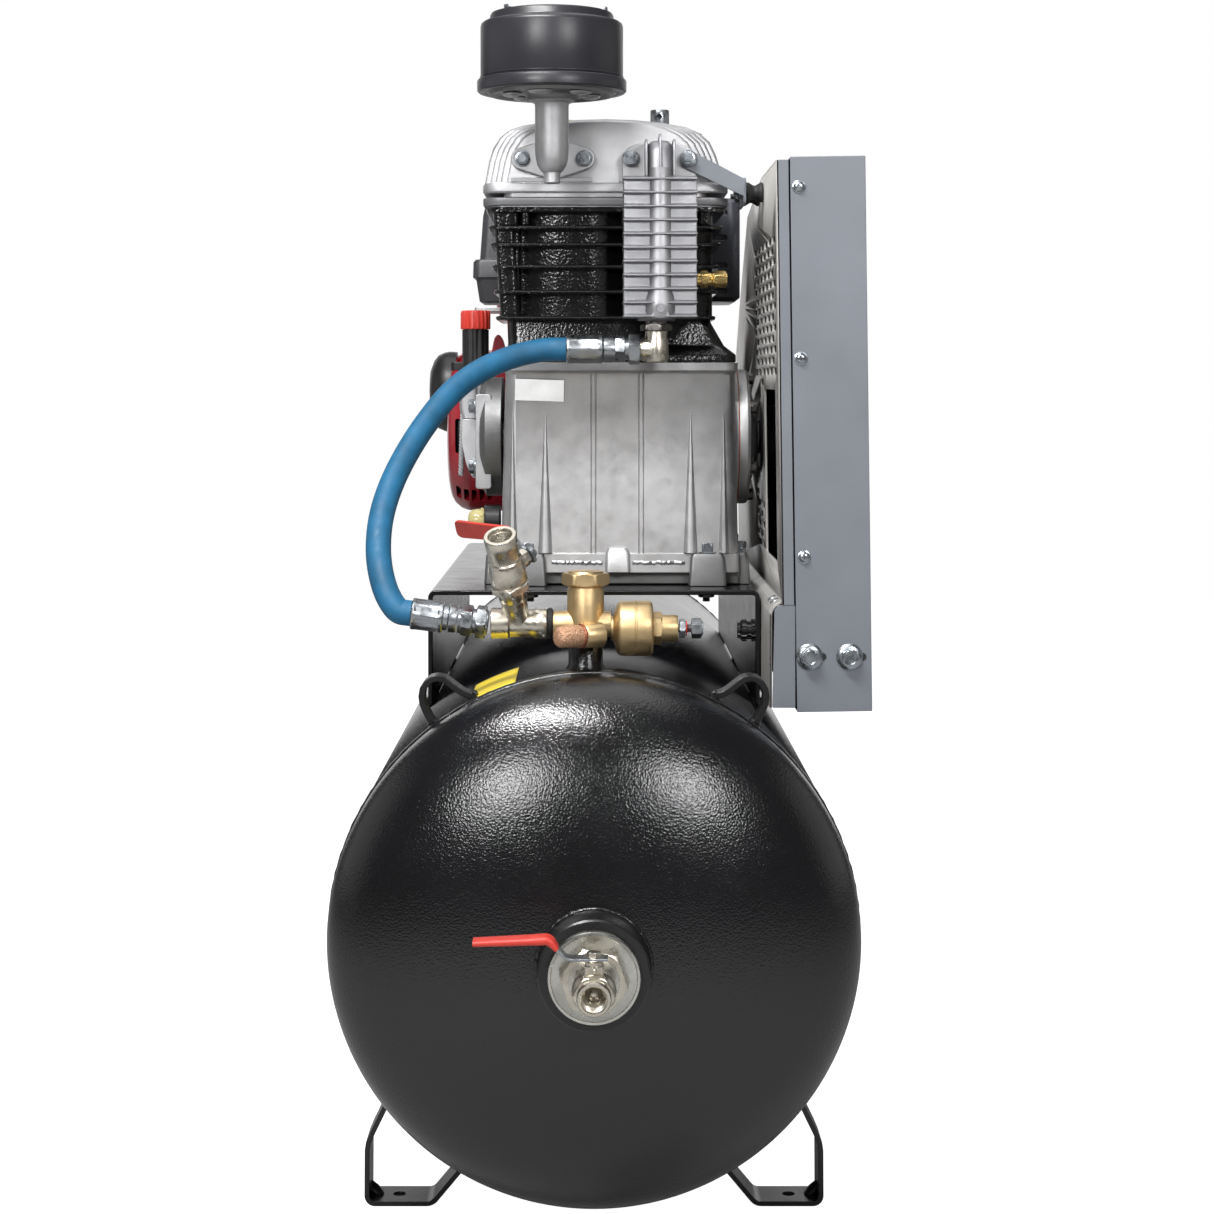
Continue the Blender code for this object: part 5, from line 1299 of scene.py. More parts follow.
def build_cylinders():
    """The finned block, bored for both pistons."""
    flare = stacked(6, (CASE_TOP + 0.0003, -0.096, 0.152, 0.301, 0.489, 0.012),
                       (CASE_TOP + 0.0085, -0.096, 0.152, 0.301, 0.489, 0.012),
                       (CASE_TOP + 0.01, -0.095, 0.15, 0.302, 0.488, 0.012),
                       (0.861, -0.0925, 0.14, 0.313, 0.477, 0.014),
                       (0.884, -0.0935, 0.127, 0.317, 0.473, 0.014),
                       (0.8905, -0.0935, 0.124, 0.317, 0.473, 0.014))
    foot = piece("block_foot", flare, "black_enamel", smooth=50, bevel=0.0012)
    barrels = piece("block_barrels", prism(barrel_outline(), 0.888, 1.006), "black_enamel", smooth=60)
    plates = []
    for i, z in enumerate(FIN_Z):
        grow = 0.002 * i
        top = z + 0.0016
        outline = rounded(-0.105 - grow, 0.13 + grow, 0.305, 0.485, 0.014, 8)
        inset = rounded(-0.104 - grow, 0.129 + grow, 0.306, 0.484, 0.013, 8)
        plates.append(loft([(top - 0.0044, inset), (top - 0.0034, outline), (top - 0.0008, outline),
                            (top, inset)]))
    deck = piece("block_deck", prism(rounded(-0.112, 0.137, 0.304, 0.486, 0.016, 8), 1.004, BLOCK_TOP),
                 "black_enamel")
    fins = piece("block_fins", joined(*plates), "black_enamel", smooth=50, stands_for="cylinder_block")
    for bored in (foot, barrels, deck, fins):
        carve(bored, bores())
    edges = []
    # Thin bands along the fins' front edges, lighter than the enamel: a painted highlight on the edges.
    for i, z in enumerate(FIN_Z[:-1]):
        grow = 0.002 * i
        outer = rounded(-0.1054 - grow, 0.1304 + grow, 0.3046, 0.4854, 0.014, 8)
        inner = rounded(-0.1035 - grow, 0.1285 + grow, 0.3065, 0.4835, 0.013, 8)
        low, high = z - 0.0006, z + 0.0003
        edges.append(skin([[(a, b, low) for a, b in outer], [(a, b, high) for a, b in outer],
                           [(a, b, high) for a, b in inner], [(a, b, low) for a, b in inner]], closed=True))
    piece("block_fin_lips", joined(*edges), "painted_edge_highlight", smooth=50)
    pillars = []
    for x, half in ((-0.089, 0.0075), (-0.0735, 0.004), (0.034, 0.005), (0.118, 0.006)):
        pillars.append(prism(rounded(x - half, x + half, 0.3085, 0.33, 0.003, 4), 0.99, 1.005))
        pillars.append(prism(rounded(x - half, x + half, 0.46, 0.4815, 0.003, 4), 0.99, 1.005))
    corner = stacked(4, (0.89, -0.1, -0.08, 0.311, 0.34, 0.005),
                        (1.004, -0.108, -0.086, 0.311, 0.34, 0.005))
    pillars.append(corner)
    piece("block_pillars", joined(*pillars), "black_enamel", smooth=50, bevel=0.0008)


# ---- head ----------------------------------------------------------------------------------------
HEAD_LINE = ((-0.1165, 1.0342), (-0.115, 1.042), (-0.112, 1.058), (-0.1075, 1.072), (-0.1, 1.0835),
             (-0.0895, 1.0915), (-0.074, 1.0965), (-0.05, 1.1), (-0.018, 1.1022), (0.012, 1.103),
             (0.043, 1.102), (0.072, 1.0992), (0.098, 1.0945), (0.113, 1.088), (0.124, 1.078),
             (0.1305, 1.064), (0.1355, 1.048), (0.1385, 1.0342))


def head_outline(inset, drop):
    """The head's arched front, shrunk towards its middle and lowered by a share."""
    low = HEAD_LINE[0][1]
    middle = 0.012
    points = []
    for x, z in HEAD_LINE:
        side = 1 if x > middle else -1
        squeeze = inset * min(abs(x - middle) / 0.09, 1.0) ** 2
        points.append((x - side * squeeze, low + (z - low) * (1 - drop)))
    return points


def build_head():
    """The stepped crown, rim, valve plate, pilot valve and studs."""
    stack = []
    steps = ((0.0, 0.0, 0.3095, 0.4805), (0.0055, 0.004, 0.307, 0.483), (0.011, 0.01, 0.3045, 0.4855),
             (0.0165, 0.018, 0.302, 0.488), (0.023, 0.03, 0.3, 0.49))
    for inset, drop, y0, y1 in steps:
        soft = [(y0, 0.0028, drop + 0.045), (y0 + 0.001, 0.0008, drop + 0.018), (y0 + 0.003, 0.0, drop),
                (y1 - 0.003, 0.0, drop), (y1 - 0.001, 0.0008, drop + 0.018), (y1, 0.0028, drop + 0.045)]
        stack.append(loft([(-y, head_outline(inset + more, low)) for y, more, low in reversed(soft)],
                          FRONTAL))
    piece("head_crown", joined(*stack), "head_aluminium", smooth=40)
    rim = stacked(8, (1.0236, -0.118, 0.1425, 0.301, 0.489, 0.02),
                     (1.0252, -0.119, 0.1435, 0.2995, 0.4905, 0.021),
                     (1.032, -0.119, 0.1435, 0.2995, 0.4905, 0.021),
                     (1.0345, -0.1172, 0.14, 0.3005, 0.4892, 0.021))
    spacer = prism(rounded(-0.096, 0.12, 0.303, 0.487, 0.012, 6), 1.019, 1.0238)
    piece("head_rim", joined(rim, spacer), "head_aluminium", smooth=45, bevel=0.0005,
          stands_for="cylinder_head")
    plate = stacked(8, (1.0105, -0.118, 0.1425, 0.3005, 0.4895, 0.021),
                       (1.0115, -0.119, 0.1435, 0.2995, 0.4905, 0.022),
                       (1.0178, -0.119, 0.1435, 0.2995, 0.4905, 0.022),
                       (1.0187, -0.118, 0.1425, 0.3005, 0.4895, 0.021))
    sheet = prism(rounded(-0.114, 0.139, 0.303, 0.487, 0.02, 8), 1.0088, 1.0101)
    piece("plate_stack", joined(plate, sheet), "fin_aluminium", smooth=45, stands_for="valve_plate")
    mid = prism(rounded(-0.098, 0.123, 0.304, 0.486, 0.012, 6), 1.0187, 1.0192)
    piece("plate_gasket", mid, "gasket")
    pads = joined(slab(-0.0885, -0.002, 0.2986, 0.301, 1.035, 1.0395),
                  slab(0.026, 0.112, 0.2986, 0.301, 1.035, 1.037))
    piece("head_pads", pads, "head_aluminium", bevel=0.0005)
    pilot = turned([(0, 1.093), (0.007, 1.093), (0.007, 1.0985), (0.0098, 1.1), (0.0104, 1.101),
                    (0.0104, 1.1185), (0.0098, 1.1195), (0, 1.1195)], 56)
    top = piece("pilot_valve", pilot, "zinc", at=(0.072, 0.375, 0))
    carve(top, rod(0.003, -0.03, 0.0, 32, TO_Y), at=(-0.0008, 0, 1.1115))
    nut = joined(hex_body(0.008, 1.098, 1.106), rod(0.0024, 1.098, 1.1075, 24))
    piece("head_plug", nut, "turned_brass", at=(-0.026, 0.36, 0), smooth=30)
    for i, (x, y) in enumerate(((-0.085, 0.345), (-0.085, 0.445), (0.012, 0.325), (0.012, 0.465),
                                (0.108, 0.345), (0.108, 0.445))):
        height = 1.0932 if abs(x) < 0.05 else 1.083
        well = turned([(0, 1.07), (0.0135, 1.07), (0.013, height - 0.0018), (0, height - 0.0018)], 48)
        bolt(f"head_stud_{i}", 0.015, 0.008, (x, y, height), UP, 0.011)
        piece(f"head_boss_{i}", well, "head_aluminium", at=(x, y, 0), smooth=40)


# ---- intake and filter ---------------------------------------------------------------------------
FILTER_X = -0.0435
FILTER_Y = 0.225
FLANGE_Z = 1.059
PAD_Y = 0.2985


def lens_flange(reach, end, middle):
    """Oval flange outline: a round middle and two rounded ears."""
    left = arc(-reach, 0.0, end, 118, 242, 10)
    right = arc(reach, 0.0, end, -62, 62, 10)
    low = arc(0.0, 0.0, middle, 240, 300, 10)
    high = arc(0.0, 0.0, middle, 60, 120, 10)
    return left + low + right + high


def build_intake_pipe():
    """The elbow from the head up to the filter, with its oval flange."""
    at = Vector((FILTER_X, 0, FLANGE_Z))
    flange = frontal(lens_flange(0.033, 0.0118, 0.0222), PAD_Y - 0.0085, PAD_Y)
    piece("intake_flange", flange, "head_aluminium", at=at, bevel=0.0012, smooth=40)
    arm = rod(0.016, FILTER_Y, PAD_Y - 0.004, 56, TO_Y)
    pipe = turned([(0, -0.032), (0.0082, -0.032), (0.0088, -0.0312), (0.0088, -0.0212), (0.0118, -0.019),
                   (0.015, -0.0135), (0.0168, -0.006), (0.0174, 0.003), (0.0174, 0.047), (0.018, 0.05),
                   (0.0225, 0.0518), (0.0228, 0.0548), (0, 0.0548)], 72)
    made = piece("intake_elbow", pose(pipe, (0, FILTER_Y, 0)), "head_aluminium", at=at, smooth=50,
                 stands_for="intake_pipe")
    carve(made, arm, "UNION")
    for side in (-1, 1):
        place = at + Vector((side * 0.033, PAD_Y - 0.0103, 0))
        bolt(f"intake_bolt_{'left' if side < 0 else 'right'}", 0.013, 0.0058, place, TO_MINUS_Y, 0.0088)


def build_filter():
    """Pan, lobes, cover with its clips, stud and wing nut."""
    hub = Vector((FILTER_X, FILTER_Y, 1.1125))
    base = turned([(0, 0.0), (0.026, 0.0), (0.027, 0.004), (0.03, 0.0062), (0.056, 0.0068), (0.059, 0.005),
                   (0.064, 0.0046), (0.066, 0.0075), (0.072, 0.0085), (0.072, 0.02), (0, 0.02)], 120)
    piece("filter_pan", base, "dark_aluminium", at=hub, smooth=40, stands_for="filter_base")
    lobes = []
    for k in range(6):
        turn = tau * k / 6 + radians(15)
        lobes.append(pose(gusset((0, 0, 0), UP, 0.0035, 0.0095, 0.013),
                          (0.042 * cos(turn), 0.042 * sin(turn), 0.0052), Matrix.Rotation(turn, 4, "Z")))
    piece("filter_lobes", joined(*lobes), "cast_aluminium", at=hub, smooth=60)
    rim = turned([(0.069, 0.0075), (0.0752, 0.0075), (0.0768, 0.009), (0.077, 0.0115), (0.077, 0.019),
                  (0.076, 0.0205), (0.0742, 0.0211), (0.069, 0.0211)], 144)
    can = turned([(0.0036, 0.0211), (0.0728, 0.0211), (0.0735, 0.0221), (0.0735, 0.0745), (0.0726, 0.0777),
                  (0.07, 0.0795), (0.0668, 0.0801), (0.0648, 0.0807), (0.064, 0.0821), (0.0636, 0.0862),
                  (0.0622, 0.0885), (0.059, 0.0895), (0.044, 0.0895), (0.041, 0.0877), (0.015, 0.0877),
                  (0.0036, 0.0877)], 144)
    seam = tube(0.0741, 0.0725, 0.0227, 0.0237, 144, edge=0.0003)
    piece("filter_can", joined(rim, can, seam), "charcoal_coat", at=hub, smooth=40, stands_for="filter_cover")
    tabs = []
    for k in range(3):
        turn = tau * k / 3 + radians(100)
        clip = joined(slab(0.05, 0.06, -0.0035, 0.0035, 0.0895, 0.0907),
                      slab(0.0588, 0.06, -0.0035, 0.0035, 0.0907, 0.093))
        tabs.append(pose(clip, turn=Matrix.Rotation(turn, 4, "Z")))
    piece("filter_clips", joined(*tabs), "zinc", at=hub, bevel=0.0004)
    stud = coil_thread(0.0029, 0.086, 0.0985, 0.001, 0.0003)
    piece("filter_stud", stud, "zinc", at=hub, smooth=30)
    nut = turned([(0.003, 0.0879), (0.0088, 0.0879), (0.0085, 0.0895), (0.0062, 0.0922), (0.0055, 0.0937),
                  (0.003, 0.0937)], 40)
    wing = eased([(0.004, 0.0885), (0.011, 0.0892), (0.0165, 0.0929), (0.016, 0.0977), (0.0125, 0.0979),
                  (0.009, 0.0942), (0.004, 0.0927)], 0.003, 4)
    piece("wing_nut", joined(nut, frontal(wing, -0.0014, 0.0014), frontal(mirrored(wing), -0.0014, 0.0014)),
          "zinc", "filter_nut", at=hub, smooth=40, bevel=0.0005, stands_for="filter_wing_nut")


# ---- aftercooler ---------------------------------------------------------------------------------
COOLER_X = (0.03, 0.108)
COOLER_Y = (0.236, 0.298)
COOLER_PITCH = 0.0143
COOLER_LOW = 0.8905


def build_aftercooler():
    """The finned column in front of the cylinders, with its flange."""
    x0, x1 = COOLER_X
    y0, y1 = COOLER_Y
    middle = (x0 + x1) / 2
    core = rounded(x0 + 0.0008, x1 - 0.0008, y0 + 0.007, y1 - 0.0005, 0.001, 2)
    web = prism(core, COOLER_LOW - 0.001, 1.035)
    tube_body = pose(turned([(0, 0.8885), (0.017, 0.8885), (0.0185, 0.896), (0.0182, 0.908), (0.0152, 0.92),
                             (0.015, 1.045), (0, 1.045)], 56), (middle, y0 + 0.0172, 0))
    plates = []
    for i in range(11):
        z = COOLER_LOW + COOLER_PITCH * i
        plates.append(loft([(z - 0.0012, rounded(x0 + 0.0006, x1 - 0.0006, y0 + 0.001, y1, 0.0015, 3)),
                            (z - 0.0004, rounded(x0, x1, y0, y1, 0.0015, 3)),
                            (z + 0.0006, rounded(x0, x1, y0, y1, 0.0015, 3)),
                            (z + 0.0013, rounded(x0 + 0.001, x1 - 0.001, y0 + 0.0024, y1, 0.0015, 3)),
                            (z + 0.003, rounded(x0 + 0.0008, x1 - 0.0008, y0 + 0.0066, y1, 0.0015, 3))]))
    piece("cooler_fins", joined(web, *plates), "fin_aluminium", smooth=50)
    piece("cooler_tube", tube_body, "fin_aluminium", smooth=60)
    shoulder = eased([(x0, 1.033), (x1, 1.033), (x1, 1.06), (x1 - 0.004, 1.069), (0.09, 1.0755),
                      (0.048, 1.0755), (x0 + 0.004, 1.069), (x0, 1.06)], 0.006, 4)
    piece("cooler_flange", frontal(shoulder, 0.2885, PAD_Y), "head_aluminium", bevel=0.0012)
    bell = stacked(8, (1.033, middle - 0.015, middle + 0.015, 0.242, 0.295, 0.012),
                      (1.062, middle - 0.0145, middle + 0.0145, 0.245, 0.295, 0.012),
                      (1.07, middle - 0.0125, middle + 0.0125, 0.25, 0.295, 0.011),
                      (1.0745, middle - 0.009, middle + 0.009, 0.258, 0.294, 0.008))
    piece("cooler_bell", bell, "fin_aluminium", smooth=60, stands_for="aftercooler")
    ribs = []
    for offset, top in ((-0.0145, 1.0755), (0.0, 1.081), (0.0145, 1.0755)):
        edge = [(0.2385, 1.0345), (0.24, 1.062), (0.243, top - 0.004), (0.248, top), (0.29, top),
                (0.29, 1.0345)]
        ribs.append(sideways(eased(edge, 0.003, 3), middle + offset - 0.0013, middle + offset + 0.0013))
    piece("cooler_ribs", joined(*ribs), "fin_aluminium", bevel=0.0006, smooth=50)
    for name, x in (("left", 0.0389), ("right", 0.0995)):
        place = (x, 0.2885 - (0.0034 if name == "left" else 0.0065), 1.0585)
        bolt(f"cooler_bolt_{name}", 0.0135, 0.0062, place, TO_MINUS_Y, 0.009)
    boss = pose(tube(0.0052, 0.0024, 0.0, 0.01, 40, TO_MINUS_Y, 0.0008), (middle, y0 + 0.0086, 0.899))
    piece("cooler_boss", boss, "fin_aluminium", smooth=40)
    # A black plug deep in the boss's bore: painted shade for the dark inside of the hole.
    piece("cooler_boss_hole_shade", pose(rod(0.0025, 0.0, 0.004, 24, TO_MINUS_Y), (middle, y0 + 0.008, 0.899)),
          "rubber")
    web_up = frontal([(middle - 0.011, 0.8895), (middle + 0.011, 0.8895), (middle + 0.005, 0.9),
                      (middle - 0.005, 0.9)], y0 + 0.0004, y0 + 0.008)
    piece("cooler_gusset", web_up, "fin_aluminium", bevel=0.001)
    collar = pose(turned([(0, 0.8862), (0.019, 0.8862), (0.02, 0.887), (0.02, 0.889), (0, 0.8895)], 64),
                  (middle - 0.0035, 0.266, 0))
    piece("cooler_collar", collar, "fin_aluminium", smooth=40)


def build_pump_fittings():
    """Relief valve, oil filler with its cap, and the sight glass."""
    at = Vector((0, 0.269, 0.93))
    relief = joined(tube(0.0068, 0.002, 0.1075, 0.113, 40, TO_X),
                    hex_body(0.0165, 0.1122, 0.1195, TO_X, bore=0.003),
                    turned([(0.002, 0.1195), (0.0072, 0.1195), (0.0072, 0.1232), (0.0062, 0.124),
                            (0.0072, 0.1248), (0.0072, 0.1262), (0.002, 0.1262)], 40, TO_X),
                    hex_body(0.0155, 0.1262, 0.1385, TO_X, bore=0.003),
                    tube(0.0066, 0.003, 0.1383, 0.14, 40, TO_X, 0.0004))
    piece("relief_valve", relief, "turned_brass", at=at, smooth=32, stands_for="safety_valve")
    neck = Vector((-0.131, SHAFT.y, 0.832))
    flutes = [0.0141 + 0.0006 * cos(12 * t) for t in turns(96)]
    bore = [0.0105] * 96
    wall = skin([ring(flutes, 0.0), ring(flutes, 0.048), ring(bore, 0.048), ring(bore, 0.0)], closed=True)
    piece("filler_tube", joined(wall, tube(0.016, 0.011, -0.006, 0.004, 48)), "black_plastic", at=neck,
          smooth=40, stands_for="oil_filler_tube")
    cap = knurled([0.0158 + 0.0007 * (1 if cos(18 * t) > 0 else -0.2) for t in turns(144)],
                  ((0.0484, 0.965), (0.0492, 1.0), (0.0655, 1.0), (0.0682, 0.96), (0.069, 0.9)))
    piece("filler_cap", joined(cap, rod(0.0098, 0.03, 0.05, 32)), "red_plastic", "oil_cap", at=neck,
          smooth=35, stands_for="oil_filler_cap")
    arm = swept([(-0.131, SHAFT.y, 0.827), (-0.131, SHAFT.y, 0.81), (-0.127, SHAFT.y, 0.802),
                 (-0.116, SHAFT.y, 0.798)], 0.011, 32)
    piece("filler_arm", arm, "head_aluminium", smooth=60)
    glass_at = Vector((0, 0.335, 0.672))
    cup = turned([(0, 0.1184), (0.0126, 0.1184), (0.013, 0.1196), (0.0128, 0.127), (0.0118, 0.1318),
                  (0.0092, 0.1348), (0.005, 0.1362), (0, 0.1365)], 64, TO_MINUS_X)
    piece("sight_bowl", joined(cup, hex_body(0.0245, 0.1186, 0.123, TO_MINUS_X)), "sight", at=glass_at,
          smooth=50, stands_for="oil_sight_glass")
    piece("sight_ring", tube(0.0172, 0.009, 0.101, 0.1182, 64, TO_MINUS_X, 0.0012), "black_plastic",
          at=glass_at)


build_case()
build_case_feet()
build_case_details()
build_right_cover()
build_left_cover()
build_cylinders()
build_head()
build_intake_pipe()
build_filter()
build_aftercooler()
build_pump_fittings()


# ---- belt guard and drive ------------------------------------------------------------------------
BELT_X = 0.228
BELTS = (0.2125, BELT_X, 0.2435)
LEAN = radians(0.83)
LEAN_Z = 0.77
SHEET = 0.002
GUARD_OUT = 0.272
PANEL_X = 0.184
ENGINE = Vector((0, 0.72, 0.762))
SLOT_PITCH = (0.053, 0.0111)
SLOT_SIZE = (0.037, 0.0072)
SLOT_ROWS = 30
SLOT_COLUMNS = 6
SLOT_START = (0.159, 0.645)


def guard_line(inset):
    """The guard's side view (Y, Z): flat over the flywheel, falling towards the engine pulley."""
    front, rear, floor, top = 0.12 + inset, 0.817 - inset, 0.495 + inset, 1.045 - inset
    return [(front, floor), (rear, floor), (rear, 0.863 - inset), (0.735, 0.919 - inset),
            (0.565, 1.019 - inset), (0.33, top), (front, top)]


def leaned(bm):
    """Lean a part of the guard outwards with the rest of it."""
    pivot = Vector((BELT_X, 0, LEAN_Z))
    turn = Matrix.Translation(pivot) @ Matrix.Rotation(-LEAN, 4, "Y") @ Matrix.Translation(-pivot)
    bmesh.ops.transform(bm, matrix=turn, verts=bm.verts)
    return bm


def punched_sheet(outline, holes, x):
    """A flat sheet at one X with holes of any outline, as open faces; Solidify gives it thickness."""
    points, edges = [], []
    for loop in [outline, *holes]:
        start = len(points)
        points += [Vector(p) for p in loop]
        edges += [(start + i, start + (i + 1) % len(loop)) for i in range(len(loop))]
    verts, _, faces, *_ = delaunay_2d_cdt(points, edges, [], 1, 1e-7)
    boxes = [(min(a for a, _ in h), max(a for a, _ in h), min(b for _, b in h), max(b for _, b in h), h)
             for h in holes]
    bm = bmesh.new()
    made = [bm.verts.new((x, v.x, v.y)) for v in verts]
    for face in faces:
        middle = sum((verts[i] for i in face), Vector((0, 0))) / len(face)
        inside = any(a0 < middle.x < a1 and b0 < middle.y < b1 and within(middle, h)
                     for a0, a1, b0, b1, h in boxes)
        if not inside:
            bm.faces.new([made[i] for i in face])
    bmesh.ops.recalc_face_normals(bm, faces=bm.faces)
    for vert in [v for v in bm.verts if not v.link_faces]:
        bm.verts.remove(vert)
    bmesh.ops.dissolve_limit(bm, angle_limit=0.001, verts=bm.verts, edges=bm.edges, delimit=set())
    return bm


def within(point, loop):
    """Whether a point lies inside a closed outline."""
    inside = False
    for (a0, b0), (a1, b1) in zip(loop, loop[1:] + loop[:1]):
        if (b0 > point.y) != (b1 > point.y) and point.x < (a1 - a0) * (point.y - b0) / (b1 - b0) + a0:
            inside = not inside
    return inside


def slot_holes():
    """Staggered rows of slots, left out at the window and round the shaft."""
    wide, high = SLOT_SIZE
    holes = []
    for row in range(SLOT_ROWS):
        z = SLOT_START[1] + SLOT_PITCH[1] * row
        shift = 0.25 if row % 2 else -0.25
        for column in range(SLOT_COLUMNS):
            y = SLOT_START[0] + SLOT_PITCH[0] * (column + shift)
            in_window = z < 0.826 and y + wide / 2 > 0.171 and y - wide / 2 < 0.326
            near_shaft = (Vector((y, z)) - Vector((SHAFT.y, SHAFT.z))).length < 0.066
            if y - wide / 2 > 0.128 and not in_window and not near_shaft:
                holes.append(rounded(y - wide / 2, y + wide / 2, z - high / 2, z + high / 2, 0.0015, 2))
    return holes


def raised(line, floor):
    """The guard's outline with its two lowest corners lifted to a floor of their own."""
    return [(line[0][0], floor), (line[1][0], floor), *line[2:]]


def build_guard_panel():
    """The punched inner sheet, the rim that stands on it and the bracket that it hangs from."""
    tray = raised(guard_line(SHEET + 0.0006), 0.601)
    window = rounded(0.175, 0.322, 0.64, 0.815, 0.004, 3)
    bore = circle(0.04, 48, SHAFT.y, SHAFT.z)
    pulley_bore = circle(0.03, 40, ENGINE.y, ENGINE.z)
    sheet = punched_sheet(tray, [window, bore, pulley_bore, *slot_holes()], PANEL_X + 0.001)
    panel = piece("guard_panel", leaned(sheet), "warm_coat", smooth=20)
    thick = panel.modifiers.new("Sheet", "SOLIDIFY")
    thick.thickness = SHEET
    thick.offset = 0.0
    hollow = raised(guard_line(2 * SHEET + 0.0006), 0.603)
    loops = ((PANEL_X, tray), (0.1962, tray), (0.1962, hollow), (PANEL_X, hollow))
    rim = skin([[(x, a, b) for a, b in loop] for x, loop in loops], closed=True)
    piece("guard_rim", leaned(rim), "grey_coat", bevel=0.0006, stands_for="belt_guard_panel")
    outer, inner = guard_line(0.0), guard_line(SHEET)
    cover = piece("guard_cover", leaned(sideways(outer, 0.1975, GUARD_OUT)), "grey_coat",
                  stands_for="belt_guard_cover")
    carve(cover, leaned(sideways(inner, 0.15, GUARD_OUT - SHEET)))
    soften(cover, 0.0009, 2, 40)
    fold = eased([(0.188, 0.617), (0.1876, 0.604), (0.179, 0.599), (0.1757, 0.5935), (0.1757, 0.498)], 0.002,
                 3, True)
    piece("guard_bracket", frontal(bent_bar(fold, 0.0026), 0.1265, 0.81), "warm_coat", bevel=0.0004)
    front = [(0.177, 0.4985), (0.2, 0.4985), (0.2, 0.6005), (0.183, 0.6005), (0.179, 0.596), (0.179, 0.592)]
    piece("guard_support", frontal(eased(front, 0.0015, 2), 0.1232, 0.1252), "grey_coat", bevel=0.0005)
    lip = sideways([(0.1232, 0.499), (0.14, 0.499), (0.14, 0.592), (0.1232, 0.592)], 0.1745, 0.1757)
    piece("guard_support_edge", lip, "dark_steel", bevel=0.0003)


def build_guard_fasteners():
    """Two rivets, three cross-headed screws and the two flange bolts in their slots, each slot a dark oblong
    of painted shade.
    """
    for i, y in enumerate((0.158, 0.19)):
        rivet = turned([(0, 0.0), (0.0052, 0.0), (0.005, 0.0012), (0.0036, 0.0025), (0, 0.0031)], 32)
        slope = Matrix.Rotation(radians(-24), 4, "Y")
        piece(f"guard_rivet_{i}", pose(rivet, (0.1822, y, 0.601), slope), "zinc", smooth=60)
    for i, (x, z) in enumerate(((0.2022, 1.015), (0.2046, 0.8455), (0.208, 0.6487))):
        head = turned([(0, 0.0), (0.0066, 0.0), (0.0066, 0.0007), (0.0052, 0.0012), (0.0046, 0.003),
                       (0.003, 0.0041), (0, 0.0042)], 40, TO_MINUS_Y)
        screw = piece(f"guard_screw_{i}", pose(head, (x, 0.1198, z)), "zinc_bolt", smooth=50)
        half, arm = 0.0005, 0.0023
        cross = [(half, half), (half, arm), (-half, arm), (-half, half), (-arm, half), (-arm, -half),
                 (-half, -half), (-half, -arm), (half, -arm), (half, -half), (arm, -half), (arm, half)]
        carve(screw, pose(prism(cross, 0.0024, 0.006), (x, 0.1198, z), TO_MINUS_Y))
    for i, x in enumerate((0.2137, 0.2533)):
        flange = turned([(0, 0.0), (0.0128, 0.0), (0.0131, 0.0006), (0.0126, 0.0012), (0.0088, 0.003),
                         (0, 0.0032)], 64)
        dish = turned([(0, 0.0028), (0.0072, 0.0028), (0.0072, 0.0088), (0.0066, 0.0092), (0.0058, 0.0086),
                       (0, 0.0086)], 48)
        head = joined(flange, dish, hex_body(0.016, 0.0026, 0.009, bore=0.006, spin=radians(15 + 20 * i)))
        piece(f"guard_flange_bolt_{i}", pose(head, (x, 0.1196, 0.5499), TO_MINUS_Y), "zinc_bolt", smooth=32)
        # A thin black oblong on the guard's face round each bolt: painted shade for the open slot.
        oblong = frontal(rounded(x - 0.01, x + 0.0165, 0.5462, 0.5536, 0.0036, 5), 0.1194, 0.1202)
        piece(f"guard_bolt_slot_shade_{i}", oblong, "rubber")


def build_stay():
    """The strap from the aftercooler to the guard, with its two rubber mounts."""
    strap = eased([(0.0905, 1.056), (0.093, 1.05), (0.1585, 1.0185), (0.1612, 1.0235), (0.1612, 1.036),
                   (0.102, 1.0672), (0.0945, 1.0668)], 0.002, 3)
    piece("stay_strap", frontal(strap, 0.285, 0.2882), "grey_coat", bevel=0.0006)
    tab = sideways(rounded(0.285, 0.376, 1.0105, 1.0385, 0.004, 4), 0.158, 0.161)
    piece("stay_tab", tab, "grey_coat", bevel=0.0006, stands_for="guard_stay")
    for name, y in (("front", 0.302), ("rear", 0.356)):
        waist = turned([(0, 0.1613), (0.01, 0.1613), (0.0106, 0.162), (0.0106, 0.1642), (0.0092, 0.1665),
                        (0.0076, 0.169), (0.0072, 0.1705), (0.0076, 0.1722), (0.0092, 0.175),
                        (0.0106, 0.1768), (0.0106, 0.179), (0.01, 0.1797), (0, 0.1797)], 56, TO_X)
        piece(f"mount_{name}", waist, "rubber", at=(0, y, 1.024), smooth=50, stands_for=f"guard_mount_{name}")
        nut = joined(hex_body(0.0115, 0.153, 0.1572, TO_X, bore=0.0025),
                     coil_thread(0.003, 0.1485, 0.158, 0.001, 0.0003, turn=TO_X),
                     tube(0.0078, 0.003, 0.1571, 0.158, 40, TO_X, 0.0002))
        piece(f"mount_nut_{name}", nut, "zinc", at=(0, y, 1.024), smooth=30)


def band_line(extra):
    """A belt's run round the flywheel and the engine pulley, `extra` outside the grooves' floors."""
    big, small = 0.2063 + extra, 0.0661 + extra
    dy, dz = ENGINE.y - SHAFT.y, ENGINE.z - SHAFT.z
    heading = atan2(dz, dy) * 180 / pi
    spread = acos((big - small) / sqrt(dy * dy + dz * dz)) * 180 / pi
    return [*arc(SHAFT.y, SHAFT.z, big, heading + spread, heading + 360 - spread, 90),
            *arc(ENGINE.y, ENGINE.z, small, heading - spread, heading + spread, 40)]


def grooves(rim, floor):
    """A wheel's outline (radius, X) across its three belt grooves."""
    line = []
    for x in BELTS:
        line += [(rim, x - 0.0068), (floor, x - 0.0048), (floor, x + 0.0048), (rim, x + 0.0068)]
    return line


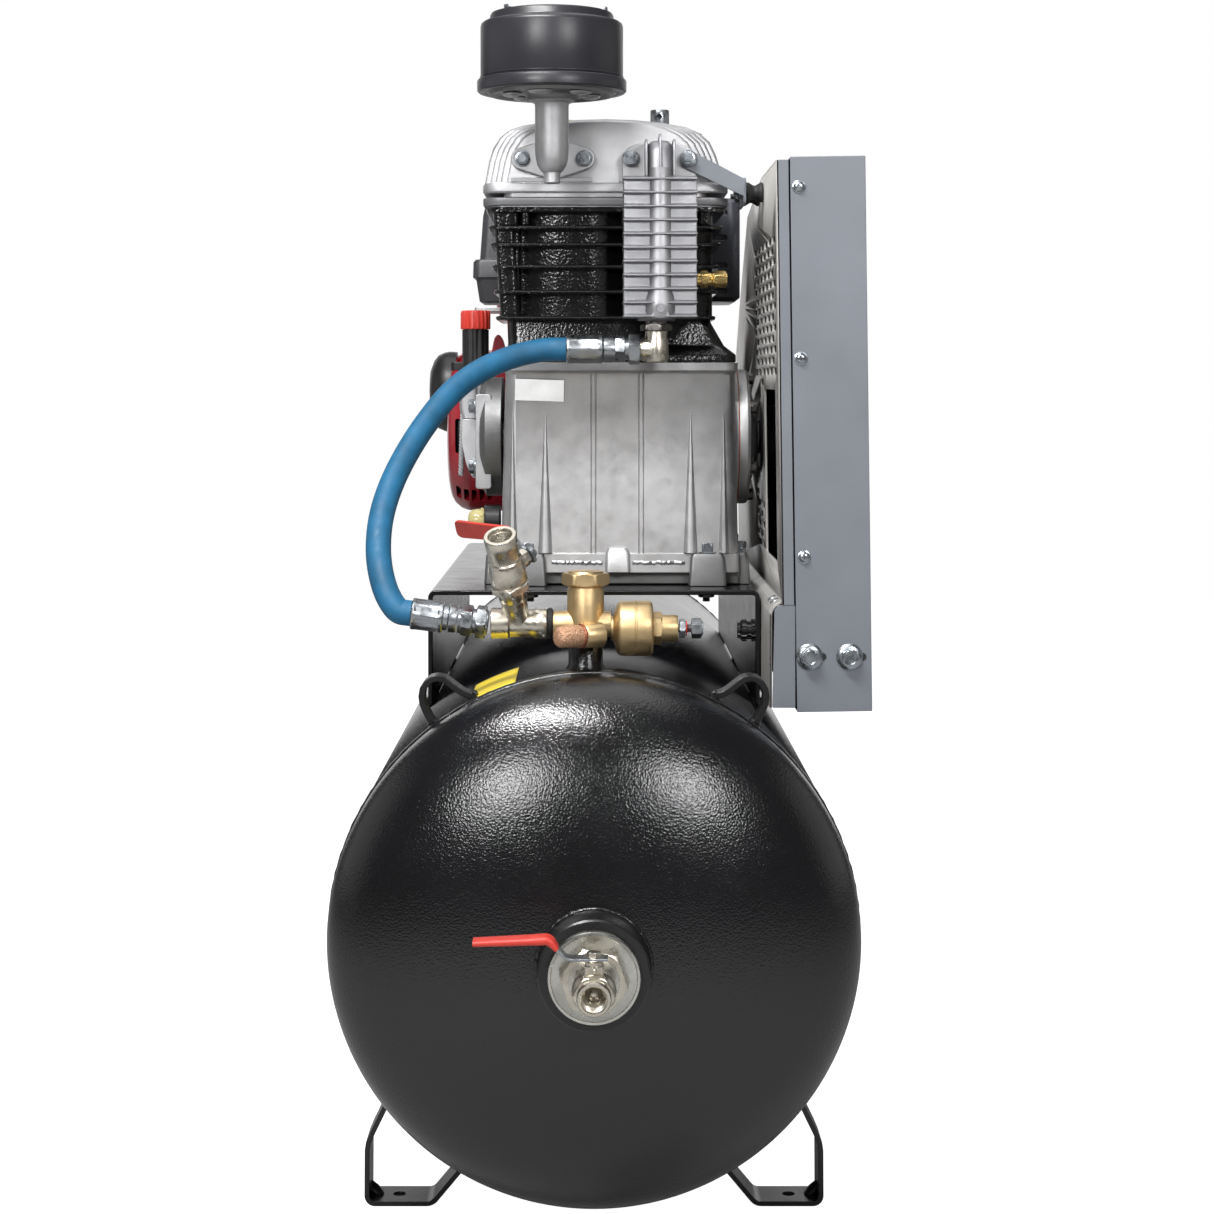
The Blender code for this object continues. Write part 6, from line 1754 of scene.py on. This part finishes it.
def build_belts():
    """Three V-belts side by side."""
    for i, x in enumerate(BELTS):
        loops = []
        for extra, half in ((0.0002, 0.0042), (0.0082, 0.0064), (0.0086, 0.0058), (0.0086, -0.0058),
                            (0.0082, -0.0064), (0.0002, -0.0042)):
            loops.append([(x + half, a, b) for a, b in band_line(extra)])
        piece(f"belt_{i}", skin(loops, closed=True), "rubber", smooth=30,
              stands_for="drive_belts" if x == BELT_X else None)


def build_flywheel():
    """A rim with three grooves on a web with five windows."""
    rim = [(0.0178, 0.183), (0.033, 0.183), (0.0345, 0.1845), (0.0345, 0.222), (0.188, 0.222), (0.19, 0.22),
           (0.19, 0.2), (0.191, 0.199), (0.209, 0.199), (0.21, 0.2)]
    rim += [*grooves(0.21, 0.205), (0.21, 0.256), (0.209, 0.257), (0.191, 0.257), (0.19, 0.256),
            (0.19, 0.234), (0.188, 0.232), (0.0345, 0.232), (0.0345, 0.248), (0.0178, 0.248)]
    wheel = piece("fan_wheel", turned(rim, 144, TO_X), "cast_iron", "crank", at=SHAFT, smooth=35,
                  stands_for="flywheel")
    windows = []
    for i in range(5):
        turn = tau * i / 5
        fan = [(0.058 * cos(a), 0.058 * sin(a)) for a in [turn - 0.34 + 0.68 * k / 8 for k in range(9)]]
        fan += [(0.168 * cos(a), 0.168 * sin(a)) for a in [turn + 0.47 - 0.94 * k / 12 for k in range(13)]]
        windows.append(sideways(eased(fan, 0.01, 4), 0.2, 0.26))
    carve(wheel, joined(*windows))
    soften(wheel, 0.001, 2, 50)


def build_engine_pulley():
    """The small grooved pulley on the engine's shaft."""
    sheave = [(0, 0.2), (0.069, 0.2), (0.07, 0.201), *grooves(0.07, 0.0652), (0.07, 0.255), (0.069, 0.256),
              (0.056, 0.256), (0.054, 0.25), (0.03, 0.25), (0.029, 0.256), (0.0125, 0.256), (0.0125, 0.252),
              (0, 0.252)]
    piece("motor_sheave", joined(turned(sheave, 96, TO_X), rod(0.0125, 0.119, 0.201, 48, TO_X)), "cast_iron",
          "motor_pulley", at=ENGINE, smooth=35, stands_for="engine_pulley")


build_guard_panel()
build_guard_fasteners()
build_stay()
build_belts()
build_flywheel()
build_engine_pulley()


# ---- engine --------------------------------------------------------------------------------------
def ring_slots(radius, specs):
    """Cutters through a drum about X: each is (angle, x, length along X, length round the drum)."""
    boxes = []
    for angle, x, long, tall in specs:
        slot = rounded(-long / 2, long / 2, -tall / 2, tall / 2, min(long, tall) * 0.45, 5)
        place = Matrix.Rotation(radians(angle), 4, "X") @ Matrix.Translation((x, 0, radius))
        boxes.append(pose(prism(slot, -0.014, 0.014), turn=place))
    return joined(*boxes)


def build_recoil_starter():
    """The slotted drum on the engine's left, its screen and its cap."""
    drum = [(0.088, 0.086), (0.0985, 0.0853), (0.1, 0.0865), (0.1, 0.149), (0.099, 0.156), (0.096, 0.164),
            (0.09, 0.1712), (0.082, 0.176), (0.07, 0.1785), (0.064, 0.1785), (0.064, 0.175), (0.08, 0.1725),
            (0.088, 0.166), (0.088, 0.11)]
    shroud = piece("recoil_shroud", turned(drum, 144, TO_MINUS_X), "red_coat", at=ENGINE, smooth=40,
                   stands_for="recoil_starter")
    specs = [(42, -0.16, 0.007, 0.024)]
    for lead in (0, 120, 240):
        specs.append((93 + lead, -0.164, 0.007, 0.042))
        specs += [(142 + lead, -0.165 + 0.0095 * column, 0.0062, 0.024) for column in range(5)]
    carve(shroud, ring_slots(0.096, specs))
    soften(shroud, 0.0006, 2, 50)
    inner = turned([(0, 0.087), (0.0865, 0.087), (0.0865, 0.164), (0.079, 0.1715), (0.064, 0.174),
                    (0, 0.174)], 96, TO_MINUS_X)
    piece("recoil_screen", inner, "black_plastic", at=ENGINE, smooth=40)
    cap = turned([(0, 0.17), (0.0495, 0.17), (0.05, 0.179), (0.049, 0.185), (0.0455, 0.193), (0.0385, 0.1985),
                  (0.027, 0.2028), (0, 0.2048)], 48, TO_MINUS_X)
    piece("recoil_cap", cap, "black_plastic", at=ENGINE + Vector((0, 0, 0.048)), smooth=60)


def build_starter_cord():
    """Three strands twisted round each other, down from the grip."""
    strands = []
    for phase in (0, tau / 3, 2 * tau / 3):
        line = []
        for i in range(121):
            t = i / 120
            angle = t * 60 + phase
            line.append((-0.156 + 0.0016 * cos(angle) - 0.004 * t,
                         0.612 + 0.0016 * sin(angle) + 0.01 * abs(t - 0.5), 0.825 - 0.115 * t))
        strands.append(swept(line, 0.0017, 10))
    piece("starter_cord", joined(*strands), "cord", smooth=70)
    grip = joined(rod(0.006, 0.825, 0.836, 32, edge=0.0015),
                  prism(rounded(-0.016, 0.016, -0.007, 0.007, 0.006, 6), 0.836, 0.846))
    piece("starter_grip", grip, "black_plastic", at=(-0.156, 0.6165, 0), bevel=0.001)


def build_shroud_details():
    """An ear and a scoop pressed in the starter's shroud."""
    ear = [(-0.13, 0.825), (-0.104, 0.825), (-0.104, 0.856), (-0.109, 0.874), (-0.114, 0.88), (-0.119, 0.876),
           (-0.123, 0.856)]
    piece("shroud_ear", frontal(eased(ear, 0.004, 4), 0.605, 0.619), "red_coat", bevel=0.0014)
    scoop = pose(gusset((0, 0, 0), UP, 0.015, 0.01, 0.01), (-0.13, ENGINE.y - 0.086, 0.708))
    piece("shroud_scoop", scoop, "red_coat", smooth=60)


def build_engine_body():
    """Crankcase, the slanted finned cylinder and the two brackets on them."""
    low = 0.6553
    base = [(low, rounded(-0.085, 0.105, 0.6, 0.845, 0.01, 5)),
            (low + 0.012, rounded(-0.085, 0.105, 0.6, 0.845, 0.01, 5)),
            (low + 0.013, rounded(-0.078, 0.098, 0.607, 0.838, 0.014, 5)),
            (0.76, rounded(-0.082, 0.102, 0.604, 0.841, 0.03, 6)),
            (0.83, rounded(-0.078, 0.098, 0.612, 0.833, 0.034, 6)),
            (0.85, rounded(-0.064, 0.084, 0.63, 0.82, 0.03, 6))]
    hub = pose(turned([(0, 0.095), (0.08, 0.095), (0.08, 0.106), (0.06, 0.11), (0.04, 0.1175), (0.026, 0.118),
                       (0, 0.118)], 72, TO_X), tuple(ENGINE))
    piece("engine_crankcase", joined(loft(base), hub), "dark_aluminium", smooth=40, bevel=0.001,
          stands_for="engine_block")
    fins = []
    tilt = Matrix.Translation((0, 0.635, 0.81)) @ Matrix.Rotation(radians(-25), 4, "X")
    fins.append(pose(slab(-0.056, 0.066, -0.115, 0.1, -0.038, 0.038, 0.01), turn=tilt))
    for k in range(11):
        y = -0.108 + 0.012 * k
        plate = frontal(rounded(-0.069, 0.079, -0.051, 0.051, 0.012, 5), y, y + 0.0028)
        fins.append(pose(plate, turn=tilt))
    piece("engine_barrel", joined(*fins), "dark_aluminium", smooth=40)
    cowl = stacked(5, (0.848, -0.078, 0.088, 0.66, 0.845, 0.012),
                      (0.8995, -0.078, 0.088, 0.688, 0.843, 0.012))
    piece("tank_bracket", cowl, "black_plastic", bevel=0.0015)
    post = slab(-0.054, 0.079, 0.57, 0.65, 0.86, 0.915, 0.006)
    piece("cowl_bracket", post, "dark_aluminium", bevel=0.0012)
    for i, turn in enumerate(turns(8)):
        place = ENGINE + on_face(0.1072, 0.07, turn + 0.2)
        bolt(f"engine_cover_bolt_{i}", 0.01, 0.005, place, TO_X, 0.0068)


def build_fuel_tank():
    """The tank, its knurled cap and the filler's neck."""
    low = 0.9003
    rings = [(low, 0.01, 0.032), (low + 0.004, 0.0045, 0.034), (low + 0.016, 0.001, 0.036),
             (0.956, 0.0, 0.037), (0.9568, -0.0035, 0.038), (0.96, -0.0035, 0.038), (0.9608, 0.0, 0.037),
             (1.004, 0.0015, 0.036), (1.022, 0.006, 0.034), (1.032, 0.013, 0.032), (1.037, 0.022, 0.03),
             (1.038, 0.03, 0.028)]
    tank = stacked(8, *[(z, -0.122 + inset, 0.101 - inset, 0.679 + inset, 0.901 - inset, radius)
                        for z, inset, radius in rings])
    piece("petrol_tank", tank, "red_coat", smooth=60, stands_for="fuel_tank")
    cap = knurled([0.0283 + 0.0007 * (1 if cos(24 * t) > 0.2 else 0) for t in turns(144)],
                  ((1.0383, 0.96), (1.0395, 1.0), (1.05, 1.0), (1.0535, 0.95), (1.0555, 0.84)))
    grip = prism(rounded(-0.02, 0.02, -0.004, 0.004, 0.0038, 5), 1.053, 1.056)
    piece("petrol_cap", joined(cap, grip), "black_plastic", "tank_cap", at=(-0.04, 0.77, 0), smooth=35,
          stands_for="fuel_cap")
    piece("petrol_neck", tube(0.0335, 0.025, 1.0365, 1.0385, 72, edge=0.0006), "zinc", at=(-0.04, 0.77, 0))


def build_air_cleaner():
    """The cleaner's case, its knob and the plate it stands on."""
    cleaner = stacked(6, (0.9155, -0.133, -0.02, 0.521, 0.655, 0.01),
                         (0.9425, -0.137, -0.017, 0.517, 0.659, 0.01),
                         (0.943, -0.1405, -0.015, 0.515, 0.66, 0.01),
                         (0.961, -0.14, -0.015, 0.5155, 0.66, 0.01),
                         (0.964, -0.1375, -0.016, 0.517, 0.659, 0.01),
                         (0.9645, -0.1325, -0.018, 0.5185, 0.657, 0.01),
                         (1.015, -0.129, -0.02, 0.5215, 0.654, 0.01),
                         (1.03, -0.126, -0.023, 0.524, 0.651, 0.012),
                         (1.035, -0.12, -0.029, 0.53, 0.645, 0.012))
    piece("cleaner_case", cleaner, "charcoal_plastic", smooth=40, bevel=0.001, stands_for="air_cleaner")
    knob = turned([(0, 1.034), (0.012, 1.034), (0.012, 1.0375), (0.01, 1.039), (0, 1.039)], 24)
    piece("cleaner_knob", pose(knob, (-0.072, 0.59, 0)), "black_plastic", smooth=40)
    carrier = slab(-0.1385, -0.105, 0.52, 0.62, 0.904, 0.9085, 0.004)
    piece("cleaner_plate", carrier, "head_aluminium", bevel=0.0006)


def build_muffler():
    """A box guard with rows of slots, and the outlet behind it."""
    box = stacked(6, (0.9155, 0.006, 0.164, 0.521, 0.659, 0.012),
                     (0.92, 0.001, 0.1695, 0.5155, 0.6645, 0.014),
                     (1.03, 0.001, 0.1695, 0.5155, 0.6645, 0.014),
                     (1.035, 0.006, 0.164, 0.521, 0.659, 0.012))
    guard = piece("muffler_guard", box, "gunmetal_coat", smooth=50, stands_for="muffler")
    cutters = []
    for z in (0.927, 0.957, 0.989, 1.018):
        for x0, x1 in ((0.018, 0.056), (0.066, 0.104), (0.114, 0.154)):
            slot = rounded(x0, x1, z - 0.003, z + 0.003, 0.0028, 5)
            cutters += [frontal(slot, 0.51, 0.52), frontal(slot, 0.66, 0.67)]
        for y0, y1 in ((0.536, 0.58), (0.598, 0.642)):
            cutters.append(sideways(rounded(y0, y1, z - 0.003, z + 0.003, 0.0028, 5), 0.165, 0.175))
    carve(guard, joined(*cutters))
    soften(guard, 0.0006, 2, 50)
    piece("exhaust_outlet", tube(0.015, 0.012, 0.0, 0.012, 48, TO_Y), "dark_steel", at=(0.135, 0.664, 0.95),
          smooth=40)


def build_throttle():
    """The lever on the engine's side and its knob."""
    pivot = Vector((0, 0.605, 0.862))
    arm = [(-0.007, -0.006), (0.007, -0.006), (0.0055, 0.036), (0.003, 0.04), (-0.003, 0.04),
           (-0.0055, 0.036)]
    lever = joined(rod(0.005, 0.0703, 0.099, 32, TO_MINUS_X), hex_body(0.011, 0.099, 0.103, TO_MINUS_X),
                   sideways(eased(arm, 0.003, 4), -0.098, -0.0955))
    piece("throttle_arm", lever, "zinc", "throttle", at=pivot, smooth=35, bevel=0.0004,
          stands_for="throttle_lever")
    knob = turned([(0, -0.01), (0.0055, -0.0095), (0.0065, -0.006), (0.006, 0.0), (0.0045, 0.001),
                   (0, 0.001)], 32, TO_MINUS_X)
    piece("throttle_knob", pose(knob, (-0.0967, 0, 0.035)), "black_plastic", "throttle", at=pivot, smooth=50)


# ---- platform ------------------------------------------------------------------------------------
PLATE_HALF = 0.173
PLATE_THICK = 0.005
PLATE_FOOT = node_box("platform")[0].z + 0.0002


def build_platform():
    """A sheet bent down at both sides, with three slots in the middle."""
    bend = arc(PLATE_HALF - 0.008, PLATE_TOP - 0.008, 0.008, 0, 90, 10)
    inside = arc(PLATE_HALF - 0.008, PLATE_TOP - 0.008, 0.003, 90, 0, 6)
    right = [(PLATE_HALF, PLATE_FOOT), *bend]
    inner = [(-PLATE_HALF + PLATE_THICK, PLATE_FOOT), *mirrored(inside), *inside,
             (PLATE_HALF - PLATE_THICK, PLATE_FOOT)]
    channel = frontal(right + mirrored(right) + inner, 0.24, 0.965)
    made = piece("engine_plate", channel, "gloss_black", bevel=0.001, stands_for="platform")
    slots = joined(*[slab(x - 0.02, x + 0.02, 0.515, 0.54, PLATE_TOP - 0.02, PLATE_TOP + 0.02, 0.01)
                     for x in (-0.1, 0.0, 0.1)])
    carve(made, slots)
    soften(made, 0.001, 2, 40)


def build_engine_rails():
    """Two rails under the engine, with its bolts."""
    for i, x in enumerate((-0.078, 0.072)):
        rail = [(x, PLATE_TOP + 0.0002), (x + 0.034, PLATE_TOP + 0.0002), (x + 0.034, 0.655), (x, 0.655)]
        bar = frontal(eased(rail, 0.003, 3), 0.59, 0.86)
        made = piece(f"engine_rail_{i}", bar, "black_coat", bevel=0.0008)
        carve(made, frontal([(x + 0.003, PLATE_TOP + 0.003), (x + 0.031, PLATE_TOP + 0.003),
                             (x + 0.031, 0.652), (x + 0.003, 0.652)], 0.58, 0.87))
        for k, y in enumerate((0.618, 0.828)):
            bolt(f"engine_bolt_{i}_{k}", 0.016, 0.008, (x + 0.017, y, 0.669), UP, 0.0115)


def build_platform_fittings():
    """Nuts under the platform, and a round gland inside its right flange."""
    for i, (x, y) in enumerate(((0.12, 0.303), (-0.068, 0.303), (-0.104, 0.457), (0.154, 0.457))):
        under = joined(hex_body(0.015, 0.0015, 0.0075), coil_thread(0.004, 0.0, 0.012, 0.0012, 0.0004),
                       tube(0.0098, 0.004, 0.0, 0.0015, 40, edge=0.0003))
        flip = Matrix.Rotation(pi, 4, "X")
        piece(f"plate_nut_{i}", pose(under, (x, y, PLATE_TOP - 0.0052), flip), "dark_steel", smooth=30)
    knob = knurled([1.0 if cos(12 * t) > 0 else 0.9 for t in turns(96)],
                   ((0.0, 0.0115), (0.003, 0.0118), (0.0032, 0.0095), (0.008, 0.0095), (0.0082, 0.0118),
                    (0.013, 0.0118), (0.015, 0.0085), (0.0175, 0.0085)))
    piece("platform_gland", pose(knob, (PLATE_HALF - PLATE_THICK - 0.0002, 0.255, 0.562), TO_MINUS_X),
          "black_plastic", smooth=40)


def build_platform_welds():
    """Three short beads down each side."""
    welds = []
    for side in (-1, 1):
        for start in (0.25, 0.56, 0.86):
            run = [(side * (PLATE_HALF - 0.001), start + 0.09 * i / 40, PLATE_FOOT + 0.001)
                   for i in range(41)]
            welds.append(weld_run(run, seed=int(start * 100)))
    piece("platform_welds", joined(*welds), "black_coat", smooth=70)


def build_drain():
    """The tap under the receiver's middle."""
    at = (0, TANK_LENGTH / 2, TANK_Z - TANK_R)
    body = joined(turned([(0, 0.0015), (0.013, 0.0015), (0.012, -0.001), (0, -0.001)], 48),
                  hex_body(0.018, -0.008, -0.0008), rod(0.007, -0.0155, -0.0075, 40),
                  hex_body(0.02, -0.0235, -0.015, spin=0.2))
    piece("drain_tap", body, "turned_brass", "drain", at=at, smooth=32, stands_for="drain_valve")


build_recoil_starter()
build_starter_cord()
build_shroud_details()
build_engine_body()
build_fuel_tank()
build_air_cleaner()
build_muffler()
build_throttle()
build_platform()
build_engine_rails()
build_platform_fittings()
build_platform_welds()
build_drain()


# ---- camera, lights and floor --------------------------------------------------------------------
EYE_Y = -2.198
EYE_Z = 0.821
EYE_PITCH = 1.0
LENS = 69.5
SHIFT_X = 0.0107
SHIFT_Y = -0.1508
ROOM_LEVEL = 0.125      # the white surround as the surfaces see it; the camera sees it at 1
FLOOR_HALF = 6.0
FLOOR_GREY = (0.42, 0.42, 0.42)


def look_at(made, target):
    """Turn a lamp's face towards a point."""
    made.rotation_euler = (Vector(target) - made.location).to_track_quat("-Z", "Y").to_euler()


def place_camera():
    """A long lens in front of the machine, a little above its middle."""
    data = bpy.data.cameras.new("camera")
    data.lens = LENS
    data.sensor_width = 36.0
    data.shift_x = SHIFT_X
    data.shift_y = SHIFT_Y
    camera = bpy.data.objects.new("camera", data)
    bpy.context.scene.collection.objects.link(camera)
    camera.location = (MIDDLE_X, SEAM_Y + EYE_Y, EYE_Z)
    camera.rotation_euler = (radians(90 - EYE_PITCH), 0, 0)
    bpy.context.scene.camera = camera


def soft_box(name, place, target, width, height, power):
    """A rectangular lamp turned towards a point."""
    data = bpy.data.lights.new(name, "AREA")
    data.shape = "RECTANGLE"
    data.size = width
    data.size_y = height
    data.energy = power
    lamp = bpy.data.objects.new(name, data)
    bpy.context.scene.collection.objects.link(lamp)
    lamp.location = HOME @ Vector(place)
    look_at(lamp, HOME @ Vector(target))


def light_the_studio():
    """Two soft boxes above the camera, an overhead bank, side fill and a white surround."""
    soft_box("key_left", (-1.02, -2.15, 1.72), (0, 0, 0.55), 0.8, 0.62, 33)
    soft_box("key_right", (1.1, -2.15, 1.72), (0, 0, 0.55), 0.72, 0.62, 27)
    soft_box("crown_light", (-0.6, -0.9, 2.6), (0, 0, 0.5), 1.2, 0.2, 62)
    soft_box("overhead", (0.0, 0.6, 2.9), (0, 0.4, 0.5), 2.0, 2.4, 24)
    soft_box("left_wall", (-2.6, 0.6, 1.1), (0, 0.4, 0.6), 2.2, 1.6, 4.5)
    soft_box("right_wall", (2.6, 0.6, 1.1), (0, 0.4, 0.6), 2.2, 1.6, 4.5)
    soft_box("rear", (0.0, 3.6, 1.3), (0, 0.8, 1.0), 4.6, 2.4, 30)
    world = bpy.data.worlds.new("studio_world")
    world.use_nodes = True
    nodes, links = world.node_tree.nodes, world.node_tree.links
    backdrop = nodes["Background"]
    backdrop.inputs["Color"].default_value = (1.0, 1.0, 1.0, 1.0)
    seen = nodes.new("ShaderNodeLightPath").outputs["Is Camera Ray"]
    level = nodes.new("ShaderNodeMapRange")
    level.inputs["To Min"].default_value = ROOM_LEVEL
    level.inputs["To Max"].default_value = 1.0
    links.new(seen, level.inputs["Value"])
    links.new(level.outputs["Result"], backdrop.inputs["Strength"])
    bpy.context.scene.world = world
    bpy.context.scene.view_settings.view_transform = "Standard"


def lay_floor():
    """White paper to the camera, grey to the surfaces above it."""
    mesh = bpy.data.meshes.new("floor")
    half = FLOOR_HALF
    corners = [(-half, -half, 0), (half, -half, 0), (half, half, 0), (-half, half, 0)]
    mesh.from_pydata(corners, [], [(0, 1, 2, 3)])
    floor = bpy.data.objects.new("floor", mesh)
    bpy.context.scene.collection.objects.link(floor)
    paper = Shader("floor_paper", FLOOR_GREY, 0.85)
    paper.shader.inputs["Emission Color"].default_value = (1.0, 1.0, 1.0, 1.0)
    paper.link(paper.node("ShaderNodeLightPath").outputs["Is Camera Ray"],
               paper.shader.inputs["Emission Strength"])
    paper.rough(paper.noise(2.0, 2.0), 0.3, 0.7, 0.8, 0.9)
    mesh.materials.append(paper.material)
    floor.location = (0, 0, -0.0004)


finish_cad_pieces()
place_camera()
light_the_studio()
lay_floor()
